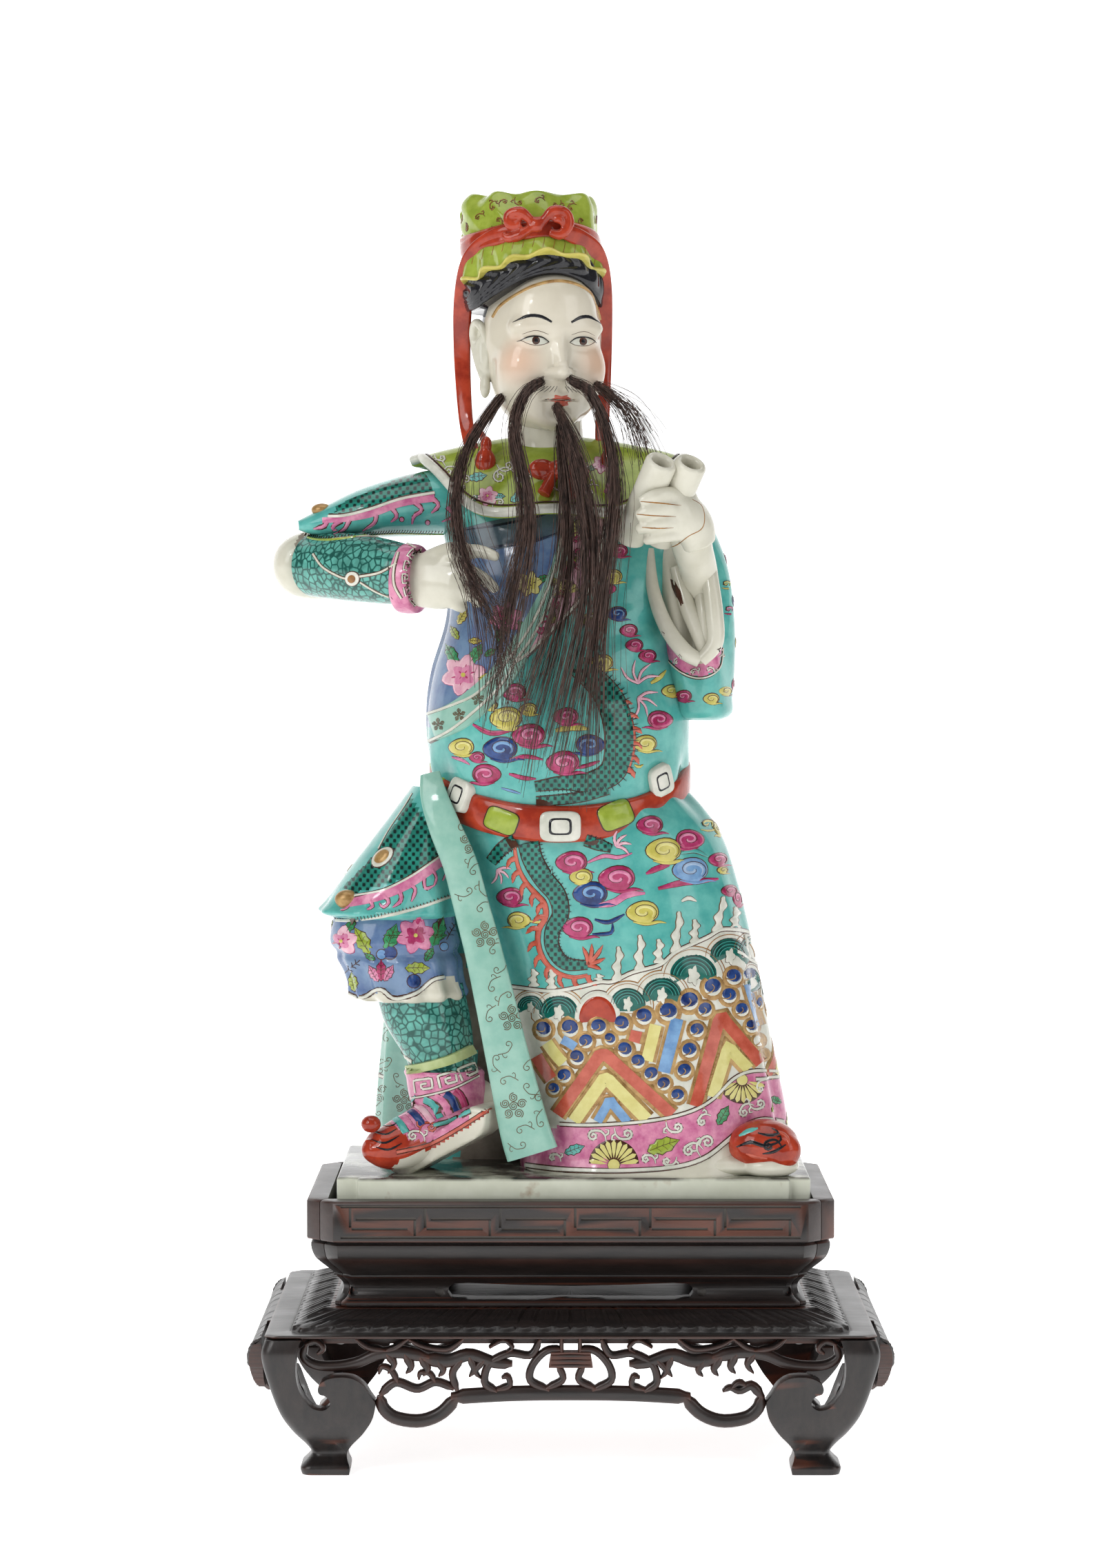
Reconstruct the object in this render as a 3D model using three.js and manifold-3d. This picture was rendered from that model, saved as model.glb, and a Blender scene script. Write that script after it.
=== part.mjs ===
// A glazed porcelain figure of a bearded dignitary with real hair, standing in the tray of a carved hardwood stand.
// Millimetres, +Z up, the viewer looks along +Y. The origin is on the ground, under the middle of the stand.
import * as THREE from "three";
import { mergeVertices } from "three/addons/utils/BufferGeometryUtils.js";
import Module from "manifold-3d";

const wasm = await Module();
wasm.setup();

// Driving dimensions
const LEG_HALF_WIDTH = 100.5; // at the swell of the legs
const LEG_HALF_DEPTH = 70;
const END_SWELL = 105.5; // the carved ends bulge past the legs
const JOINT_GAP = 0.3; // between pieces that are glued or rest on each other
const LEG_TOP = 46.2;
const TABLE_EDGE = 47.5; // height of the table's flat border
const WAIST_BOTTOM = 52.8;
const TRAY_BOTTOM = 62.8;
const TRAY_FLOOR = 79.7;
const TRAY_RIM = 89;
const TRAY_HALF_WIDTH = 87;
const TRAY_HALF_DEPTH = 51;
const TRAY_WALL = 7;
const CORNER_CUT = 9; // chamfer on the tray's corners
const PLINTH_TOP = 95.5;
const PLINTH_HALF_WIDTH = 78.3;
const PLINTH_HALF_DEPTH = 42.6;
const PLINTH_MIDDLE_X = 1;
const ROUND = 20; // sides of a round section of the porcelain

const v3 = (x, y, z) => new THREE.Vector3(x, y, z);
const lerp = THREE.MathUtils.lerp;

// A closed geometry as a solid, turned outwards if its winding runs the other way
function solid(geometry) {
  const bare = geometry.clone();
  for (const name of Object.keys(bare.attributes)) if (name !== "position") bare.deleteAttribute(name);
  const merged = mergeVertices(bare, 1e-4);
  const p = merged.attributes.position.array;
  const faces = new Uint32Array(merged.index.array);
  let volume = 0;
  for (let i = 0; i < faces.length; i += 3) {
    const [a, b, c] = [0, 1, 2].map((k) => new THREE.Vector3().fromArray(p, 3 * faces[i + k]));
    volume += a.dot(b.cross(c));
  }
  if (volume < 0) {
    for (let i = 0; i < faces.length; i += 3) [faces[i + 1], faces[i + 2]] = [faces[i + 2], faces[i + 1]];
  }
  return new wasm.Manifold(new wasm.Mesh({ numProp: 3, vertProperties: p, triVerts: faces }));
}

function geometryOf(made) {
  const mesh = made.getMesh();
  const geometry = new THREE.BufferGeometry();
  geometry.setAttribute("position", new THREE.BufferAttribute(new Float32Array(mesh.vertProperties), 3));
  geometry.setIndex(new THREE.BufferAttribute(new Uint32Array(mesh.triVerts), 1));
  geometry.computeVertexNormals();
  return geometry;
}

const joined = (solids) => solids.reduce((all, one) => all.add(one));

// A closed skin over rings of points, with a fan at each end
function loft(rings) {
  const n = rings[0].length;
  const middle = (ring) => ring.reduce((sum, p) => sum.add(p), v3(0, 0, 0)).divideScalar(n);
  const points = [...rings.flat(), middle(rings[0]), middle(rings.at(-1))];
  const index = [];
  for (let r = 0; r + 1 < rings.length; r++) {
    for (let i = 0; i < n; i++) {
      const [a, b] = [r * n + i, r * n + ((i + 1) % n)];
      index.push(a, b, b + n, a, b + n, a + n);
    }
  }
  const last = (rings.length - 1) * n;
  for (let i = 0; i < n; i++) {
    const j = (i + 1) % n;
    index.push(rings.length * n, j, i, rings.length * n + 1, last + i, last + j);
  }
  const geometry = new THREE.BufferGeometry().setFromPoints(points);
  geometry.setIndex(index);
  return solid(geometry);
}

// A level ring: a squared ellipse about (x, y) with half sizes a and b
function levelRing(z, x, y, a, b, squareness = 2, sides = ROUND) {
  const ring = [];
  for (let i = 0; i < sides; i++) {
    const t = (2 * Math.PI * (i + 0.5)) / sides;
    const bend = (value) => Math.sign(value) * Math.abs(value) ** (2 / squareness);
    ring.push(v3(x + a * bend(Math.cos(t)), y + b * bend(Math.sin(t)), z));
  }
  return ring;
}

const levelLoft = (rows, sides = ROUND) => loft(rows.map((row) => levelRing(row[0], row[1], row[2], row[3], row[4], row[5] ?? 2, sides)));

// A round limb along points, each [x, y, z, radius], flattened along a direction if one is given
function limb(stations, { steps = 8, sides = 12, flat = 1, across = v3(0, 1, 0) } = {}) {
  const curve = new THREE.CatmullRomCurve3(stations.map((s) => v3(s[0], s[1], s[2])));
  const rings = [];
  for (let k = 0; k <= steps; k++) {
    const t = k / steps;
    const centre = curve.getPoint(t);
    const along = curve.getTangent(t);
    const side = across.clone().addScaledVector(along, -across.dot(along)).normalize();
    const up = new THREE.Vector3().crossVectors(along, side);
    const place = Math.min(t * (stations.length - 1), stations.length - 1 - 1e-6);
    const from = Math.floor(place);
    const radius = lerp(stations[from][3], stations[from + 1][3], place - from);
    rings.push(
      Array.from({ length: sides }, (_, i) => {
        const angle = (2 * Math.PI * i) / sides;
        return centre
          .clone()
          .addScaledVector(side, radius * flat * Math.cos(angle))
          .addScaledVector(up, radius * Math.sin(angle));
      }),
    );
  }
  return loft(rings);
}

function ball(x, y, z, rx, ry = rx, rz = rx, turn = 0) {
  const sides = Math.max(rx, ry, rz) > 12 ? 16 : 8;
  const geometry = new THREE.SphereGeometry(1, sides, 0.625 * sides);
  geometry.scale(rx, ry, rz);
  geometry.rotateZ(turn);
  geometry.translate(x, y, z);
  return solid(geometry);
}

function block(x0, x1, y0, y1, z0, z1) {
  const geometry = new THREE.BoxGeometry(x1 - x0, y1 - y0, z1 - z0);
  geometry.translate((x0 + x1) / 2, (y0 + y1) / 2, (z0 + z1) / 2);
  return solid(geometry);
}

// A level prism over an outline of [x, y] points
function prism(outline, z0, z1) {
  const geometry = new THREE.ExtrudeGeometry(new THREE.Shape(outline.map(([x, y]) => new THREE.Vector2(x, y))), {
    depth: z1 - z0,
    bevelEnabled: false,
  });
  geometry.translate(0, 0, z0);
  return solid(geometry);
}

// An upright board over an outline of [x, z] points, between two depths
function board(outline, y0, y1) {
  const geometry = new THREE.ExtrudeGeometry(new THREE.Shape(outline.map(([x, z]) => new THREE.Vector2(x, z))), {
    depth: y1 - y0,
    bevelEnabled: false,
  });
  geometry.rotateX(Math.PI / 2);
  geometry.translate(0, y1, 0);
  return solid(geometry);
}

// The outline of a carved stroke along a smooth line of [x, z] points, with a width at each end
function strokeOutline(points, startWidth, endWidth = startWidth, steps = 7) {
  const curve = new THREE.SplineCurve(points.map(([x, z]) => new THREE.Vector2(x, z)));
  const left = [];
  const right = [];
  for (let k = 0; k <= steps; k++) {
    const t = k / steps;
    const centre = curve.getPoint(t);
    const along = curve.getTangent(t);
    const half = lerp(startWidth, endWidth, t) / 2;
    left.push([centre.x - along.y * half, centre.y + along.x * half]);
    right.unshift([centre.x + along.y * half, centre.y - along.x * half]);
  }
  return [...left, ...right];
}

// A rectangle with its corners cut off, as [x, y] points
function cutRectangle(a, b, cut) {
  return [[a - cut, -b], [a, cut - b], [a, b - cut], [a - cut, b], [cut - a, b], [-a, b - cut], [-a, cut - b], [cut - a, -b]];
}

const cutRing = (z, a, b, cut) => cutRectangle(a, b, cut).map(([x, y]) => v3(x, y, z));

// The four wedges that mitre a frame at its corners
function mitreWedges(a, b) {
  const reach = 30;
  const inner = Math.min(a, b) - 8;
  const g = JOINT_GAP / 2;
  const along = (half, other) => [
    [-(half + reach) + g, -(other + reach) - g],
    [half + reach - g, -(other + reach) - g],
    [half - inner - g, -(other - inner) - g],
    [-(half - inner) + g, -(other - inner) - g],
  ];
  const front = along(a, b);
  const right = along(b, a).map(([s, t]) => [-t, s]);
  return {
    front,
    back: front.map(([x, y]) => [-x, -y]),
    right,
    left: right.map(([x, y]) => [-x, -y]),
  };
}

// Wooden stand: the table's cabriole legs
const LEG_LEVELS = [
  // z, how far the outer face stands in from the swell, length of each wing, its thickness
  [0, 12.4, 15.6, 15],
  [3, 12.2, 15.8, 15.2],
  [5.5, 15.2, 11.8, 11.5],
  [8.4, 15, 13.5, 11],
  [14.7, 9.5, 23.6, 10],
  [21.5, 5.5, 31, 9],
  [32, 2, 34.8, 9],
  [41, 0, 36.8, 9],
  [LEG_TOP, 1.2, 35.6, 9],
];

// The crescent opening between the corner post and the scrolled lobe, from the swell inwards
const LEG_OPENING = [
  [14, 47], [11.8, 43], [11.3, 35], [12.5, 29], [15.5, 24.3], [20.3, 22.8], [22.4, 25], [21.3, 27.3], [18.9, 28.4],
  [18.6, 30.4], [20.5, 32.8], [25.1, 34.2], [30.5, 33.4], [33.5, 31], [36.6, 26], [40, 24], [40, 47],
];

function leg(signX, signY) {
  const round = 3.5;
  const wingAlong = (turned) =>
    loft(
      LEG_LEVELS.map(([z, inset, wing, thick]) => {
        const outline = [[round, 0], [wing, 0], [wing, thick], [0, thick], [0, round], [round * 0.3, round * 0.3]];
        return outline.map(([x, y]) => (turned ? v3(y + inset, x + inset, z) : v3(x + inset, y + inset, z)));
      }),
    );
  const front = board(LEG_OPENING, -5, 20);
  const side = board(LEG_OPENING.map(([x, z]) => [-x, z]), -5, 20).rotate([0, 0, -90]);
  const corner = wingAlong(false).subtract(front).add(wingAlong(true).subtract(side));
  return corner.translate([-LEG_HALF_WIDTH, -LEG_HALF_DEPTH, 0]).scale([-signX, -signY, 1]);
}

// The pierced apron between the front legs, as strokes of a carver's saw
function openworkApron(broken) {
  const [y0, y1] = [-64, -59];
  const both = (points, startWidth, endWidth, steps) => [
    strokeOutline(points, startWidth, endWidth, steps),
    strokeOutline(points.map(([x, z]) => [-x, z]), startWidth, endWidth, steps),
  ];
  const strokes = [
    // the lower rail with a loop at each end
    strokeOutline([[-39, 26.6], [0, 28], [39, 26.6]], 5, 5, 6),
    ...both([[37, 27], [42, 21.5], [49, 18.8], [57, 19.8], [61, 23], [62.2, 27]], 4.6, 4, 9),
    // the leafy branch, from a scroll inside each leg to the cartouche
    ...both([[86, 44], [87, 40], [83, 37.2], [76, 36.8], [69.4, 38], [63, 40.6], [55, 41.3], [46, 39.5]], 2.6, 4.4, 11),
    ...both([[86.5, 44], [83, 45], [80.6, 42.6], [82.5, 41]], 2.2, 1.8, 5),
    ...both([[48, 39.5], [40, 38.5], [33, 40.5], [25, 38], [19, 37.6]], 5, 4.4, 8),
    ...both([[70, 46], [66, 43], [60, 42]], 1.8, 2.4, 4),
    ...both([[53, 46], [57, 43], [60, 42]], 1.8, 2.4, 4),
    ...both([[53, 46], [48, 43.4], [40, 42.5], [35, 46]], 1.8, 1.8, 6),
    // scrolls that tie the branch to the rail
    ...both([[24, 28.6], [28, 31.5], [26.5, 37.5], [20, 41], [13, 40.5], [10, 45.8]], 2.8, 2.6),
    ...both([[24, 29.2], [20, 30.5], [20.5, 33.5]], 2.6, 1.8, 4),
    ...both([[7, 29], [13, 32], [12.5, 37], [8, 41.8], [2.5, 42.3]], 2.8, 2.6),
    ...both([[8, 29.6], [2.6, 32.5], [4.2, 37]], 2.4, 2.6, 4),
    strokeOutline([[-7, 39], [7, 39]], 4.6, 4.6, 1),
    ...both([[3, 40], [3, 46]], 2.4, 2.4, 1),
  ];
  const curls = [
    [[[35.5, 39], [38.5, 34.5], [37, 29]], 2.6, 2.6, 5],
    [[[38, 29.5], [44, 31.6], [50, 29.4], [57, 31.5], [62, 27.5]], 2.6, 3, 8],
    [[[56, 31], [58.5, 35.5], [63, 36]], 2.4, 1.8, 5],
  ];
  for (const [points, startWidth, endWidth, steps] of curls) {
    const pair = both(points, startWidth, endWidth, steps);
    strokes.push(pair[1]);
    if (!broken) strokes.push(pair[0]);
  }
  if (broken) strokes.push(strokeOutline([[50, 29.5], [55, 28.8], [59, 30.4], [62.4, 26.5]], 2.6, 3.6, 5));
  const panel = joined(strokes.map((outline) => board(outline, y0, y1)));
  const lowRoom = block(-63, 63, y0 - 1, y1 + 1, 0, 35);
  const highRoom = block(-88, 88, y0 - 1, y1 + 1, 34.6, LEG_TOP);
  return panel.intersect(lowRoom.add(highRoom));
}

// The carved end, swollen past the legs and lapping over them, its lower edge bowed
function endApron(sign) {
  const swell = [[-102.6, 44.6], [-104.8, 41.5], [-END_SWELL, 37.5], [-105, 32], [-102.6, 25]];
  const behind = -(LEG_HALF_WIDTH + JOINT_GAP);
  const lapping = board([[behind, 45.6], ...swell, [behind, 21.5]], -61, 61);
  const middle = board([[-99, LEG_TOP], ...swell, [-100, 20], [-95, 20], [-95, LEG_TOP]], -31.4, 31.4);
  const edge = [[-61, 45], [-57, 37], [-48, 28], [-34, 25], [-20, 21.5], [0, 27], [20, 21.5], [34, 25], [48, 28], [57, 37], [61, 45]];
  const curve = new THREE.SplineCurve(edge.map(([y, z]) => new THREE.Vector2(y, z)));
  const arch = [[-70, 0], [-70, 45], ...curve.getPoints(20).map((p) => [p.x, p.y]), [70, 45], [70, 0]];
  return middle.add(lapping).subtract(board(arch, 90, 110).rotate([0, 0, 90])).scale([sign, 1, 1]);
}

// The table's board, its thin flat rim, and the raised field for the ring of lappets
function tableTop() {
  const rim = loft([
    cutRing(LEG_TOP + JOINT_GAP, 99.2, 67, 3),
    cutRing(TABLE_EDGE, 98.6, 66.4, 4),
    cutRing(TABLE_EDGE + 0.4, 92, 60.5, 3),
    cutRing(49.3, 90.5, 58.5, 3),
    cutRing(51.8, 82, 47, 3),
    cutRing(WAIST_BOTTOM - JOINT_GAP, 79, 42.5, 3),
  ]);
  return rim.add(block(-88, 88, -58, 58, 43.5, 48));
}

// The waist: a hollowed moulding with long pierced slots, mitred into four rails
function waistRails() {
  const top = TRAY_BOTTOM - JOINT_GAP;
  const outer = loft([
    cutRing(WAIST_BOTTOM, 78, 41.5, 4),
    cutRing(54.5, 77.5, 41, 4),
    cutRing(57.5, 75.5, 39, 4),
    cutRing(60.5, 75.5, 39, 4),
    cutRing(top, 77.5, 41, 4),
  ]);
  const frame = outer.subtract(block(-68, 68, -32, 32, 40, 70));
  const slotFront = strokeOutline([[-40, 57.2], [0, 58], [40, 57.2]], 5, 5, 6);
  const slotEnd = strokeOutline([[-18, 57.5], [18, 57.5]], 4.5, 4.5, 1);
  const pierced = frame
    .subtract(board(slotFront, -50, 50))
    .subtract(board(slotEnd, -90, 90).rotate([0, 0, 90]));
  return mitred(pierced, 78, 41.5);
}

function mitred(frame, a, b) {
  return Object.entries(mitreWedges(a, b)).map(([side, outline]) => [side, frame.intersect(prism(outline, 0, 200))]);
}

function trayRails() {
  const [a, b] = [TRAY_HALF_WIDTH, TRAY_HALF_DEPTH];
  const outer = loft([
    cutRing(TRAY_BOTTOM, a - 8.5, b - 8.5, CORNER_CUT - 3),
    cutRing(65.5, a - 6.5, b - 6.5, CORNER_CUT - 2),
    cutRing(69, a - 2.6, b - 2.6, CORNER_CUT - 1),
    cutRing(72.5, a - 1.4, b - 1.4, CORNER_CUT),
    cutRing(74.5, a - 1.2, b - 1.2, CORNER_CUT),
    cutRing(75.5, a, b, CORNER_CUT),
    cutRing(TRAY_RIM - 1, a, b, CORNER_CUT),
    cutRing(TRAY_RIM, a - 1, b - 1, CORNER_CUT),
  ]);
  const shelf = 74;
  const well = block(-(a - TRAY_WALL), a - TRAY_WALL, -(b - TRAY_WALL), b - TRAY_WALL, shelf, TRAY_RIM + 5);
  const under = block(-(a - 18), a - 18, -(b - 18), b - 18, 40, shelf + 1);
  return mitred(outer.subtract(well).subtract(under), a, b);
}

const trayFloor = () =>
  block(
    -(TRAY_HALF_WIDTH - TRAY_WALL - JOINT_GAP),
    TRAY_HALF_WIDTH - TRAY_WALL - JOINT_GAP,
    -(TRAY_HALF_DEPTH - TRAY_WALL - JOINT_GAP),
    TRAY_HALF_DEPTH - TRAY_WALL - JOINT_GAP,
    74 + JOINT_GAP,
    TRAY_FLOOR,
  );

// Porcelain: the plinth with its two notched front corners
function plinth() {
  const [a, b, x] = [PLINTH_HALF_WIDTH, PLINTH_HALF_DEPTH, PLINTH_MIDDLE_X];
  const [notchX, notchY] = [7, 3];
  const outline = [[a - notchX, -b], [a - notchX, -b + notchY], [a, -b + notchY], [a, b], [-a, b], [-a, -b + notchY], [-a + notchX, -b + notchY], [-a + notchX, -b]];
  return prism(outline.map(([px, py]) => [px + x, py]), TRAY_FLOOR + JOINT_GAP, PLINTH_TOP);
}

// The robe: one bell for the knee that it covers, a wide back panel, the belly and the chest
function robe() {
  const skirt = levelLoft([
    [PLINTH_TOP - 1, 29, -2, 47, 38, 2.3],
    [112, 27, -2, 45.5, 36.5, 2.3],
    [140, 23, -2.5, 43.5, 35.5, 2.2],
    [165, 18, -3, 44, 35, 2.2],
    [190, 11, -3, 45.5, 35, 2.2],
    [210, 4, -3, 45.5, 35.5, 2.2],
    [224, -3.5, -2, 41, 34, 2.1],
  ]);
  const back = levelLoft([
    [PLINTH_TOP - 1, 3, 22, 70, 17, 3],
    [130, 1, 21, 66, 18, 2.6],
    [170, -3, 17, 58, 20, 2.4],
    [205, -5, 12, 48, 21, 2.2],
    [222, -5, 8, 40, 20, 2],
  ]);
  const trunk = levelLoft([
    [208, -3.5, -3, 40, 34, 2],
    [220, -3.5, -4, 41, 36, 2],
    [233, -4, -5, 43.5, 39, 2],
    [248, -4, -5.5, 44, 39.5, 2],
    [262, -4, -3.5, 42, 36, 2],
    [280, -2, 0, 39, 31, 2.2],
    [300, 0, 2, 41, 26, 2.4],
    [315, -1, 3, 43, 23, 2.4],
    [326, -3, 3, 36, 19, 2.2],
    [334, -6, 3, 22, 16, 2],
    [341, -8, 2, 15, 14, 2],
  ]);
  return joined([skirt, back, trunk]);
}

function belt() {
  const rows = [
    [-0.5, 41.5, 35.5],
    [0, 43.5, 38.2],
    [9, 43.8, 38.6],
    [9.5, 42, 36],
  ];
  const rings = rows.map(([lift, a, b]) =>
    levelRing(0, -3.5, -3, a, b, 2, 28).map((p) => {
      const front = (1 - (p.y + 3) / b) / 2;
      return v3(p.x, p.y, 231 + lift - 22 * front ** 1.4);
    }),
  );
  const plaques = [[-34, -25, 219], [-3.5, -41.5, 211], [28, -26, 219]].map(([x, y, z]) => ball(x, y, z + 3, 6, 3, 5.5));
  return joined([loft(rings), ...plaques]);
}

// The edge of the robe that falls from the belt to the plinth
const edgePanel = () =>
  limb(
    [[-44, -27, 226, 8], [-35, -33, 200, 7.6], [-25, -35, 160, 7.8], [-17, -36.5, 125, 8.4], [-9, -37, 96, 9.2]],
    { steps: 8, sides: 8, flat: 0.32 },
  );

// The leg that shows: armoured thigh flap, frilled skirt, greave, cuff and boot
function shownLeg() {
  const flap = levelLoft([
    [224, -46, -12, 7, 15],
    [212, -50, -13, 12, 19],
    [197, -56, -14, 17.5, 22],
    [186, -59.5, -15, 22, 24],
    [181.5, -61, -15.5, 23, 24.5],
    [180, -59, -15.5, 20, 22],
  ]);
  const skirt = levelLoft([
    [184, -59, -15, 20.5, 20],
    [172, -58.5, -15, 21.5, 21],
    [162, -56, -16, 19, 19.5],
    [153.5, -54, -16, 17.5, 18],
  ]);
  const greave = levelLoft([
    [158, -51, -15, 15, 15.5],
    [145, -48, -15.5, 14.5, 15],
    [131, -43.5, -16.5, 11.5, 12],
    [126, -42, -17, 12.5, 13],
    [118, -41, -17.5, 12.3, 12.8],
    [112, -39, -18, 11, 11.5],
  ]);
  const boot = limb([[-26, -12, 113, 8], [-36, -17, 112.5, 9.5], [-48, -25, 108.5, 9], [-58, -32, 105, 8], [-65, -37, 105, 5]], {
    steps: 10,
    flat: 1,
  });
  const sole = board([[-23, 110], [-25, 103.5], [-48, 95], [-55, 95], [-58, 99], [-50, 103], [-36, 108]], -28, -11).rotate([0, 0, -20]);
  const turnedSole = sole.translate([3, -21, 0]);
  const knobs = [ball(-74, -31, 186.5, 3.2, 2.2, 2.6), ball(-66, -37, 112, 3.2, 2.6, 2.6)];
  return joined([flap, skirt, greave, boot, turnedSole, ...knobs]);
}

const hiddenBoot = () => joined([ball(65, -33, 105.5, 11.5, 8.5, 8.5), ball(58, -30, 98.5, 13, 9, 5)]);

// The arm across the chest, with the flap of its short sleeve and the turned-back lining behind the elbow
function crossedArm() {
  const flap = limb([[-28, 2, 323, 12], [-48, 0, 320.5, 11.5], [-68, -3, 316, 8.5], [-84, -5, 312, 4.5], [-91, -6, 311, 2]], {
    steps: 8,
    sides: 14,
    flat: 1.75,
  });
  const forearm = limb([[-84, -3, 297.5, 12.5], [-74, -13, 296, 13.2], [-62, -23, 294, 11.2], [-54, -29, 293, 9.6]]);
  const cuff = limb([[-58, -26.5, 293.3, 11.6], [-52.5, -30.5, 293, 11.2]], { steps: 2 });
  const lining = limb(
    [[-74, 6, 285, 4.5], [-86, 6, 284.5, 5.5], [-95, 6, 290, 6.5], [-94.5, 6, 299, 6.5], [-88, 5, 306, 5]],
    { steps: 8, sides: 10, flat: 1.2 },
  );
  const hand = limb([[-54, -29, 293, 8], [-46, -34, 292.5, 9.5], [-38, -38, 292, 9], [-34, -40, 291, 6.5]], { steps: 5, flat: 0.55 });
  const fingers = [
    [[-42, -36, 299, 3], [-33, -40.5, 302, 2.4], [-25, -43.5, 300.3, 1.4]],
    [[-38, -38, 295, 2.8], [-31, -42, 293.5, 2.3], [-25.5, -44, 290.5, 1.3]],
    [[-38, -38, 289, 2.6], [-32, -41, 286.5, 2.2], [-29, -40, 285, 1.6]],
  ].map((stations) => limb(stations, { steps: 4, sides: 8 }));
  return joined([flap, forearm, cuff, lining, hand, ...fingers]);
}

// The raised arm: its wide hanging sleeve, the bare forearm, the hand and the rolled book
function raisedArm() {
  const sleeve = levelLoft([
    [246, 44, -9, 6.5, 9],
    [250, 43.5, -9, 9, 14],
    [262, 42.5, -8, 11, 19],
    [280, 41, -6, 12, 21],
    [298, 39, -3, 12.5, 19],
    [312, 35.5, 1, 12.5, 16],
    [322, 31, 3, 10.5, 12],
  ]);
  const mouth = limb([[45, -34, 306, 2.5], [46.5, -31, 285, 4.2], [47.5, -25, 262, 2.5]], { steps: 6, sides: 10, flat: 2 });
  const rim = limb([[37, -27, 304, 3], [37.5, -27, 288, 3.4], [44, -26, 262, 3.4], [50, -24, 264, 3.4], [50.5, -26, 290, 3.2], [46, -29, 306, 3]], {
    steps: 14,
    sides: 8,
  });
  const forearm = limb([[46, -14, 272, 7], [43.5, -25, 292, 7], [39.5, -34, 307, 7], [36.5, -38, 315, 6.5]], { steps: 6 });
  const hand = limb([[41, -38, 310, 7], [35, -43, 314.5, 7.6], [27, -48, 317.5, 5.6]], { steps: 5, flat: 0.75 });
  const axis = v3(10.5, -16, 24.7).normalize();
  const rolls = [v3(19, -33, 306), v3(28.5, -31, 305.5)].map((foot) => {
    const geometry = new THREE.CylinderGeometry(5.2, 5.2, 32, 16);
    geometry.translate(0, 16, 0);
    geometry.applyQuaternion(new THREE.Quaternion().setFromUnitVectors(v3(0, 1, 0), axis));
    geometry.translate(foot.x, foot.y, foot.z);
    const bore = new THREE.CylinderGeometry(3.1, 3.1, 14, 12);
    bore.translate(0, 28, 0);
    bore.applyQuaternion(new THREE.Quaternion().setFromUnitVectors(v3(0, 1, 0), axis));
    bore.translate(foot.x, foot.y, foot.z);
    return [solid(geometry), solid(bore)];
  });
  const book = rolls[0][0].add(rolls[1][0]);
  return joined([sleeve, mouth, rim, forearm, hand, book]).subtract(rolls[0][1]).subtract(rolls[1][1]);
}

// The cape over both shoulders, and its knot
function cape() {
  const sides = 28;
  const skin = (radius, z, lower) =>
    Array.from({ length: sides }, (_, i) => {
      const t = (2 * Math.PI * i) / sides;
      const [a, b] = [radius * 45, radius * 31];
      const front = (1 - Math.sin(t)) / 2;
      const side = Math.abs(Math.cos(t));
      const drop = radius ** 1.6 * lerp(25, 11, side ** 1.5);
      const shift = lerp(-8, -6, radius);
      return v3(shift + a * Math.cos(t), 2 + b * Math.sin(t) * lerp(0.85, 1, front), z - drop - lower);
    });
  const rings = [skin(0.28, 342, 0), skin(0.5, 342, 0), skin(0.75, 342, 0), skin(0.95, 342, 0), skin(1, 342, 1.5), skin(0.95, 342, 3.5), skin(0.5, 342, 6), skin(0.28, 342, 7)];
  const knot = [ball(-4, -25, 329, 3.5, 3, 3), ball(-9, -24, 328, 4.5, 3, 3.5), ball(1.5, -24, 327, 4.5, 3, 3.5)];
  return joined([loft(rings), ...knot]);
}

// The head: a plain face on usual proportions, with ears, cap, bow and ribbons
function head() {
  const turn = 0.3;
  const skull = ball(-9.5, -1, 369, 20.5, 23.5, 27, turn);
  const jaw = ball(-7.5, -7, 352.5, 14.5, 15, 11.5, turn);
  const neck = levelLoft([[336, -8, 3, 13.5, 13], [352, -9, 3, 12.5, 12.5]], 16);
  const nose = limb([[-4.5, -23.5, 375, 2], [-3.2, -27, 367.5, 2.8], [-3, -26.5, 364, 3.2]], { steps: 3, sides: 8 });
  const ears = [ball(-30.5, 5, 366, 3, 4.5, 9.5), ball(11, 1.5, 366, 2.6, 4.5, 9.5)];
  const cap = levelLoft([
    [386, -11.5, 3, 23, 24, 2.3],
    [398, -12, 4, 24, 25.5, 2.3],
    [406, -13, 5, 23, 24, 2.3],
    [417, -14, 6, 23, 21, 2.5],
    [422, -14, 7, 21, 17, 2.5],
  ]);
  const bow = [ball(-16, -18.5, 412, 5, 3, 5), ball(-3, -18.5, 412, 5, 3, 5), ball(-9.5, -18, 411, 3.5, 2.5, 2.5)];
  const ribbons = [
    limb([[-30, -8, 402, 3], [-36.5, 2, 390, 4], [-37, 6, 370, 4.2], [-34.5, 6, 350, 4], [-31, 0, 338, 3.6], [-27.5, -12, 331, 4]], { steps: 12, sides: 8 }),
    limb([[3, -10, 405, 3], [8.5, 2, 395, 4], [11, 7, 375, 3.6], [10.5, 7, 352, 3.5], [10, 0, 340, 3.5], [11, -10, 333, 3.8]], { steps: 10, sides: 8 }),
  ];
  return joined([skull, jaw, neck, nose, ...ears, cap, ...bow, ...ribbons]);
}

// A tuft of real hair glued in its hole, as one tapered lock
const lock = (stations) => limb(stations, { steps: 10, sides: 8 });

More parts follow.
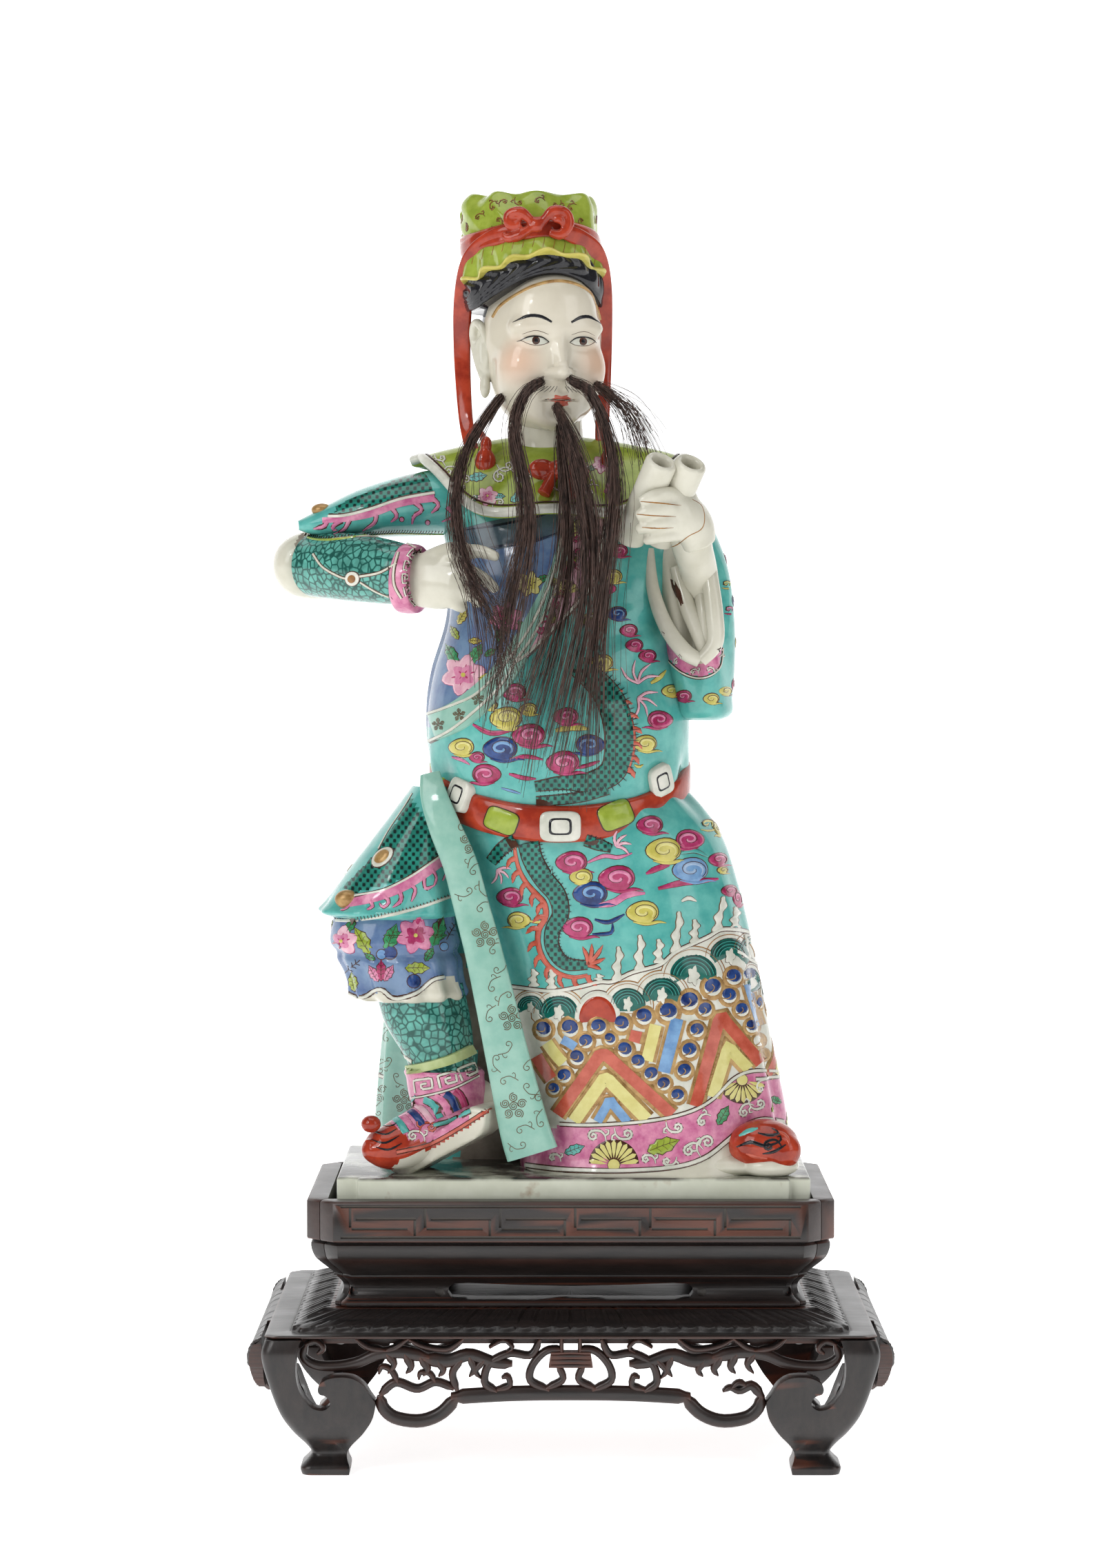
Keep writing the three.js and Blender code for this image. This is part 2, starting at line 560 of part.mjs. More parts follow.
const LOCKS = {
  hair_temple_right: [[-27.5, -17, 350, 1], [-35, -28, 335, 1.8], [-37.5, -36, 322, 2], [-36, -44, 306, 1.8], [-34.5, -46, 292, 1.6], [-33, -48, 276, 0.8]],
  hair_moustache_right: [[-9.5, -31, 356, 1], [-17, -34.5, 350, 1.6], [-16.5, -40, 332, 1.8], [-20, -47.5, 310, 1.6], [-27.5, -50, 285, 1.3], [-29, -51, 258, 0.6]],
  hair_moustache_left: [[2, -31, 357.5, 1], [9, -34, 351, 2], [15, -41.5, 335, 2.2], [13, -52, 315, 2.2], [12.5, -54.5, 280, 1.8], [12, -54.5, 240, 0.7]],
  hair_lower_lip: [[-4.6, -32, 349.5, 1], [2.5, -40, 335, 2.4], [6, -48, 318, 2.6], [6, -54.5, 290, 2.4], [-1, -57.5, 262, 2], [-7, -58, 240, 0.8]],
  hair_jaw_left: [[12, -10, 356, 1], [18.5, -17, 350.5, 1.6], [24, -25, 344.5, 1.4], [28.5, -32, 341, 0.7]],
  hair_chin: [[-5, -24.5, 341, 1], [-2.5, -34, 330, 1.8], [-0.5, -43, 314, 2], [-3.5, -49, 292, 2], [-10, -52.5, 268, 1.6], [-16, -53.5, 250, 0.7]],
};

const COLOURS = { porcelain: 0x5fb8ae, wood: 0x1d1613, hair: 0x2b1f1c };
const SHINE = { porcelain: 0.12, wood: 0.4, hair: 0.5 };

const dignitary = new THREE.Group();

function addPiece(name, made, finish) {
  const material = new THREE.MeshStandardMaterial({ color: COLOURS[finish], roughness: SHINE[finish], metalness: 0 });
  const mesh = new THREE.Mesh(geometryOf(made), material);
  mesh.name = name;
  dignitary.add(mesh);
}

const sideName = (sign, low, high) => (sign < 0 ? low : high);
for (const signX of [-1, 1]) {
  for (const signY of [-1, 1]) {
    addPiece(`leg_${sideName(signY, "front", "back")}_${sideName(signX, "left", "right")}`, leg(signX, signY), "wood");
  }
}
addPiece("apron_front", openworkApron(true), "wood");
addPiece("apron_back", openworkApron(false).rotate([0, 0, 180]), "wood");
addPiece("apron_left", endApron(1), "wood");
addPiece("apron_right", endApron(-1), "wood");
addPiece("table_top", tableTop(), "wood");
for (const [side, rail] of waistRails()) addPiece(`waist_${side}`, rail, "wood");
for (const [side, rail] of trayRails()) addPiece(`tray_rail_${side}`, rail, "wood");
addPiece("tray_floor", trayFloor(), "wood");
addPiece(
  "porcelain_figure",
  joined([plinth(), robe(), belt(), edgePanel(), shownLeg(), hiddenBoot(), crossedArm(), raisedArm(), cape(), head()]),
  "porcelain",
);
for (const [name, stations] of Object.entries(LOCKS)) addPiece(name, lock(stations), "hair");

export default dignitary;
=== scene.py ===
import math

import bpy
import numpy as np
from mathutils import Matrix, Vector
from mathutils.bvhtree import BVHTree


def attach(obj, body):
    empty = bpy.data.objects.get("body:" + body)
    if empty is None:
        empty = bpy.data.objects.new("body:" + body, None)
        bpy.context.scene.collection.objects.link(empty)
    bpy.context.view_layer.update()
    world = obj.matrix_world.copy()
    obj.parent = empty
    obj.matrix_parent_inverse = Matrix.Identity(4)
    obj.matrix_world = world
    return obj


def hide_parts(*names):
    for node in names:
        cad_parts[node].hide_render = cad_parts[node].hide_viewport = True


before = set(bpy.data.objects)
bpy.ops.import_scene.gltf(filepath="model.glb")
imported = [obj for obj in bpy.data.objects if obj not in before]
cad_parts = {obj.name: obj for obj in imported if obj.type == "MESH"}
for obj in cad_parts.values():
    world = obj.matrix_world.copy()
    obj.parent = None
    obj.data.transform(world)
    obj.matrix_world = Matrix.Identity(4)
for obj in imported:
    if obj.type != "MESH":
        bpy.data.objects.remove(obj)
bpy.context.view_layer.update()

# Camera, floor and light
# The camera stands 1.4 m in front and a little above the middle, as the photograph's did.
# The floor is one pale sheet of paper that curves up behind the figure.
CAMERA_PLACE = Vector((-0.0035, -1.4, 0.285))
PITCH = math.radians(2.5)
FRAME_WIDTH, FRAME_HEIGHT = 1624, 2274
FOCAL_PIXELS = 6000
camera_data = bpy.data.cameras.new("camera")
camera_data.sensor_fit = "VERTICAL"
camera_data.sensor_height = 36
camera_data.lens = 36 * FOCAL_PIXELS / FRAME_HEIGHT
camera_data.clip_start = 0.05
camera = bpy.data.objects.new("camera", camera_data)
camera.location = CAMERA_PLACE
camera.rotation_euler = (math.pi / 2 - PITCH, 0, 0)
bpy.context.scene.collection.objects.link(camera)
bpy.context.scene.camera = camera
bpy.context.scene.view_settings.view_transform = "Standard"


def add_softbox(name, place, aim, size, power):
    light = bpy.data.lights.new(name, "AREA")
    light.shape = "RECTANGLE"
    light.size, light.size_y = size
    light.energy = power
    lamp = bpy.data.objects.new(name, light)
    lamp.location = place
    lamp.rotation_euler = (Vector(aim) - Vector(place)).to_track_quat("-Z", "Y").to_euler()
    bpy.context.scene.collection.objects.link(lamp)


add_softbox("softbox_left", (-1.3, -1.3, 1.1), (0, 0, 0.2), (0.9, 1.4), 15.5)
add_softbox("softbox_right", (1.5, -1.1, 0.8), (0, 0, 0.2), (0.8, 1.3), 6.5)
add_softbox("softbox_top", (0, -0.2, 1.9), (0, 0, 0.2), (1.6, 1.2), 11)
add_softbox("spark_left", (-0.75, -1.25, 0.95), (0, 0, 0.25), (0.12, 0.16), 1.5)
world = bpy.data.worlds.new("studio")
world.use_nodes = True
world.node_tree.nodes["Background"].inputs["Color"].default_value = (1, 1, 1, 1)
world.node_tree.nodes["Background"].inputs["Strength"].default_value = 0.12
bpy.context.scene.world = world

sweep = [(1.1 + 1.2 * math.sin(a), 1.2 - 1.2 * math.cos(a)) for a in np.linspace(0, math.pi / 2, 40)]
paper_line = [(-2.5, 0)] + sweep + [(2.3, 3.5)]
paper_mesh = bpy.data.meshes.new("paper")
paper_mesh.from_pydata(
    [(side * 4, y, z) for y, z in paper_line for side in (-1, 1)],
    [],
    [(2 * i, 2 * i + 1, 2 * i + 3, 2 * i + 2) for i in range(len(paper_line) - 1)],
)
paper_mesh.polygons.foreach_set("use_smooth", [True] * len(paper_mesh.polygons))
paper = bpy.data.objects.new("paper", paper_mesh)
bpy.context.scene.collection.objects.link(paper)
paper_finish = bpy.data.materials.new("paper_finish")
paper_finish.use_nodes = True
paper_nodes = paper_finish.node_tree.nodes
paper_nodes["Principled BSDF"].inputs["Roughness"].default_value = 0.9
paper_nodes["Principled BSDF"].inputs["Emission Color"].default_value = (1, 1, 1, 1)
paper_nodes["Principled BSDF"].inputs["Emission Strength"].default_value = 0.85
paper_tint = paper_nodes.new("ShaderNodeTexNoise")
paper_tint.inputs["Scale"].default_value = 3
paper_ramp = paper_nodes.new("ShaderNodeValToRGB")
paper_ramp.color_ramp.elements[0].color = (0.9, 0.9, 0.9, 1)
paper_ramp.color_ramp.elements[1].color = (0.92, 0.92, 0.92, 1)
paper_finish.node_tree.links.new(paper_tint.outputs["Fac"], paper_ramp.inputs["Fac"])
paper_finish.node_tree.links.new(
    paper_ramp.outputs["Color"], paper_nodes["Principled BSDF"].inputs["Base Color"]
)
paper_mesh.materials.append(paper_finish)


# Legs of the stand
# Four cabriole legs of dark hardwood, each sawn from one block and pierced with a crescent beside its scroll.
# They are glued under the table's board. All sizes below are in millimetres.
MILLIMETRE = 0.001


def smooth_rows(rows, count):
    """Rows of a table run through by a smooth line, count times."""
    rows = np.asarray(rows, float)
    place = np.linspace(0, len(rows) - 1, count)
    start = np.minimum(place.astype(int), len(rows) - 2)
    part = (place - start)[:, None]
    before = rows[np.maximum(start - 1, 0)]
    here, after = rows[start], rows[start + 1]
    beyond = rows[np.minimum(start + 2, len(rows) - 1)]
    return 0.5 * (
        2 * here
        + (after - before) * part
        + (2 * before - 5 * here + 4 * after - beyond) * part**2
        + (3 * here - before - 3 * after + beyond) * part**3
    )


def directions(vectors):
    """Vectors brought to a length of one."""
    return vectors / (np.linalg.norm(vectors, axis=-1, keepdims=True) + 1e-12)


def full_turn(count, start=0.0):
    """Even angles all the way round."""
    return np.linspace(start, start + 2 * np.pi, count, endpoint=False)


def bent(values, power):
    """Cosines or sines bent so that a round outline turns squarer."""
    return np.sign(values) * np.abs(values) ** power


def side_faces(count, sides):
    """The four-cornered faces between rings of points."""
    low = np.arange(count - 1)[:, None] * sides
    i = np.arange(sides)
    j = (i + 1) % sides
    return np.stack([low + i, low + j, low + j + sides, low + i + sides], -1).reshape(-1, 4).tolist()


def skin(rings, ends=True):
    """A closed skin over rings of points. Its ends close on their middles, or on given points."""
    rings = np.asarray(rings, float)
    count, sides = rings.shape[:2]
    points, faces = rings.reshape(-1, 3), side_faces(count, sides)
    if ends:
        first, last = (rings[0].mean(0), rings[-1].mean(0)) if ends is True else ends
        points = np.vstack([points, first, last])
        middle, far = count * sides, (count - 1) * sides
        for i in range(sides):
            j = (i + 1) % sides
            faces += [(middle, j, i), (middle + 1, far + i, far + j)]
    return outwards(points, faces)


def outwards(points, faces):
    """Turns a closed skin's faces round if they look inwards."""
    corners = np.array([(face[0], face[k], face[k + 1]) for face in faces for k in range(1, len(face) - 1)])
    a, b, c = (points[corners[:, k]] for k in range(3))
    if np.einsum("ij,ij->i", a, np.cross(b, c)).sum() < 0:
        faces = [face[::-1] for face in faces]
    return points, faces


def on_front(u, v, w):
    return (u, w, v)


def lying(u, v, w):
    return (u, v, w)


def prism(outline, low, high, place=lying):
    """A plate over a flat outline between two depths; place turns (u, v, depth) into a point."""
    n = len(outline)
    points = np.array([place(u, v, w) for w in (low, high) for u, v in outline])
    return outwards(points, side_faces(2, n) + [tuple(range(n))[::-1], tuple(range(n, 2 * n))])


def tube(stations, steps, sides=12, flat=1.0, across=(0, 1, 0), squareness=2.0):
    """A limb along stations of x, y, z and radius, flattened along one direction."""
    line = smooth_rows(stations, steps)
    centres, radii = line[:, :3], np.maximum(line[:, 3:], 0.05)
    along = directions(np.gradient(centres, axis=0))
    side = directions(across - along * (along @ across)[:, None])
    up = np.cross(along, side)
    turn = full_turn(sides)
    wide = radii * flat * bent(np.cos(turn), 2 / squareness)
    high = radii * bent(np.sin(turn), 2 / squareness)
    return skin(centres[:, None] + side[:, None] * wide[..., None] + up[:, None] * high[..., None])


class Piece:
    """Gathers the skins of one piece, each with its finish, and makes one object of them."""

    def __init__(self):
        self.points, self.faces, self.finishes, self.count = [], [], [], 0

    def add(self, part, finish=None):
        points, faces = part
        self.points.append(points)
        self.faces += [tuple(v + self.count for v in face) for face in faces]
        self.finishes += finish if isinstance(finish, list) else [finish] * len(faces)
        self.count += len(points)

    def in_metres(self, name):
        mesh = bpy.data.meshes.new(name)
        mesh.from_pydata((np.vstack(self.points) * MILLIMETRE).tolist(), [], self.faces)
        made = bpy.data.objects.new(name, mesh)
        bpy.context.scene.collection.objects.link(made)
        return made

    def make(self, name, nodes, sharp=40):
        made = self.in_metres(name)
        mesh = made.data
        order = {finish: i for i, finish in enumerate(dict.fromkeys(self.finishes))}
        for finish in order:
            mesh.materials.append(finish)
        mesh.polygons.foreach_set("material_index", [order[finish] for finish in self.finishes])
        mesh.polygons.foreach_set("use_smooth", [True] * len(mesh.polygons))
        mesh.validate()
        mesh.set_sharp_from_angle(angle=math.radians(sharp))
        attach(made, "root")
        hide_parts(*nodes)
        return made


def wire(finish, node, inputs):
    """Sets a node's inputs: to values, or to the outputs of other nodes."""
    for name, value in inputs.items():
        if isinstance(value, bpy.types.NodeSocket):
            finish.node_tree.links.new(value, node.inputs[name])
        else:
            node.inputs[name].default_value = value


def surface(finish, inputs):
    """Sets what a material's surface is like."""
    wire(finish, finish.node_tree.nodes["Principled BSDF"], inputs)


def new_finish(name):
    finish = bpy.data.materials.new(name)
    finish.use_nodes = True
    return finish


def add_node(finish, kind, output, inputs, **settings):
    """Adds a node to a material and gives one of its outputs."""
    node = finish.node_tree.nodes.new("ShaderNode" + kind)
    for setting, value in settings.items():
        setattr(node, setting, value)
    wire(finish, node, inputs)
    return node.outputs[output]


def on_object(finish):
    """Places on the object, for grain and mottling."""
    return add_node(finish, "TexCoord", "Object", {})


def noise(finish, where, scale, detail=2, roughness=0.5):
    inputs = {"Vector": where, "Scale": scale, "Detail": detail, "Roughness": roughness}
    return add_node(finish, "TexNoise", "Fac", inputs)


def stretched(finish, where, scale):
    return add_node(finish, "Mapping", "Vector", {"Vector": where, "Scale": scale})


def ramp(finish, value, low, low_colour, high, high_colour):
    """Colours between two values."""
    output = add_node(finish, "ValToRGB", "Color", {"Fac": value})
    for stop, place, colour in zip(output.node.color_ramp.elements, (low, high), (low_colour, high_colour)):
        stop.position = place
        stop.color = (*colour, 1)
    return output


def span(finish, value, start, end, low=0, high=1, **settings):
    """Goes from low to high while the value goes from start to end."""
    inputs = {"Value": value, "From Min": start, "From Max": end, "To Min": low, "To Max": high}
    return add_node(finish, "MapRange", "Result", inputs, **settings)


def combined(finish, first, second, operation="MULTIPLY"):
    return add_node(finish, "Math", "Value", {0: first, 1: second}, operation=operation)


def raised(finish, height, strength, distance):
    return add_node(finish, "Bump", "Normal", {"Height": height, "Strength": strength, "Distance": distance})


def overlay(finish, share, colour):
    """Lays a colour over what the material has so far."""
    under = finish.node_tree.nodes["Principled BSDF"].inputs["Base Color"].links[0].from_socket
    mixed = {"Factor": share, "A": under, "B": (*colour, 1)}
    surface(finish, {"Base Color": add_node(finish, "Mix", "Result", mixed, data_type="RGBA")})


DARK, LIGHT = (0, 0, 0), (1, 1, 1)


def hardwood(name, grain):
    """Black-stained hardwood: fine grain, red-brown where it is rubbed, grey dust where it is hollow."""
    finish = new_finish(name)
    surface(finish, {"Specular IOR Level": 0.45, "Coat Weight": 0.25, "Coat Roughness": 0.22})
    where = on_object(finish)
    fibres = noise(finish, stretched(finish, where, grain), 9, 6, 0.65)
    patches = noise(finish, where, 55, 4)
    tone = ramp(finish, fibres, 0.3, (0.006, 0.005, 0.005), 0.75, (0.026, 0.018, 0.016))
    roughness = span(finish, patches, 0, 1, 0.28, 0.55)
    surface(finish, {
        "Base Color": tone, "Roughness": roughness, "Normal": raised(finish, fibres, 0.35, 0.0004)
    })
    form = add_node(finish, "NewGeometry", "Pointiness", {})
    worn = ramp(finish, form, 0.535, DARK, 0.62, LIGHT)
    overlay(finish, combined(finish, worn, patches), (0.16, 0.045, 0.022))
    hollow = ramp(finish, form, 0.42, LIGHT, 0.48, DARK)
    overlay(finish, combined(finish, hollow, patches), (0.15, 0.125, 0.095))
    return finish


wood_across = hardwood("hardwood_along_the_front", (6, 30, 30))
wood_deep = hardwood("hardwood_along_the_sides", (30, 6, 30))
wood_upright = hardwood("hardwood_upright", (30, 30, 7))

LEG_HALF_WIDTH, LEG_HALF_DEPTH, LEG_TOP = 100.5, 70, 46.2
LEG_LEVELS = [
    # z, how far the outer face stands in, wing length, thickness
    (0, 12.4, 15.6, 15),
    (2.4, 12.0, 16.2, 15.4),
    (4.6, 14.0, 13.4, 12.6),
    (6.6, 15.4, 11.8, 11.2),
    (9.5, 13.8, 15.0, 10.8),
    (14.7, 9.5, 23.6, 10),
    (21.5, 5.5, 31, 9),
    (32, 2, 34.8, 9),
    (41, 0, 36.8, 9),
    (LEG_TOP, 1.2, 35.6, 9),
]
LEG_OPENING = [
    (14, 48), (11.8, 43), (11.3, 35), (12.5, 29), (15.5, 24.3), (18, 22.9), (20.3, 22.8), (22.2, 24.4),
    (22, 26.4), (20.6, 27.8), (18.9, 28.4), (18.4, 30.2), (19.4, 32.2), (22, 33.7), (25.1, 34.2), (28, 34.1),
    (30.5, 33.4), (33.5, 31), (36.6, 26), (40, 24), (40, 48),
]


def apply_modifiers(made):
    shaped = bpy.data.meshes.new_from_object(made.evaluated_get(bpy.context.evaluated_depsgraph_get()))
    made.modifiers.clear()
    made.data = shaped


def plain_object(parts, finish=None):
    """An object that is only used to shape another one."""
    shape = Piece()
    for part in parts:
        shape.add(part)
    tool = shape.in_metres("tool")
    if finish:
        tool.data.materials.append(finish)
    return tool


def work(made, operation, parts):
    """Saws closed shapes out of a piece, or glues them on, or keeps only what lies inside them."""
    tool = parts if isinstance(parts, bpy.types.Object) else plain_object(parts)
    step = made.modifiers.new("work", "BOOLEAN")
    step.operation = operation
    step.object = tool
    step.solver = "EXACT"
    step.use_self = operation == "DIFFERENCE" and not isinstance(parts, bpy.types.Object) and len(parts) > 1
    apply_modifiers(made)
    bpy.data.objects.remove(tool)


def ease_edges(made, width, segments=2, angle=30):
    """Rounds a piece's sharp edges as sandpaper does, width in millimetres."""
    soften = made.modifiers.new("eased", "BEVEL")
    soften.width = width * MILLIMETRE
    soften.segments = segments
    soften.limit_method = "ANGLE"
    soften.angle_limit = math.radians(angle)
    apply_modifiers(made)
    made.data.polygons.foreach_set("use_smooth", [True] * len(made.data.polygons))
    made.data.set_sharp_from_angle(angle=math.radians(38))


def carve_wing(sign_x, sign_y, turned):
    """One wing of a leg with its saw cut; turned is the wing that runs front to back."""

    def to_corner(x, y, z):
        if turned:
            x, y = y, x
        return (-sign_x * (x - LEG_HALF_WIDTH), -sign_y * (y - LEG_HALF_DEPTH), z)

    rings = []
    for z, inset, wing, thick in smooth_rows(LEG_LEVELS, 44):
        turn = np.linspace(math.pi / 2, 0, 7)
        outline = [(3.5 * (1 - math.sin(a)), 3.5 * (1 - math.cos(a))) for a in turn]
        outline += [(wing * 0.5 + 2, 0), (wing, 0.2), (wing, thick), (wing * 0.5, thick), (0, thick)]
        rings.append([to_corner(x + inset, y + inset, z) for x, y in outline])
    opening = smooth_rows(LEG_OPENING, 60).tolist()
    wing = plain_object([skin(rings)], wood_upright)
    work(wing, "DIFFERENCE", [prism(opening, -6, 20, lambda u, v, w: to_corner(u, w, v))])
    return wing


for sign_x, side in ((-1, "left"), (1, "right")):
    for sign_y, end in ((-1, "front"), (1, "back")):
        leg = carve_wing(sign_x, sign_y, False)
        work(leg, "UNION", carve_wing(sign_x, sign_y, True))
        leg.name = f"carved_leg_{end}_{side}"
        if (side, end) == ("right", "front"):
            # the old crack across the scroll, glued again
            crack = [(62, 21.6), (72, 22.3), (83, 22.9), (83, 23.25), (72, 22.75), (62, 22.1)]
            work(leg, "DIFFERENCE", [prism(crack, -71, -66.2, on_front)])
        ease_edges(leg, 0.6)
        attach(leg, "root")
        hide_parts(f"leg_{end}_{side}")


# Aprons of the stand
# The front and back aprons are fretwork of leafy scrolls, sawn from a thin board and then carved round.
# The ends are swollen panels carved with a row of petals. The front apron has lost part of its right loop.
def carved_stroke(points, start_width, end_width, steps, middle=-61.5, depth=5.0):
    line = smooth_rows(points, steps)
    along = directions(np.gradient(line, axis=0))
    half = np.linspace(start_width, end_width, steps) / 2
    half *= np.clip(np.minimum(np.arange(steps), np.arange(steps)[::-1]) / 1.5, 0.55, 1)
    turn = full_turn(12)
    across = half[:, None] * bent(np.cos(turn), 0.75)
    rings = np.zeros((steps, 12, 3))
    rings[:, :, 0] = line[:, :1] - along[:, 1:] * across
    rings[:, :, 2] = line[:, 1:] + along[:, :1] * across
    rings[:, :, 1] = middle + bent(np.sin(turn), 0.6) * depth / 2
    return skin(rings)


BRANCHES = [
    # points from the middle outwards as x and z, width at each end, steps
    ([(37, 27), (42, 21.5), (49, 18.8), (57, 19.8), (61, 23), (62.2, 27)], 4.6, 4, 22),
    ([
        (86, 44), (87, 40), (83, 37.2), (76, 36.8), (69.4, 38), (63, 40.6), (55, 41.3), (46, 39.5),
    ], 2.4, 4.4, 30),
    ([(86.5, 44), (83, 45), (80.6, 42.6), (82.5, 41)], 2.2, 1.8, 12),
    ([(48, 39.5), (40, 38.5), (33, 40.5), (25, 38), (19, 37.6)], 5, 3.4, 18),
    ([(70, 46), (66, 43), (60, 42)], 1.8, 2.4, 9),
    ([(53, 46), (57, 43), (60, 42)], 1.8, 2.4, 9),
    ([(53, 46), (48, 43.4), (40, 42.5), (35, 46)], 1.8, 1.8, 12),
    ([(24, 28.6), (28, 31.5), (26.5, 37.5), (20, 41), (13, 40.5), (10, 45.8)], 2.8, 2.4, 24),
    ([(24, 29.2), (20, 30.5), (20.5, 33.5), (22.4, 33)], 2.6, 1.6, 12),
    ([(7, 29), (13, 32), (12.5, 37), (8, 41.8), (2.5, 42.3)], 2.8, 2.4, 20),
    ([(8, 29.6), (2.6, 32.5), (4.2, 37)], 2.4, 2.4, 12),
    ([(3, 40), (3, 46)], 2.2, 2.2, 4),
    ([(26.5, 43), (22, 45.5), (19, 43), (21, 41.5)], 1.8, 1.4, 10),
    # leaves that curl off the branch
    ([(60, 41), (57.5, 37.5), (59.5, 34.6)], 3.6, 1, 9),
    ([(54, 41), (52, 36.8), (53.6, 34.6)], 4, 1, 9),
    ([(49, 40), (46.6, 36), (48, 33.8)], 4, 1, 9),
    ([(43.5, 39), (41.5, 35.6), (43, 33.6)], 3.6, 1, 9),
    ([(33, 40), (31.5, 36), (33, 33.5)], 3.4, 1, 9),
    ([(28, 39), (31, 35.5), (29.4, 33)], 3, 1, 9),
]
LOOP_CURLS = [
    ([(35.5, 39), (38.5, 34.5), (37, 29)], 2.6, 2.6, 12),
    ([(38, 29.5), (44, 31.6), (50, 29.4), (57, 31.5), (62, 27.5)], 2.6, 3, 22),
    ([(56, 31), (58.5, 35.5), (61.5, 36.6), (62.4, 34.4)], 2.4, 1.5, 12),
    ([(44, 31.5), (46, 34.5), (49, 34.6), (49.4, 32.6)], 2.2, 1.3, 12),
]
for end, facing in (("front", 1), ("back", -1)):
    apron = Piece()
    rail = carved_stroke([(-39, 26.6), (-20, 27.7), (0, 28), (20, 27.7), (39, 26.6)], 5, 5, 30)
    cartouche = [(-7.2, 36.6), (7.2, 36.6), (6.4, 41.6), (-6.4, 41.6)]
    parts = [rail, prism(cartouche, -64.2, -59, on_front)]
    parts += [carved_stroke([(-6.4, z), (0, z), (6.4, z)], 1, 1, 6, -64.1, 1.2) for z in (37.4, 39, 40.6)]
    for points, start_width, end_width, steps in BRANCHES + LOOP_CURLS:
        for side in (-1, 1):
            lost = end == "front" and side == 1 and (points, start_width, end_width, steps) in LOOP_CURLS
            if not lost:
                parts.append(carved_stroke([(side * x, z) for x, z in points], start_width, end_width, steps))
    if end == "front":
        # the stub that is left of the lost loop, with its splintered end
        parts.append(carved_stroke([
            (49.5, 28.6), (52, 29.8), (55, 28.8), (59, 30.4), (62.4, 26.5),
        ], 1.4, 3.8, 16))
        parts.append(carved_stroke([(52, 29.4), (54.6, 31.4), (57, 30.6)], 1.6, 2.4, 8))
    for points, faces in parts:
        apron.add((points * [facing, facing, 1], faces), wood_across)
    apron.make(f"fretwork_apron_{end}", [f"apron_{end}"], 50)


def petal_relief(across, up):
    """Height of the carved petals: across in petal widths, up from 0 at the lower edge to 1 at the table."""
    x = 2 * (across % 1) - 1
    tip = 0.12 + 0.55 * np.abs(x) ** 1.6
    inside = np.clip((up - tip) / 0.07, 0, 1)
    rim = np.exp(-(((up - tip - 0.06) / 0.05) ** 2))
    hollow = np.exp(-((x / 0.42) ** 2)) * np.clip((up - tip - 0.12) * 3, 0, 1) * (up < 0.93)
    gap = np.exp(-(((np.abs(x) - 1) / 0.1) ** 2))
    return 0.55 * inside + 0.5 * rim - 0.5 * hollow - 0.55 * gap * (up > 0.3)


END_SWELL = [
    (-99.2, 46.1), (-101.6, 45.2), (-103.8, 43.2), (-105, 40), (-105.2, 36), (-104.4, 31), (-102.6, 25),
    (-101, 20.5),
]
END_EDGE = [
    (-61, 43), (-57, 37), (-48, 28), (-34, 25), (-20, 21.5), (0, 27), (20, 21.5), (34, 25), (48, 28),
    (57, 37), (61, 43),
]
for side, sign in (("left", 1), ("right", -1)):
    profile = smooth_rows(END_SWELL, 40)
    edge = smooth_rows(END_EDGE, 160)
    rings = []
    for y, lower in edge:
        kept = [(x, z) for x, z in profile if z >= lower] or [tuple(profile[0])]
        outer = smooth_rows(kept if len(kept) > 1 else [kept[0], (kept[0][0], kept[0][1] - 0.1)], 30)
        height = petal_relief((y + 61) / 12.2, (outer[:, 1] - lower) / (46.2 - lower))
        face = outer + directions(np.gradient(outer, axis=0))[:, ::-1] * (0.8, -0.8) * height[:, None]
        face[:, 0] = np.minimum(face[:, 0], -100.85) if abs(y) > 31.4 else face[:, 0]
        inner_x = -100.8 if abs(y) > 31.4 else -96
        inner = np.array([(inner_x, z) for z in np.linspace(outer[-1, 1], min(outer[0, 1], 45.4), 6)])
        ring = np.vstack([face, inner])
        rings.append(np.stack([ring[:, 0] * sign, np.full(len(ring), y * sign), ring[:, 1]], 1))
    panel = Piece()
    panel.add(skin(rings), wood_deep)
    panel.make(f"petal_apron_{side}", [f"apron_{side}"], 60)


# Table board of the stand
# One thick board with a flat border. Inside it a raised field carries a ring of lappets and fine flutes.
# The waist stands on the middle of the field.
def cut_rectangle(a, b, cut):
    """The eight corners of a rectangle with cut corners, from the right end of its front."""
    right = [(a - cut, -b), (a, cut - b), (a, b - cut), (a - cut, b)]
    return right + [(-x, y) for x, y in right[::-1]]


def cut_corner_line(a, b, cut, count):
    """Points around such a rectangle, evenly spaced, from the middle of the front."""
    corners = np.array([(0, -b), *cut_rectangle(a, b, cut), (0, -b)], float)
    lengths = np.concatenate([[0], np.cumsum(np.linalg.norm(np.diff(corners, axis=0), axis=1))])
    place = np.linspace(0, lengths[-1], count, endpoint=False)
    return np.stack([np.interp(place, lengths, corners[:, k]) for k in (0, 1)], 1)


